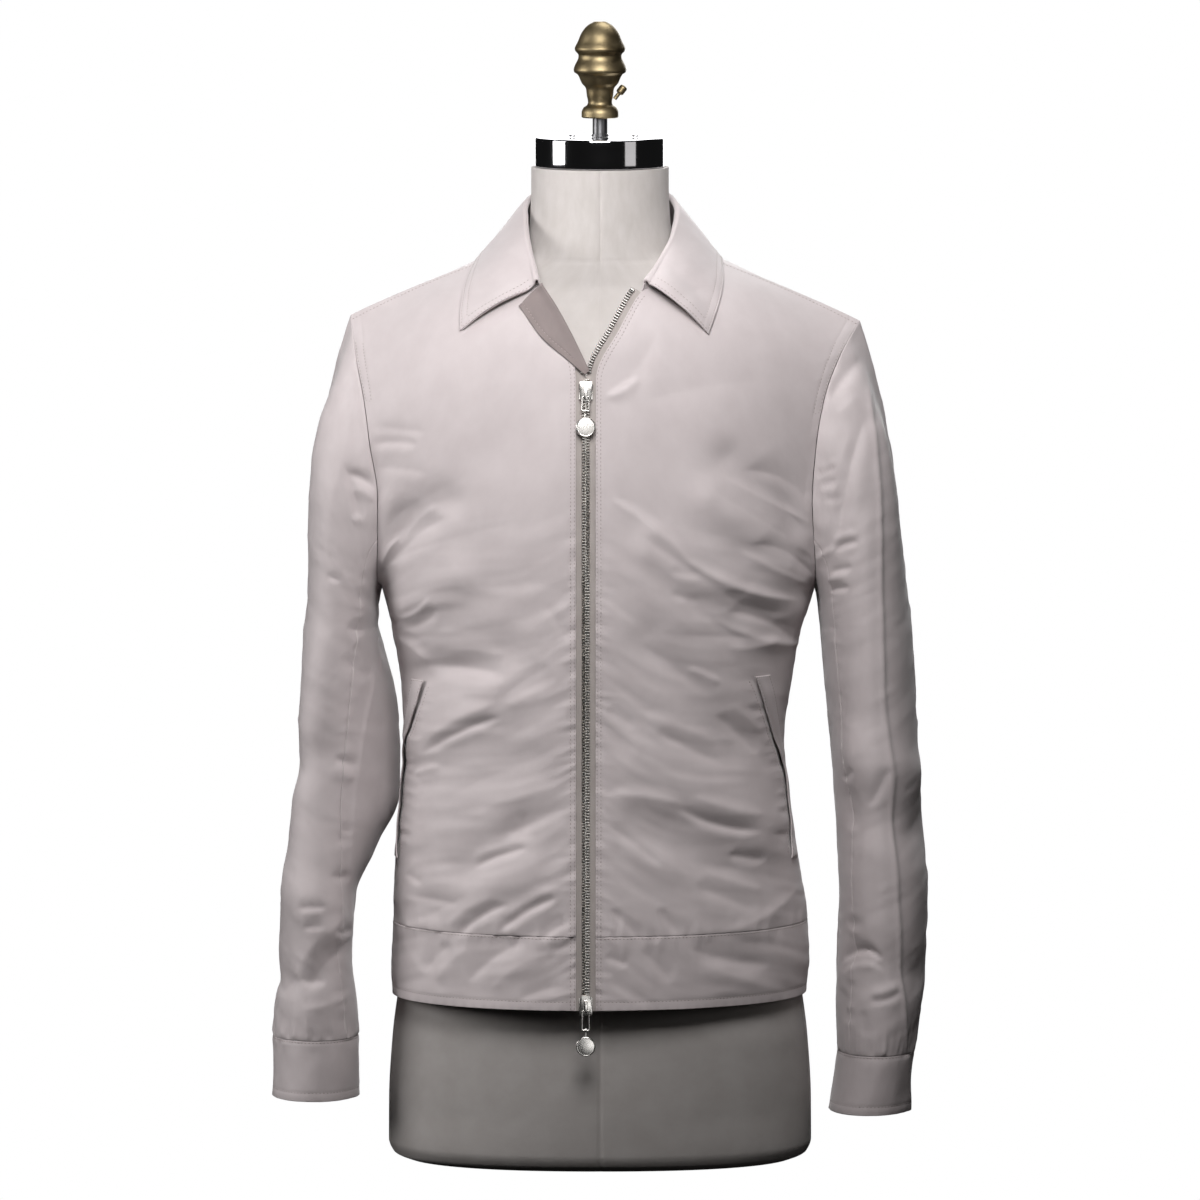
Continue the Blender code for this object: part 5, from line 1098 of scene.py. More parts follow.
def stitch_dip(distance, *rows):
    """The hollow that rows of stitches pull into the cloth."""
    return -STITCH_DIP * sum(np.exp(-((distance - row) / STITCH_DIP_BREADTH)**2) for row in rows)


def lowest_beside(values, reach=2):
    """The lowest value in a small window round each value."""
    padded = np.pad(values, reach, mode="edge")
    windows = [padded[i:i + values.shape[0], j:j + values.shape[1]]
               for i in range(2 * reach + 1) for j in range(2 * reach + 1)]
    return np.min(windows, axis=0)


def mesh_piece(name, points, faces, materials, slots=None, uvs=None, sharp=60):
    """A piece of the model from points and faces, shaded smooth."""
    mesh = bpy.data.meshes.new(name)
    mesh.from_pydata(np.asarray(points).tolist(), [], [tuple(int(k) for k in face) for face in faces])
    for item in materials:
        mesh.materials.append(item)
    if slots is not None:
        mesh.polygons.foreach_set("material_index", np.asarray(slots, dtype=np.int32))
    if uvs is not None:
        corners = np.zeros(len(mesh.loops), dtype=np.int32)
        mesh.loops.foreach_get("vertex_index", corners)
        layer = mesh.uv_layers.new(name="cloth")
        layer.data.foreach_set("uv", np.asarray(uvs)[corners].astype(np.float32).ravel())
    mesh.shade_smooth()
    mesh.set_sharp_from_angle(angle=math.radians(sharp))
    mesh.validate()
    thing = bpy.data.objects.new(name, mesh)
    bpy.context.scene.collection.objects.link(thing)
    return thing


def quads(rows, columns, flip, start=0):
    """Faces of a grid of numbered points."""
    numbers = start + np.arange(rows * columns).reshape(rows, columns)
    cells = np.stack([numbers[:-1, :-1], numbers[:-1, 1:], numbers[1:, 1:], numbers[1:, :-1]], axis=-1)
    cells = cells.reshape(-1, 4)
    return cells[:, ::-1] if flip else cells


def border(rows, columns, start=0):
    """Numbers of a grid's outermost points, once round."""
    numbers = start + np.arange(rows * columns).reshape(rows, columns)
    return np.concatenate([numbers[0, :-1], numbers[:-1, -1], numbers[-1, :0:-1], numbers[:0:-1, 0]])


class Cloth:
    """A closed thin shell on a grid of points; its inner side has every second point only."""

    def __init__(self, base, outward, height, drop, inner_drop=None, wall=WALL, clear=None):
        normals = grid_normals(base, outward)
        if clear is not None:
            height = clear(base, normals, height)
        self.points = base + normals * (height - drop)[..., None]
        self.normals = grid_normals(self.points, outward)
        depth = lowest_beside(height) - wall
        if inner_drop is not None:
            depth = depth + inner_drop
        inner = (base + normals * np.minimum(depth, height - drop - LEAST_WALL)[..., None])[::2, ::2]
        rows, columns = base.shape[:2]
        small_rows, small_columns = inner.shape[:2]
        count = rows * columns
        outer_faces = quads(rows, columns, outward < 0)
        inner_faces = quads(small_rows, small_columns, outward > 0, count)
        fine, coarse = border(rows, columns), border(small_rows, small_columns, count)
        rim = []
        for k in range(len(coarse)):
            a, m, b = fine[2 * k], fine[2 * k + 1], fine[(2 * k + 2) % len(fine)]
            c, d = coarse[k], coarse[(k + 1) % len(coarse)]
            triangles = [(m, a, c), (b, m, d), (m, c, d)]
            rim += triangles if outward > 0 else [triangle[::-1] for triangle in triangles]
        self.faces = [*outer_faces, *inner_faces, *rim]
        self.slots = [0] * len(outer_faces) + [1] * len(inner_faces) + [0] * len(rim)
        self.all_points = np.concatenate([self.points.reshape(-1, 3), inner.reshape(-1, 3)])
        u = lengths_along(base, 1)
        u = u - u[:, [u.shape[1] // 2]]
        v = np.broadcast_to(lengths_along(base, 0)[:, [columns // 2]], u.shape)
        flat = np.stack([u, -v], axis=-1)
        self.uvs = np.concatenate([flat.reshape(-1, 2), flat[::2, ::2].reshape(-1, 2)])
        width, length = lengths_along(base, 1)[:, -1].max(), lengths_along(base, 0)[-1].max()
        cells = np.cross(base[1:, 1:] - base[:-1, :-1], base[1:, :-1] - base[:-1, 1:])
        self.flat = (float(width), float(length))
        self.area = float(np.linalg.norm(cells, axis=-1).sum() / 2)

    def build(self, name, outer_material, inner_material):
        self.object = mesh_piece(name, self.all_points, self.faces,
                                 (outer_material, inner_material), self.slots, self.uvs)
        return self.object


def tree_of(pieces):
    """A search tree of the outer sides of some cloth pieces, with normals that face outward."""
    points, faces, start = [], [], 0
    for piece, outward in pieces:
        grid = piece.points[::2, ::2]
        cells = quads(*grid.shape[:2], outward < 0, start)
        points += grid.reshape(-1, 3).tolist()
        faces += cells.tolist()
        start += grid.shape[0] * grid.shape[1]
    return BVHTree.FromPolygons(points, faces)


# ---------------------------------------------------------------- materials

def node(tree, kind, **values):
    """A shader node with some of its settings and inputs set."""
    made = tree.nodes.new(kind)
    for key, value in values.items():
        if hasattr(made, key):
            setattr(made, key, value)
        else:
            made.inputs[key.replace("_", " ")].default_value = value
    return made


def blank(name, colour, roughness, metallic=0.0, **sockets):
    """A plain material, with its nodes and its shader."""
    made = bpy.data.materials.new(name)
    made.use_nodes = True
    shader = made.node_tree.nodes["Principled BSDF"]
    shader.inputs["Base Color"].default_value = (*colour, 1)
    shader.inputs["Roughness"].default_value = roughness
    shader.inputs["Metallic"].default_value = metallic
    for key, value in sockets.items():
        shader.inputs[key.replace("_", " ")].default_value = value
    return made, made.node_tree, shader


def mottled(tree, shader, coordinates, dark, light, scale):
    """Uneven colour from a slow noise."""
    noise = node(tree, "ShaderNodeTexNoise", Scale=scale, Detail=6.0, Roughness=0.6)
    ramp = node(tree, "ShaderNodeValToRGB")
    for element, position, colour in zip(ramp.color_ramp.elements, (0.30, 0.70), (dark, light)):
        element.position, element.color = position, (*colour, 1)
    tree.links.new(coordinates, noise.inputs["Vector"])
    tree.links.new(noise.outputs["Fac"], ramp.inputs["Fac"])
    tree.links.new(ramp.outputs["Color"], shader.inputs["Base Color"])
    return noise


def woven(name, dark, light, roughness, thread, depth, sheen, grain):
    """A plain weave: crossed threads of a given width in metres, with uneven yarns and a soft sheen."""
    made, tree, shader = blank(name, light, roughness, Sheen_Weight=sheen, Sheen_Roughness=0.45,
                               Specular_IOR_Level=0.35)
    place = node(tree, "ShaderNodeUVMap", uv_map="cloth")
    mottled(tree, shader, place.outputs["UV"], dark, light, 38.0)
    weave = node(tree, "ShaderNodeMath", operation="MAXIMUM")
    for k, direction in enumerate(("X", "Y")):
        wave = node(tree, "ShaderNodeTexWave", bands_direction=direction, Scale=0.314 / thread,
                    Distortion=0.6, Detail=1.0)
        tree.links.new(place.outputs["UV"], wave.inputs["Vector"])
        tree.links.new(wave.outputs["Fac"], weave.inputs[k])
    stretch = node(tree, "ShaderNodeMapping", Scale=(60, 900, 1))
    yarn = node(tree, "ShaderNodeTexNoise", Scale=1.0, Detail=4.0, Roughness=0.65)
    tree.links.new(place.outputs["UV"], stretch.inputs["Vector"])
    tree.links.new(stretch.outputs["Vector"], yarn.inputs["Vector"])
    fine = node(tree, "ShaderNodeBump", Strength=0.5, Distance=depth)
    coarse = node(tree, "ShaderNodeBump", Strength=0.35, Distance=grain)
    tree.links.new(weave.outputs[0], fine.inputs["Height"])
    tree.links.new(yarn.outputs["Fac"], coarse.inputs["Height"])
    tree.links.new(coarse.outputs["Normal"], fine.inputs["Normal"])
    tree.links.new(fine.outputs["Normal"], shader.inputs["Normal"])
    return made


def canvas(name, dark, light, *weave):
    """A plain weave whose colour is duller and darker toward the form's foot: partly soiling from handling,
    partly painted shade under the jacket's hem.
    """
    made = woven(name, dark, light, *weave)
    tree = made.node_tree
    shader = tree.nodes["Principled BSDF"]
    colour = shader.inputs["Base Color"].links[0].from_socket
    place = node(tree, "ShaderNodeTexCoord")
    split = node(tree, "ShaderNodeSeparateXYZ")
    height = node(tree, "ShaderNodeMapRange", interpolation_type="SMOOTHSTEP")
    for key, value in zip(("From Min", "From Max", "To Min", "To Max"), FOOT_SOIL_AND_SHADE):
        height.inputs[key].default_value = value
    tint = node(tree, "ShaderNodeMix", data_type="RGBA", blend_type="MULTIPLY")
    tint.inputs["Factor"].default_value = 1.0
    tree.links.new(place.outputs["Object"], split.inputs["Vector"])
    tree.links.new(split.outputs["Z"], height.inputs["Value"])
    tree.links.new(colour, tint.inputs["A"])
    tree.links.new(height.outputs["Result"], tint.inputs["B"])
    tree.links.new(tint.outputs["Result"], shader.inputs["Base Color"])
    return made


def metal(name, colour, roughness, dark, scale=60.0, depth=0.00002):
    """Metal with faint wear in its colour, roughness and surface."""
    made, tree, shader = blank(name, colour, roughness, 1.0)
    place = node(tree, "ShaderNodeTexCoord")
    noise = mottled(tree, shader, place.outputs["Object"], dark, colour, scale)
    wear = node(tree, "ShaderNodeMapRange", To_Min=roughness * 0.8, To_Max=roughness * 1.3)
    tree.links.new(noise.outputs["Fac"], wear.inputs["Value"])
    tree.links.new(wear.outputs["Result"], shader.inputs["Roughness"])
    bump = node(tree, "ShaderNodeBump", Strength=0.25, Distance=depth)
    tree.links.new(noise.outputs["Fac"], bump.inputs["Height"])
    tree.links.new(bump.outputs["Normal"], shader.inputs["Normal"])
    return made


# Cloths: two colours, roughness, thread width, depth of the weave, sheen, and depth of the uneven yarns
SHELL = woven("shell_cloth", (0.548, 0.492, 0.494), (0.590, 0.534, 0.536),
              0.56, 0.00042, 0.00006, 0.35, 0.00010)
REVERSE = woven("reverse_cloth", (0.225, 0.187, 0.182), (0.265, 0.22, 0.213),
                0.66, 0.00050, 0.00008, 0.25, 0.00010)
THREAD = woven("stitch_thread", (0.30, 0.25, 0.24), (0.38, 0.325, 0.31),
               0.52, 0.00030, 0.00004, 0.3, 0.00002)
TAPE_CLOTH = woven("tape_cloth", (0.38, 0.34, 0.32), (0.45, 0.41, 0.39),
                   0.72, 0.00070, 0.00012, 0.2, 0.00005)
CANVAS = canvas("canvas_cloth", (0.56, 0.525, 0.50), (0.63, 0.595, 0.575),
                0.86, 0.00060, 0.00014, 0.15, 0.00012)

# Outer and inner side of the cloths of each slot
CLOTH_SIDES = {"shell": (SHELL, REVERSE), "reverse": (REVERSE, REVERSE), "tape": (TAPE_CLOTH, TAPE_CLOTH)}

# Metals: colour, roughness, darker colour, size and depth of the wear
NICKEL = metal("nickel", (0.74, 0.72, 0.69), 0.24, (0.58, 0.56, 0.53))
# Nickel of the open teeth: rougher, and with its colour darkened as painted shade, a darker copy of the
# chain's nickel
DULL_SHADED_NICKEL = metal("dull_nickel_painted_shade", (0.36, 0.35, 0.335), 0.40, (0.26, 0.25, 0.24))
CHROME = metal("chrome", (0.62, 0.62, 0.64), 0.07, (0.54, 0.54, 0.56), 30.0, 0.000004)
BRASS = metal("aged_brass", (0.34, 0.275, 0.16), 0.44, (0.20, 0.155, 0.085), 45.0)
STEEL = metal("dark_steel", (0.20, 0.20, 0.205), 0.36, (0.11, 0.11, 0.115), 80.0)


# ---------------------------------------------------------------- cloth pieces

def row_shares(face, side, rows, step, inner_marks, outer_marks):
    """For each row, the places across that keep their distance to both of its ends."""
    sample = np.linspace(0, 1, 161)
    grid = panel_point(face, side, rows[:, None] + 0 * sample, sample + 0 * rows[:, None])
    totals = lengths_along(grid, 1)
    inner = inner_marks + (SEAM_INSET if inner_marks[0] == 0 else 0)
    outer = outer_marks + SEAM_INSET
    places = spread(totals[:, -1], step, inner, outer)
    return resampled(totals, sample, places), places, totals[:, -1]


def row_places(face, side, low, high, step, low_marks, high_marks):
    """Rows of a panel at even steps up its middle, with the marks that its two seams need."""
    sample = np.linspace(low, high, 400)
    points = panel_point(face, side, sample, np.full_like(sample, 0.45))
    total = lengths_along(points[None], 1)
    places = spread(total[:, -1], step, low_marks + SEAM_INSET, high_marks + SEAM_INSET)
    return resampled(total, sample, places)[0], places[0], total[0, -1]


def above_form(base, normals, height):
    """Keep the cloth's wall clear of the form, where the form stands upright."""
    values = FORM.at(base[..., 2])
    half_width, front, back, power = (values[..., k] for k in range(4))
    depth = np.where(base[..., 1] > 0, back, front)
    size = ((np.abs(base[..., 0]) / half_width)**power + (np.abs(base[..., 1]) / depth)**power)**(1 / power)
    room = np.linalg.norm(base[..., :2], axis=-1) * (1 - 1 / size)
    upright = np.clip(1.2 - np.abs(normals[..., 2]), 0.4, 1)
    least = np.minimum(-room * upright + WALL + FORM_CLEARANCE, 0)
    below_shoulders = (base[..., 2] < 0.69) & (base[..., 2] > 0.02)
    return np.where(below_shoulders, np.maximum(height, least), height)


def panel_relief(face, side, base, rows, inner, outer):
    """Height of a front's or half back's cloth over its smooth surface."""
    x, z = base[..., 0], base[..., 2]
    middle = BAND_ROW + (SHOULDER_ROW - BAND_ROW) / 2
    share = inner / (inner + outer)
    row_room = 1 - np.abs(rows - middle) / middle
    room = smooth(share / FOLD_FADE) * smooth((1 - share) / FOLD_FADE) * smooth(row_room / FOLD_FADE)
    height = room * fold_height(FOLDS[face, side], base[..., ::2])
    near_top = smooth((SHOULDER_ROW - rows) / 1.2)
    edge = smooth(outer / CREASE_FADE) * near_top
    if face == "front":
        edge = edge * smooth(inner / ZIP_FADE)
    height += edge * crease_height(CREASES[face, side], x, z)
    seed = SEEDS[face] + SIDES[side]
    calm = edge if face == "front" else smooth(outer / CALM_FADE) * near_top
    height += calm * waves("body", x, z, seed)
    out = np.abs(x)
    level = z + DRAG_SLOPE[face] * out + 0.012 * np.sin(out * 30)
    height += calm * smooth((0.62 - z) / 0.14) * drag_lines("low", out, level, seed + 50)
    height += calm * smooth((z - 0.60) / 0.10) * drag_lines("high", out, level, seed + 70)
    from_band = np.abs(z - FRONT_EDGE["left"].at(BAND_ROW)[2])
    height += smooth(outer / GATHER_FADE) * gathers("band", x, from_band, seed + 1)
    from_hem = np.clip(z - FRONT_EDGE["left"].at(HEM_ROW)[2], 0, None)
    height += smooth(outer / GATHER_FADE) * roping(x, from_hem, seed + 2)
    if face == "front":
        fading = smooth((0.60 - z) / 0.08) * (rows < CHAIN_TOP_ROW)
        height += fading * gathers("zip", z, inner, seed + 3)
        height += mouth_height(side, x, z, seed + 6)
    armhole = np.where(rows >= ARMPIT_ROW, outer, 1.0)
    height += smooth(outer / PUCKER_FADE) * gathers("armhole", z, armhole, seed + 4)
    height += smooth(outer / PUCKER_FADE) * gathers("side", z, outer, seed + 5)
    return height


def mouth_line(side, inward):
    """Points of a line on a front's smooth surface, so far in from its welt's sewn edge."""
    start, inner = welt_frame(side, 60)
    return start + inner * inward


def welt_frame(side, count):
    """Points of a welt's sewn edge on a front's smooth surface, and the way in from each."""
    row, across = np.moveaxis(WELT_LINE[side].at(np.linspace(0, 1, count)), -1, 0)
    start = panel_point("front", side, row, across)
    return start, unit(panel_point("front", side, row, across - 0.02) - start)


def mouth_height(side, x, z, seed):
    """The hollow under a pocket's mouth, and the puckers of the stitches beside it."""
    line = mouth_line(side, WELT_WIDTH)[::-1]
    along = smooth((z - line[0, 2]) / 0.02) * smooth((line[-1, 2] - z) / 0.02)
    away = (np.interp(z, line[:, 2], line[:, 0]) - x) * SIDES[side]
    hollow = -MOUTH_DEPTH * np.exp(-(away / MOUTH_BREADTH)**2)
    beside = np.abs(away - MOUTH_STITCH)
    return along * (hollow + gathers("mouth", z, beside, seed))


def eased_panel(face, side, rows, shares, inner, outer):
    """Panel points, with the bend that starts at the armpit eased out inside the panel."""
    wide_rows = rows[:, None] + 0 * shares
    sharp = panel_point(face, side, wide_rows, shares)
    eased = sum(weight * panel_point(face, side, wide_rows + offset, shares) for offset, weight in EASING)
    amount = smooth(outer / 0.045) * smooth((wide_rows - 7) / 3) * smooth((18 - wide_rows) / 3)
    if face == "front":
        amount = amount * smooth(inner / 0.07)
    return sharp + (eased - sharp) * amount[..., None]


def armhole_dip(side, outer, z):
    """The hollow of the rows round an armhole, down to the bar where they start."""
    return stitch_dip(outer, *ARMHOLE_STITCHES) * smooth((z - ARMHOLE_BAR_Z[side]) / 0.004 + 1)


def make_front(side, low, high):
    """A front, or its part of the hem band."""
    face = "front"
    band = high <= BAND_ROW
    low_marks = marks(FREE, (HEM_STITCH,)) if band else marks(SEAM)
    rows, from_low, tall = row_places(face, side, low, high, BODY_STEP, low_marks, marks(SEAM))
    rows, from_low = rows[::-1], from_low[::-1]
    shares, inner, totals = row_shares(face, side, rows, BODY_STEP, marks(FREE, ZIP_STITCHES),
                                       marks(SEAM, ARMHOLE_STITCHES if not band else ()))
    outer = totals[:, None] - inner
    base = eased_panel(face, side, rows, shares, inner, outer)
    low_gap = from_low[:, None] + 0 * inner
    high_gap = tall - low_gap
    wide_rows = rows[:, None] + 0 * inner
    height = panel_relief(face, side, base, wide_rows, inner, outer)
    height += stitch_dip(inner, *ZIP_STITCHES) * (wide_rows < GORGE_ROW)
    if band:
        height += stitch_dip(low_gap, HEM_STITCH) + stitch_dip(high_gap, BAND_STITCH)
    else:
        height += armhole_dip(side, outer, base[..., 2])
        height += stitch_dip(high_gap, SHOULDER_STITCH)
    drop = np.maximum.reduce([edge_drop(inner, FREE), edge_drop(outer, SEAM),
                              edge_drop(low_gap, FREE if band else SEAM), edge_drop(high_gap, SEAM)])
    free = edge_drop(inner, FREE)
    if band:
        free = np.maximum(free, edge_drop(low_gap, FREE))
    cloth = Cloth(base, -SIDES[side], height, drop, free, clear=above_form)
    cloth.inner, cloth.outer, cloth.low, cloth.high = inner, outer, low_gap, high_gap
    return cloth


def make_back(low, high):
    """The back, or its part of the hem band, from the right side seam to the left one."""
    band = high <= BAND_ROW
    low_marks = marks(FREE, (HEM_STITCH,)) if band else marks(SEAM)
    rows, from_low, tall = row_places("back", "left", low, high, BACK_STEP, low_marks, marks(SEAM))
    rows, from_low = rows[::-1], from_low[::-1]
    halves = []
    for side in ("right", "left"):
        shares, inner, totals = row_shares("back", side, rows, BACK_STEP, np.array([BACK_STEP]),
                                           marks(SEAM, ARMHOLE_STITCHES if not band else ()))
        shares = np.concatenate([np.zeros((len(rows), 1)), shares], axis=1)
        inner = np.concatenate([np.zeros((len(rows), 1)), inner], axis=1)
        outer = totals[:, None] - inner
        base = eased_panel("back", side, rows, shares, inner, outer)
        wide_rows = rows[:, None] + 0 * inner
        height = panel_relief("back", side, base, wide_rows, inner, outer)
        if not band:
            height += armhole_dip(side, outer, base[..., 2])
        halves.append((base, height, outer))
    base, height, outer = (np.concatenate([right[:, :0:-1], left], axis=1) for right, left in zip(*halves))
    middle = halves[0][0].shape[1] - 1
    for offset in range(-6, 7):
        share = smooth(abs(offset) / 7)
        other = height[:, middle - offset]
        height[:, middle + offset] = height[:, middle + offset] * (0.5 + share / 2) + other * (0.5 - share / 2)
    low_gap = from_low[:, None] + 0 * outer
    high_gap = tall - low_gap
    if band:
        height += stitch_dip(low_gap, HEM_STITCH) + stitch_dip(high_gap, BAND_STITCH)
    drop = np.maximum.reduce([edge_drop(outer, SEAM), edge_drop(low_gap, FREE if band else SEAM),
                              edge_drop(high_gap, SEAM)])
    free = edge_drop(low_gap, FREE) if band else None
    cloth = Cloth(base, 1, height, drop, free, clear=above_form)
    cloth.outer, cloth.low, cloth.high = outer, low_gap, high_gap
    return cloth


def pressed_height(side, x, z):
    """A pressed line down the front of a sleeve, with the cloth lower beyond it."""
    line = np.array(PRESSED[side])
    away = (x - np.interp(z, line[:, 0], line[:, 1])) * SIDES[side]
    lasting = smooth((line[-1, 0] - z) / 0.05)
    ridge = np.exp(-(np.abs(away) / PRESSED_BREADTH)**1.5)
    step = -0.5 * (1 + np.tanh(away / 0.003)) * np.exp(-np.clip(away, 0, None) / 0.012)
    return lasting * (PRESSED_RISE[side] * ridge + PRESSED_STEP * step)


def sleeve_relief(side, base, normals, turn, down, from_cuff, seam_gap):
    """Height of a sleeve's cloth over its smooth surface."""
    x, z = base[..., 0], base[..., 2]
    spot = np.stack([turn % 1.0, z], axis=-1)
    height = fold_height(FOLDS["sleeve", side], spot, SLEEVE_GIRTH)
    height *= smooth((down - 1) / FOLD_FADE) * smooth((2 - down) / FOLD_FADE)
    seen = smooth((0.25 - normals[..., 1]) / 0.5)
    edge = smooth(from_cuff / 0.003) * smooth(down / 0.035)
    arm = crease_height(CREASES["arm", side], x, z)
    around = (turn % 1.0) * SLEEVE_GIRTH
    elbow = crease_height(CREASES["elbow", side], around, z)
    height += edge * (arm * seen + elbow * (1 - seen))
    seed = SEEDS["sleeve"] + SIDES[side]
    height += edge * waves("sleeve", around, z, seed)
    height += edge * drag_lines("sleeve", around, z - 0.3 * around, seed + 9)
    height += edge * pressed_height(side, x, z) * seen
    height += gathers("sleeve_foot", around, from_cuff, seed + 1) * smooth(from_cuff / PUCKER_FADE)
    height += gathers("sleeve_head", around, down * 0.10, seed + 2) * smooth(down / 0.02)
    height += gathers("sleeve_seam", z, seam_gap, seed + 3)
    return height


def make_sleeve(side, first, last):
    """Half of a sleeve between two of its seams, from the armhole to the cuff."""
    sample = np.linspace(0, 2, 500)
    line = sleeve_point(side, np.full_like(sample, 0.35), sample)
    total = lengths_along(line[None], 1)
    places = spread(total[:, -1], SLEEVE_STEP, marks(SEAM) + SEAM_INSET, marks(SEAM) + SEAM_INSET)
    down = resampled(total, sample, places)[0]
    from_cuff = total[0, -1] - places[0]
    turns = np.linspace(first / ROUND, last / ROUND, 240)
    grid = sleeve_point(side, turns[None] + 0 * down[:, None], down[:, None] + 0 * turns[None])
    totals = lengths_along(grid, 1)
    around = spread(totals[:, -1], SLEEVE_STEP, marks(SEAM) + SEAM_INSET, marks(SEAM) + SEAM_INSET)
    turn = resampled(totals, turns, around)
    wide_down = down[:, None] + 0 * turn
    base = sleeve_point(side, turn, wide_down)
    normals = grid_normals(base, -SIDES[side])
    seam_gap = np.minimum(around, totals[:, -1:] - around)
    from_cuff = from_cuff[:, None] + 0 * turn
    height = sleeve_relief(side, base, normals, turn, wide_down, from_cuff, seam_gap)
    from_head = places[0][:, None] + 0 * turn
    drop = np.maximum.reduce([edge_drop(gap, SEAM) for gap in (seam_gap, from_cuff, from_head)])
    return Cloth(base, -SIDES[side], height, drop)


def make_cuff(side):
    """A cuff, open in a slit at the back seam."""
    top, foot = CUFF_SEAM_Z[side], CUFF_FOOT_Z[side]
    tall = top - foot
    top_marks = marks(SEAM, (CUFF_STITCH,)) + SEAM_INSET
    fall = spread(tall, SLEEVE_STEP, top_marks, marks(FREE, (HEM_STITCH,)))[0]
    first = (BACK_SEAM + SLIT_SHARE) / ROUND
    last = (BACK_SEAM + ROUND - SLIT_SHARE) / ROUND
    turns = np.linspace(first, last, 300)
    z = top - fall
    grid = sleeve_section(side, z[:, None] + 0 * turns[None], turns[None] + 0 * z[:, None])
    totals = lengths_along(grid, 1)
    around = spread(totals[:, -1], SLEEVE_STEP, marks(FREE, (VENT_STITCH,)), marks(FREE, (VENT_STITCH,)))
    turn = resampled(totals, turns, around)
    base = sleeve_section(side, z[:, None] + 0 * turn, turn)
    end_gap = np.minimum(around, totals[:, -1:] - around)
    from_top = fall[:, None] + 0 * turn
    from_foot = tall - from_top
    spot = (turn % 1.0) * SLEEVE_GIRTH
    seed = SEEDS["cuff"] + SIDES[side]
    height = gathers("cuff_top", spot, from_top, seed) * smooth(from_top / PUCKER_FADE)
    height += gathers("cuff_foot", spot, from_foot, seed + 1)
    height += waves("cuff", spot, base[..., 2], seed + 2) * smooth(from_top / GATHER_FADE)
    height += pressed_height(side, base[..., 0], base[..., 2]) * (base[..., 1] < 0) * smooth(from_top / 0.002)
    height += stitch_dip(from_top, CUFF_STITCH) + stitch_dip(from_foot, HEM_STITCH)
    free = np.maximum(edge_drop(from_foot, FREE), edge_drop(end_gap, FREE))
    drop = np.maximum(edge_drop(from_top, SEAM), free)
    cloth = Cloth(base, -SIDES[side], height, drop, free)
    cloth.top, cloth.low, cloth.ends = from_top, from_foot, around
    return cloth


def collar_places():
    """Side and place of dense samples of the collar, from the right gorge round to the left one."""
    half = np.concatenate([GORGE_PLACE - np.array((0, 0.004, 0.014, 0.035, 0.07, 0.115, 0.17)),
                           np.arange(GORGE_PLACE - 0.24, 0, -COLLAR_PLACE_STEP)])
    return [("right", place) for place in half] + [("left", place) for place in (0.0, *half[::-1])]


def along_collar(places, function):
    """A function of side and place, worked out for both sides of the collar in turn."""
    return np.array([function(side, np.array(place)) for side, place in places])


def make_stand(places):
    """The collar's stand, with its foot line and the line that the fall turns over."""
    foot = along_collar(places, neck_point)
    top = along_collar(places, lambda side, place: ROLL[side].at(place))
    rise = np.linspace(0, 1, STAND_LINES)[:, None, None]
    base = foot * (1 - rise) + top * rise
    height = waves("stand", base[..., 0], base[..., 2], SEEDS["stand"])
    return Cloth(base, -1, height, np.zeros(base.shape[:2])), foot, top


def make_fall(places, foot, top, stand, tree):
    """The collar's fall: over its fold, down to the edge that rests on the fronts and the back."""
    normals = stand.normals[-1]
    lines = []
    for (side, place), neck, roll, out in zip(places, foot, top, normals):
        rise = roll - neck
        up = unit(rise - out * (rise @ out))
        middle = roll + out * (FOLD_RADIUS - FOLD_INSET) + up * FOLD_LIFT
        angles = np.linspace(0, math.pi, FOLD_LINES)[:-1]
        line = [middle + FOLD_RADIUS * (up * math.sin(angle) - out * math.cos(angle)) for angle in angles]
        start = middle + out * FOLD_RADIUS
        spot, normal, _, _ = tree.find_nearest(Vector(COLLAR_EDGE[side].at(place)))
        end = np.array(spot + normal * (FALL_WALL + EDGE_REST))
        share = max(0, place - FRONT_FALL_PLACE) / (GORGE_PLACE - FRONT_FALL_PLACE)
        drop, lead = np.array(FALL_LEAD) * (1 - share) + np.array(FRONT_FALL_LEAD[side]) * share
        reach = np.linalg.norm(end - start)
        first = start - up * drop * reach + out * lead * reach
        second = end + (start - end) * 0.35
        line += [bent(start, first, second, end, share_down) for share_down in FALL_SHARES]
        lines.append(line)
    base = np.array(lines).transpose(1, 0, 2)
    for _ in range(6):
        normals = grid_normals(base, 1)
        inner = base - normals * FALL_WALL
        push = np.zeros(base.shape)
        for i in range(FOLD_LINES, base.shape[0]):
            for j in range(base.shape[1]):
                spot, normal, _, _ = tree.find_nearest(Vector(inner[i, j]))
                low = FALL_REST - (Vector(inner[i, j]) - spot).dot(normal)
                if low > 0:
                    push[i, j] = np.array(normal) * low
        for _ in range(3):
            push = evened(push)
        push[:FOLD_LINES] = 0
        base = base + push * 1.2
    down = lengths_along(base, 0)
    over = lengths_along(base, 1)
    from_edge = down[-1:] - down
    ends = np.minimum(over, over[:, -1:] - over)
    height = waves("fall", base[..., 0], base[..., 2] + base[..., 1], SEEDS["fall"])
    height *= smooth(from_edge / GATHER_FADE)
    height += crease_height(COLLAR_CREASES, base[..., 0], base[..., 2]) * (base[..., 1] < 0)
    height += stitch_dip(from_edge, *COLLAR_STITCHES)
    height += stitch_dip(ends, *COLLAR_STITCHES) * (down > COLLAR_STITCH_START)
    lift = np.array([COLLAR_LIFT[side] for side, _ in places])
    height += lift * np.sin(math.pi * down / down[-1:]) * smooth(1 - ends / COLLAR_LIFT_BREADTH)
    drop = np.maximum(edge_drop(from_edge, FREE), edge_drop(ends, FREE))
    cloth = Cloth(base, 1, height, drop, drop, wall=FALL_WALL)
    cloth.low, cloth.ends, cloth.down = from_edge, over, down
    return cloth


# ---------------------------------------------------------------- stitches

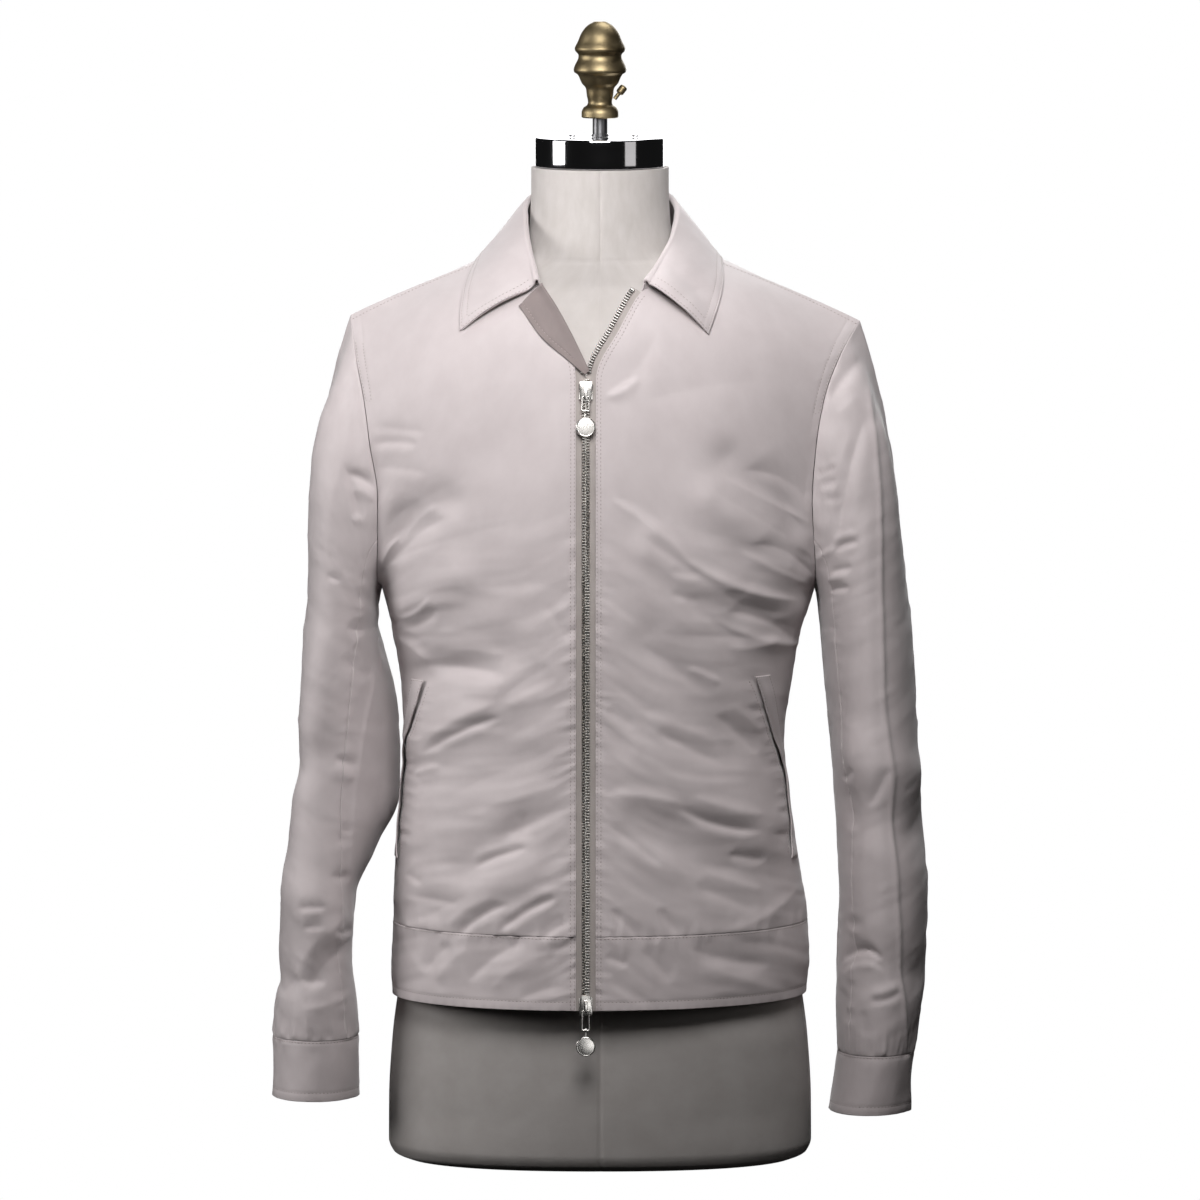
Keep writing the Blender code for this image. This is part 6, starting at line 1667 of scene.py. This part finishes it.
def line_at(cloth, distances, distance, by_column=False):
    """Points and normals of a cloth along the line that keeps a distance, in each row or each column."""
    points, normals = cloth.points, cloth.normals
    if by_column:
        points, normals = (np.swapaxes(values, 0, 1) for values in (points, normals))
        distances = distances.T
    found = []
    for line, facing, gaps in zip(points, normals, distances):
        order = np.argsort(gaps)
        if not gaps[order[0]] <= distance <= gaps[order[-1]]:
            continue
        found.append([np.interp(distance, gaps[order], values[order, k])
                      for values in (line, facing) for k in range(3)])
    found = np.array(found)
    return found[:, :3], found[:, 3:]


def nearest_half(distances, first):
    """Distances from one end of each row, with the far half put out of reach."""
    middle = distances.shape[1] // 2
    kept = distances.copy()
    if first:
        kept[:, middle:] = 1.0 + distances[:, middle:]
    else:
        kept[:, :middle] = 1.0 + distances[:, :middle]
    return kept


def stitches(lines):
    """Points and faces of rows of stitches laid along some lines."""
    draw = np.random.default_rng(SEEDS["stitches"])
    angles = np.linspace(0, 2 * math.pi, STITCH_SIDES + 1)[:-1, None]
    _, one = layered(np.zeros((len(STITCH_RINGS), STITCH_SIDES, 3)))
    all_points, all_faces, start = [], [], 0
    for points, normals in lines:
        length = lengths_along(points[None], 1)[0]
        count = int(length[-1] / STITCH_PITCH)
        if count < 1:
            continue
        places = (np.arange(count) + 0.1) * length[-1] / count
        ends = np.stack([places, places + STITCH_SHARE * length[-1] / count], axis=-1)
        spots = np.stack([np.interp(ends, length, points[:, k]) for k in range(3)], axis=-1)
        facing = unit(np.stack([np.interp(places, length, normals[:, k]) for k in range(3)], axis=-1))
        along = unit(spots[:, 1] - spots[:, 0])
        aside = unit(np.cross(facing, along))
        spots[:, 1] += aside * draw.normal(0, STITCH_TURN, count)[:, None] * STITCH_PITCH
        size = STITCH_THICK * draw.uniform(0.9, 1.12, count)
        rings = []
        for share, breadth, lift in STITCH_RINGS:
            centre = spots[:, 0] * (1 - share) + spots[:, 1] * share + facing * (lift * size)[:, None]
            rings.append(centre[:, None] + breadth * size[:, None, None] * (
                aside[:, None] * np.cos(angles) + facing[:, None] * np.sin(angles) * 0.8))
        block = np.stack(rings, axis=1)
        all_points.append(block.reshape(-1, 3))
        for k in range(count):
            all_faces += [tuple(corner + start for corner in face) for face in one]
            start += block[0, ..., 0].size
    return np.concatenate(all_points), all_faces


def sew(name, lines):
    """Rows of stitches as one piece."""
    points, faces = stitches(lines)
    uvs = np.stack([points[:, 0] + points[:, 1], points[:, 2]], axis=-1)
    return fixed(mesh_piece(name, points, faces, (THREAD,), uvs=uvs, sharp=180), "shell")


# ---------------------------------------------------------------- turned pieces and wires

def turned(name, profile, material, sides):
    """A piece turned about Z; its profile is rounded between its points."""
    profile = np.array(profile)
    run = lengths_along(profile[None], 1)[0]
    curve = Table("run radius z", *[(r, *point) for r, point in zip(run, profile)])
    places = np.unique(np.concatenate([np.linspace(a, b, 6) for a, b in zip(run[:-1], run[1:])]))
    line = curve.at(places)
    angles = np.linspace(0, 2 * math.pi, sides, endpoint=False)
    points, faces = layered(np.stack([line[:, None, 0] * np.cos(angles), line[:, None, 0] * np.sin(angles),
                                      line[:, None, 1] + 0 * angles], axis=-1))
    return mesh_piece(name, points, faces, (material,), sharp=38)


def swept(points, radii, sides, closed=False, guide=(0, 1, 0)):
    """Points and faces of a wire along a line; its second radius lies along the guide."""
    points = np.array(points, dtype=float)
    if closed:
        ahead, behind = np.roll(points, -1, axis=0), np.roll(points, 1, axis=0)
    else:
        ahead, behind = np.vstack([points[1:], points[-1:]]), np.vstack([points[:1], points[:-1]])
    along = unit(ahead - behind)
    first = unit(np.cross(along, np.array(guide, dtype=float)))
    second = np.cross(first, along)
    angles = np.linspace(0, 2 * math.pi, sides, endpoint=False)
    rings = (points[:, None] + radii[0] * first[:, None] * np.cos(angles)[None, :, None]
             + radii[1] * second[:, None] * np.sin(angles)[None, :, None])
    count = len(points)
    faces = []
    for i in range(count if closed else count - 1):
        for k in range(sides):
            a, b = i * sides + k, i * sides + (k + 1) % sides
            c, d = ((i + 1) % count) * sides + (k + 1) % sides, ((i + 1) % count) * sides + k
            faces.append((a, d, c, b))
    if not closed:
        faces += [tuple(range(sides)), tuple(range((count - 1) * sides, count * sides))[::-1]]
    return rings.reshape(-1, 3), faces


def layered(outlines):
    """Points and faces of a solid whose outline changes from level to level."""
    outlines = np.array(outlines)
    levels, sides = outlines.shape[:2]
    faces = [tuple(range(sides))[::-1], tuple(range((levels - 1) * sides, levels * sides))]
    for i in range(levels - 1):
        for k in range(sides):
            a, b = i * sides + k, i * sides + (k + 1) % sides
            faces.append((a, b, b + sides, a + sides))
    return outlines.reshape(-1, 3), faces


def plate(outline, levels):
    """A plate in x and z with rounded edges; each level is a y and how far the outline is drawn in."""
    outline = np.array(outline)
    middle = outline.mean(axis=0)
    lengths = np.linalg.norm(outline - middle, axis=1, keepdims=True)
    rings = []
    for y, inset in levels:
        drawn = middle + (outline - middle) * (1 - inset / lengths)
        rings.append(np.stack([drawn[:, 0], np.full(len(drawn), y), drawn[:, 1]], axis=-1))
    return layered(rings)


def rounded(corners, radius, steps=5):
    """A closed outline with round corners."""
    corners = np.array(corners, dtype=float)
    line = []
    for before, corner, after in zip(np.roll(corners, 1, axis=0), corners, np.roll(corners, -1, axis=0)):
        start = corner + unit(before - corner) * radius
        end = corner + unit(after - corner) * radius
        for t in np.linspace(0, 1, steps):
            line.append(start * (1 - t)**2 + corner * 2 * t * (1 - t) + end * t**2)
    return np.array(line)


def joined(name, parts, material, sharp=40):
    """Some solids as one piece, with every face turned outward."""
    points, faces, start = [], [], 0
    for part_points, part_faces in parts:
        points.append(np.asarray(part_points))
        faces += [tuple(int(k) + start for k in face) for face in part_faces]
        start += len(part_points)
    thing = mesh_piece(name, np.concatenate(points), faces, (material,), sharp=sharp)
    shape = bmesh.new()
    shape.from_mesh(thing.data)
    bmesh.ops.recalc_face_normals(shape, faces=shape.faces)
    shape.to_mesh(thing.data)
    shape.free()
    return thing


def fixed(thing, slot, *nodes, body=BODY):
    """Hang a finished piece on its body and let it stand for its solids."""
    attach(thing, body)
    if nodes:
        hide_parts(*nodes)
    return thing


# ---------------------------------------------------------------- facing and welts

def make_facing(tree):
    """The turned-back part of the right front, from its fold to its sewn edge."""
    lines = []
    for fold, sewn in zip(FACING_FOLD.at(FACING_SHARES), FACING_SEWN.at(FACING_SHARES)):
        reach = max(np.linalg.norm(sewn - fold), FACING_LEAST_REACH)
        places = np.concatenate([FACING_FROM_FOLD, 1 - np.array(FACING_FROM_SEWN) / reach])
        line = []
        for place in np.clip(places, 0, 1):
            x, z = fold + (sewn - fold) * place
            hit = tree.ray_cast(Vector((x, PROBE_Y, z)), Vector((0, 1, 0)))[0]
            spot = hit or tree.find_nearest(Vector((x, NEAR_Y, z)))[0]
            line.append((x, spot.y, z))
        lines.append(line)
    base = np.array(lines)
    for _ in range(14):
        base[..., 1] = evened(base[..., 1])
    across = lengths_along(base, 1)
    along = lengths_along(base, 0)
    from_sewn = across[:, -1:] - across
    height = FACING_LIFT + 0.0008 * smooth((0.012 - across) / 0.012)
    height = height + waves("facing", base[..., 0], base[..., 2], SEEDS["facing"])
    height += stitch_dip(from_sewn, FACING_STITCH)
    ends = np.minimum(along, along[-1:] - along)
    drop = np.maximum.reduce([edge_drop(across, FACING_ROUND), edge_drop(from_sewn, FREE),
                              edge_drop(ends, FREE)])
    cloth = Cloth(base, -1, height, drop, drop, wall=FACING_WALL)
    cloth.sewn = from_sewn
    return cloth


def make_welt(side, tree):
    """A slanted pocket welt: sewn down at its outer edge, gaping a little at its mouth."""
    start, inner = welt_frame(side, WELT_ROWS)
    edge = marks(FREE, (WELT_STITCH,))
    inward = np.concatenate([edge, np.linspace(0.0045, 0.0185, 7), WELT_WIDTH - edge[::-1]])
    base = start[:, None] + inner[:, None] * inward[None, :, None]
    draw = np.random.default_rng(SEEDS["welt"] + SIDES[side])
    along = lengths_along(base, 0)
    gape = 0.5 + 0.5 * uneven_along(draw, along, 0.026, 7.7, 2.2)
    lift = WELT_SEWN + smooth(inward / WELT_WIDTH)[None] * (WELT_MOUTH - WELT_SEWN + WELT_GAPE * gape)
    for i, j in np.ndindex(base.shape[:2]):
        base[i, j] = tree.find_nearest(Vector(base[i, j]))[0]
    for _ in range(6):
        wide = np.pad(base, ((1, 1), (0, 0), (0, 0)), mode="edge")
        base = (wide[1:-1] * 2 + wide[:-2] + wide[2:]) / 4
    ends = np.minimum(along, along[-1:] - along)
    gaps = np.minimum(inward, WELT_WIDTH - inward)[None] + 0 * along
    height = lift + stitch_dip(np.minimum(ends, gaps), WELT_STITCH)
    drop = np.maximum(edge_drop(gaps, FREE), edge_drop(ends, FREE))
    cloth = Cloth(base, SIDES[side], height, drop, drop, wall=WELT_WALL)
    cloth.along, cloth.inward = along, inward[None] + 0 * along
    return cloth


# ---------------------------------------------------------------- zip

def zip_lines(side, rows):
    """A front's edge at some rows, the middle of the zip beside it, and the way into the front."""
    edge = FRONT_EDGE[side].at(rows)
    into = unit(panel_point("front", side, rows, np.full_like(rows, 0.02)) - edge)
    other = FRONT_EDGE["right" if side == "left" else "left"].at(rows)
    closed = (rows <= CHAIN_TOP_ROW)[:, None]
    return edge, np.where(closed, (edge + other) / 2, edge - into * ZIP_OFFSET), into


def make_tape(side, top_row):
    """A zip tape: out to the middle of the zip, and in behind the edge of its front."""
    rows = np.linspace(HEM_ROW, top_row, 2 * int((top_row - HEM_ROW) * 5.5) + 1)
    edge, middle, into = zip_lines(side, rows)
    lines = []
    for gap in TAPE_GAPS:
        if gap < ZIP_OFFSET:
            lines.append(middle + (edge - middle) * gap / ZIP_OFFSET)
        else:
            lines.append(edge + into * (gap - ZIP_OFFSET))
    base = np.stack(lines, axis=1)
    gaps = np.array(TAPE_GAPS)[None] + 0 * rows[:, None]
    height = -TAPE_DEPTH - TAPE_SINK * smooth((gaps - ZIP_OFFSET) / 0.005)
    height += 0.00025 * np.exp(-((gaps - 0.0045) / 0.0009)**2)
    return Cloth(base, SIDES[side], height, np.zeros_like(height), wall=TAPE_WALL)


def tooth_shape():
    """Points of one tooth toward the middle, up and out, and its faces."""
    half = np.array(TOOTH_OUTLINE)
    outline = np.concatenate([half, half[::-1] * (1, -1)])
    rings = []
    for out, share, inset in TOOTH_LEVELS:
        toward = np.clip(outline[:, 0], half[0, 0] + inset, half[-1, 0] - inset)
        rings.append(np.stack([toward, outline[:, 1] * share, np.full(len(outline), out)], axis=-1))
    return layered(rings)


def teeth(side, low_row, high_row, offset, stop=False):
    """Points and faces of one side's teeth between two rows."""
    rows = np.linspace(low_row, high_row, 900)
    length = lengths_along(zip_lines(side, rows)[1][None], 1)[0]
    at = np.interp(np.arange(offset, length[-1], TOOTH_PITCH), length, rows)
    _, middle, into = zip_lines(side, at)
    up = unit(zip_lines(side, at + 0.06)[0] - zip_lines(side, at - 0.06)[0])
    toward = unit(-into + (into * up).sum(axis=1, keepdims=True) * up)
    out = np.cross(up, toward) * SIDES[side]
    shape, faces = tooth_shape()
    sizes = np.ones(len(at))
    if stop:
        sizes[-1] = STOP_SIZE
    points = (middle[:, None] + toward[:, None] * shape[None, :, :1]
              + up[:, None] * shape[None, :, 1:2] * sizes[:, None, None] + out[:, None] * shape[None, :, 2:])
    every = [tuple(k + i * len(shape) for k in face) for i in range(len(at)) for face in faces]
    return points.reshape(-1, 3), every


def solid_chain_frame(row):
    """Middle of the closed zip at a row, straight between whole rows as the solids are, and its axes."""
    above = max(int(np.searchsorted(ZIP_ROWS, row)), 1)
    low, high = ZIP_ROWS[above - 1], ZIP_ROWS[above]

    def ends(place):
        share = (place - low) / (high - low)
        return [FRONT_EDGE[side].at(low) * (1 - share) + FRONT_EDGE[side].at(high) * share for side in SIDES]

    left, right = ends(row)
    across, up = unit(left - right), unit(sum(ends(row + 0.1)) - sum(ends(row - 0.1)))
    out, spot = unit(np.cross(across, up)), (left + right) / 2
    return Matrix([[across[k], -out[k], up[k], spot[k]] for k in range(3)] + [[0, 0, 0, 1]])


def slider_parts(flip):
    """A slider's face, its two flanges and the bridge that its link hangs from."""
    outline = rounded([(x, z * flip) for x, z in SLIDER_OUTLINE], SLIDER_CORNER)
    parts = [plate(outline, SLIDER_LEVELS)]
    low, high = (z * flip for z in FLANGE_SPAN)
    for x in (-FLANGE_X, FLANGE_X):
        corners = box_corners(x - FLANGE_HALF, x + FLANGE_HALF, low, high)
        parts.append(plate(rounded(corners, SMALL_CORNER, 3), FLANGE_LEVELS))
    section = box_corners(-BRIDGE_HALF, BRIDGE_HALF, -BRIDGE_THICK_HALF, BRIDGE_THICK_HALF)
    parts.append(strap([(0, y, z) for y, z in BRIDGE_PATH], rounded(section, SMALL_CORNER, 3)))
    return parts


def box_corners(left, right, low, high):
    return [(left, low), (right, low), (right, high), (left, high)]


def strap(path, section):
    """A flat bar along a line in y and z, with its section given across and outward."""
    path = np.array(path, dtype=float)
    ahead, behind = np.vstack([path[1:], path[-1:]]), np.vstack([path[:1], path[:-1]])
    along = unit(ahead - behind)
    outward = np.cross(along, (1.0, 0.0, 0.0))
    return layered([spot + np.array((1.0, 0, 0)) * section[:, :1] + out * section[:, 1:]
                    for spot, out in zip(path, outward)])


def link_parts(length):
    """A wire link that hangs from its upper bar, which lies on the x axis."""
    corners = [(-LINK_TOP_HALF, 0), (LINK_TOP_HALF, 0), (LINK_FOOT_HALF, -length), (-LINK_FOOT_HALF, -length)]
    line = rounded(corners, LINK_CORNER, 6)
    path = np.stack([line[:, 0], 0 * line[:, 0], line[:, 1]], axis=-1)
    return [swept(path, (BAR_RADIUS, BAR_RADIUS), 14, closed=True)]


def disc_parts():
    """A flat round pull with a rim, a neck, and an eye whose hole lies on the x axis."""
    angles = np.linspace(0, 2 * math.pi, DISC_SIDES, endpoint=False)
    rings = [np.stack([radius * np.cos(angles), np.full(DISC_SIDES, y), radius * np.sin(angles) - DISC_DROP],
                      axis=-1) for radius, y in DISC_PROFILE]
    turn = np.linspace(0, 2 * math.pi, 28, endpoint=False)
    eye = np.stack([0 * turn, EYE_MIDDLE * np.cos(turn), EYE_MIDDLE * np.sin(turn)], axis=-1)
    neck = [(0, 0, -z) for z in NECK_LINE]
    return [layered(rings), swept(eye, (EYE_WIRE, EYE_HALF), 12, closed=True, guide=(1, 0, 0)),
            swept(neck, NECK_RADII, 12)]


def make_zip():
    """Tapes, teeth, sliders and pulls."""
    for side, top_row in (("left", GORGE_ROW), ("right", CHAIN_TOP_ROW + RIGHT_TEETH_ROWS)):
        place_cloth("zip_tape_" + side, make_tape(side, top_row), "tape")
    chain = [teeth("left", CHAIN_FOOT_ROW, CHAIN_TOP_ROW, 0),
             teeth("right", CHAIN_FOOT_ROW, CHAIN_TOP_ROW, TOOTH_PITCH / 2)]
    fixed(joined("zip_chain_teeth", chain, NICKEL), "nickel", "zip_chain")
    first_open = CHAIN_TOP_ROW + OPEN_TEETH_LEAD
    left = teeth("left", first_open, LAST_TOOTH_ROW, OPEN_TEETH_START, True)
    fixed(joined("zip_open_teeth", [left], DULL_SHADED_NICKEL), "nickel", "zip_teeth_left")
    right = teeth("right", first_open, CHAIN_TOP_ROW + RIGHT_TEETH_ROWS, 0)
    fixed(joined("zip_open_teeth_right", [right], DULL_SHADED_NICKEL), "nickel")
    for end, row in SLIDER_ROW.items():
        frame_here = solid_chain_frame(row)
        hinge = frame_here @ Matrix.Translation((0, -BAR_SPOT[0], BAR_SPOT[1]))
        foot = hinge @ Matrix.Translation((0, 0, -LINK_LENGTH[end]))
        slider = slider_parts(1 if end == "top" else -1)
        for kind, parts, place, body_name in (
                ("slider_" + end, slider, frame_here, BODY),
                ("pull_link_" + end, link_parts(LINK_LENGTH[end]), hinge, "link_" + end),
                ("pull_disc_" + end, disc_parts(), foot, "disc_" + end)):
            thing = joined(kind + "_metal", parts, NICKEL)
            thing.matrix_world = place
            fixed(thing, "nickel", kind, body=body_name)


# ---------------------------------------------------------------- rows of stitches on each cloth

def between_heights(line, low, high):
    """The part of a line that lies between two heights."""
    points, normals = line
    wanted = (points[:, 2] >= low) & (points[:, 2] <= high)
    return points[wanted], normals[wanted]


def zip_rows(cloth, high):
    """Both rows beside the zip, up to a height."""
    return [between_heights(line_at(cloth, cloth.inner, distance), 0.0, high) for distance in ZIP_STITCHES]


def armhole_rows(cloth, distances, side):
    """Both rows beside an armhole, from the bar where they start up to the shoulder."""
    return [between_heights(line_at(cloth, distances, distance), ARMHOLE_BAR_Z[side], ARMHOLE_STITCH_TOP_Z)
            for distance in ARMHOLE_STITCHES]


def laid(points, tree):
    """A line set down on a cloth."""
    found = [tree.find_nearest(Vector(point))[:2] for point in points]
    return np.array([spot for spot, _ in found]), np.array([normal for _, normal in found])


def front_lines(cloth, side):
    """Stitch rows of a front: zip, armhole with its bar, shoulder and pocket."""
    lines = zip_rows(cloth, FRONT_EDGE[side].at(ZIP_STITCH_TOP_ROW)[2])
    rows = armhole_rows(cloth, cloth.outer, side)
    bar = tuple(np.array([values[-1] for values in pair]) for pair in zip(*rows))
    lines += [*rows, bar]
    points, normals = line_at(cloth, cloth.high, SHOULDER_STITCH, by_column=True)
    clear_of_collar = np.abs(points[:, 0]) > SHOULDER_STITCH_X
    lines.append((points[clear_of_collar], normals[clear_of_collar]))
    mouth = mouth_line(side, WELT_WIDTH + MOUTH_STITCH)[2:-2]
    lines.append(laid(mouth, tree_of([(cloth, -SIDES[side])])))
    return lines


def back_lines(cloth):
    """Stitch rows of the back: round both armholes."""
    return (armhole_rows(cloth, nearest_half(cloth.outer, True), "right")
            + armhole_rows(cloth, nearest_half(cloth.outer, False), "left"))


def band_lines(cloth):
    """Stitch rows of the hem band: above the hem and below the band seam."""
    return [line_at(cloth, cloth.low, HEM_STITCH, by_column=True),
            line_at(cloth, cloth.high, BAND_STITCH, by_column=True)]


def hem_front_lines(cloth):
    return zip_rows(cloth, 1.0) + band_lines(cloth)


def cuff_lines(cloth):
    """Stitch rows of a cuff: at its seam, at its foot and beside both edges of its slit."""
    return [line_at(cloth, cloth.top, CUFF_STITCH, by_column=True),
            line_at(cloth, cloth.low, HEM_STITCH, by_column=True),
            line_at(cloth, cloth.ends, VENT_STITCH),
            line_at(cloth, cloth.ends[:, -1:] - cloth.ends, VENT_STITCH)]


def collar_lines(cloth):
    """Two rows inside the collar's outer edge and its front edges."""
    last = cloth.ends[:, -1:] - cloth.ends
    lines = []
    for distance in COLLAR_STITCHES:
        points, normals = line_at(cloth, cloth.low, distance, by_column=True)
        over = cloth.ends[-1]
        inside = (over > distance) & (over < over[-1] - distance)
        lines.append((points[inside], normals[inside]))
        for gaps in (cloth.ends, last):
            points, normals = line_at(cloth, gaps, distance)
            down = cloth.down[:, 0] if gaps is cloth.ends else cloth.down[:, -1]
            wanted = (down[:len(points)] > COLLAR_STITCH_START) & (down[:len(points)] < down[-1] - distance)
            lines.append((points[wanted], normals[wanted]))
    return lines


def welt_lines(cloth):
    """Stitch rows round a welt."""
    return [line_at(cloth, cloth.inward, WELT_STITCH),
            line_at(cloth, cloth.inward, WELT_WIDTH - WELT_STITCH),
            line_at(cloth, cloth.along, WELT_STITCH, by_column=True),
            line_at(cloth, cloth.along[-1:] - cloth.along, WELT_STITCH, by_column=True)]


def facing_lines(cloth):
    return [line_at(cloth, cloth.sewn, FACING_STITCH)]


def place_cloth(node_name, cloth, slot, lines=()):
    """A finished cloth piece in place of its solid, with its stitches."""
    fixed(cloth.build(node_name + "_cloth", *CLOTH_SIDES[slot]), slot, node_name)
    sewn = [sew(node_name + "_stitches", lines)] if lines else []


def make_jacket():
    """Every cloth piece of the jacket but the zip's tapes."""
    fronts = {side: make_front(side, BAND_ROW, SHOULDER_ROW) for side in SIDES}
    back = make_back(BAND_ROW, SHOULDER_ROW)
    for side in SIDES:
        place_cloth("front_" + side, fronts[side], "shell",
                    front_lines(fronts[side], side))
        hem = make_front(side, HEM_ROW, BAND_ROW)
        place_cloth("hem_front_" + side, hem, "shell", hem_front_lines(hem))
        for part, first, last in (("top", UNDER_SEAM, BACK_SEAM), ("under", BACK_SEAM, UNDER_SEAM + ROUND)):
            place_cloth("sleeve_%s_%s" % (part, side), make_sleeve(side, first, last), "shell")
        cuff = make_cuff(side)
        place_cloth("cuff_" + side, cuff, "shell", cuff_lines(cuff))
        welt = make_welt(side, tree_of([(fronts[side], -SIDES[side])]))
        place_cloth("pocket_welt_" + side, welt, "shell", welt_lines(welt))
    place_cloth("back", back, "shell", back_lines(back))
    hem = make_back(HEM_ROW, BAND_ROW)
    place_cloth("hem_back", hem, "shell", band_lines(hem))
    places = collar_places()
    stand, foot, roll = make_stand(places)
    place_cloth("collar_stand", stand, "shell")
    under_collar = tree_of([(fronts["left"], -1), (fronts["right"], 1), (back, 1)])
    fall = make_fall(places, foot, roll, stand, under_collar)
    place_cloth("collar_fall", fall, "shell", collar_lines(fall))
    facing = make_facing(tree_of([(fronts["right"], 1)]))
    place_cloth("facing_right", facing, "reverse", facing_lines(facing))


# ---------------------------------------------------------------- the form

def make_form():
    """The canvas body with its sewn seams, and the turned pieces on its neck."""
    z = np.unique(np.concatenate([np.linspace(*levels) for levels in FORM_LEVELS]))
    values = FORM.at(z)
    half_width, front, back, power = (values[:, k, None] for k in range(4))
    angles = np.concatenate([np.linspace(0, 2 * math.pi, FORM_SIDES, endpoint=False)]
                            + [centre + np.linspace(-0.012, 0.012, 9) for centre in FORM_SEAMS])
    angles = np.unique(np.round(angles % (2 * math.pi), 6))
    wide, deep = np.cos(angles)[None], np.sin(angles)[None]
    x = half_width * np.sign(wide) * np.abs(wide) ** (2 / power)
    y = np.where(deep > 0, back, front) * np.sign(deep) * np.abs(deep) ** (2 / power)
    points = np.stack([x, y, z[:, None] + 0 * x], axis=-1)
    radius = np.linalg.norm(points[..., :2], axis=-1)
    groove = np.zeros_like(radius)
    for centre in FORM_SEAMS:
        away = np.abs((angles - centre + math.pi) % (2 * math.pi) - math.pi)[None] * radius
        groove += UPRIGHT_GROOVE[0] * np.exp(-(away / UPRIGHT_GROOVE[1])**2)
    for ring, depth, broad in NECK_SEAMS:
        groove += depth * np.exp(-((points[..., 2] - ring) / broad)**2)
    points[..., :2] *= (1 - groove / radius)[..., None]
    rows, columns = radius.shape
    numbers = np.arange(rows * columns).reshape(rows, columns)
    after = np.roll(numbers, -1, axis=1)
    faces = np.stack([numbers[:-1], after[:-1], after[1:], numbers[1:]], axis=-1).reshape(-1, 4).tolist()
    faces += [tuple(numbers[0, ::-1]), tuple(numbers[-1])]
    girth = lengths_along(points[GIRTH_LEVEL][None], 1)[0]
    uvs = np.stack([girth[None] + 0 * x, z[:, None] + 0 * x], axis=-1).reshape(-1, 2)
    form = mesh_piece("form_canvas", points.reshape(-1, 3), faces, (CANVAS,), uvs=uvs, sharp=50)
    fixed(form, "canvas", "form_body")
    fixed(turned("neck_cap_turned", CAP_PROFILE, CHROME, 128), "chrome", "neck_cap")
    fixed(turned("rod_turned", ROD_PROFILE, STEEL, 64), "steel", "rod")
    fixed(turned("finial_turned", FINIAL_PROFILE, BRASS, 112), "brass", "finial")
    for side, x in CAP_SCREW_X.items():
        screw = turned("cap_screw_%s_turned" % side, SCREW_PROFILE, CHROME, 32)
        screw.location = (x, 0, CAP_SCREW_Z)
        fixed(screw, "chrome", "cap_screw_" + side)
    thumb = turned("thumb_screw_turned", THUMB_PROFILE, BRASS, 48)
    thumb.location = THUMB_FOOT
    thumb.rotation_euler = (0, math.radians(THUMB_LEAN), 0)
    fixed(thumb, "brass", "thumb_screw")


# ---------------------------------------------------------------- floor, light and camera

def make_stage():
    """A white surround and floor, the lamps and the camera."""
    scene = bpy.context.scene
    world = scene.world or bpy.data.worlds.new("world")
    scene.world = world
    world.use_nodes = True
    tree = world.node_tree
    glow = tree.nodes["Background"]
    glow.inputs["Color"].default_value = (1, 1, 1, 1)
    glow.inputs["Strength"].default_value = WORLD_GLOW
    seen = node(tree, "ShaderNodeBackground", Strength=1.0)
    seen.inputs["Color"].default_value = (1, 1, 1, 1)
    paths, mix = node(tree, "ShaderNodeLightPath"), node(tree, "ShaderNodeMixShader")
    tree.links.new(paths.outputs["Is Camera Ray"], mix.inputs[0])
    tree.links.new(glow.outputs[0], mix.inputs[1])
    tree.links.new(seen.outputs[0], mix.inputs[2])
    tree.links.new(mix.outputs[0], tree.nodes["World Output"].inputs["Surface"])
    white = blank("floor_white", (0, 0, 0), 1.0, Emission_Color=(1, 1, 1, 1), Emission_Strength=1.0,
                  Specular_IOR_Level=0.0)[0]
    corners = box_corners(-FLOOR_HALF, FLOOR_HALF, -FLOOR_HALF, FLOOR_HALF)
    floor = mesh_piece("floor", [(x, y, 0) for x, y in corners], [(0, 1, 2, 3)], (white,))
    floor.visible_diffuse = False
    floor.visible_glossy = False
    zip_metal = bpy.data.collections.new("zip_metal")
    for thing in bpy.data.objects:
        if thing.name.startswith(("slider_", "pull_", "zip_chain")):
            zip_metal.objects.link(thing)
    for name, spot, power, (width, height), colour in LIGHTS + ZIP_LIGHTS:
        light = bpy.data.lights.new(name, "AREA")
        light.shape = "RECTANGLE"
        light.energy, light.size, light.size_y, light.color = power, width, height, colour
        lamp = bpy.data.objects.new(name, light)
        lamp.location = spot
        lamp.rotation_euler = (Vector(LIGHT_AIM) - Vector(spot)).to_track_quat("-Z", "Y").to_euler()
        lamp.visible_camera = False
        if name.startswith("zip_"):
            lamp.light_linking.receiver_collection = zip_metal
        scene.collection.objects.link(lamp)
    camera = bpy.data.cameras.new("camera")
    camera.lens, camera.sensor_width, camera.clip_end = CAMERA_LENS, CAMERA_SENSOR, CAMERA_REACH
    eye = bpy.data.objects.new("camera", camera)
    eye.location = CAMERA_SPOT
    eye.rotation_euler = (Vector(CAMERA_AIM) - eye.location).to_track_quat("-Z", "Y").to_euler()
    scene.collection.objects.link(eye)
    scene.camera = eye
    scene.view_settings.view_transform = "Standard"


make_jacket()
make_zip()
make_form()
make_stage()
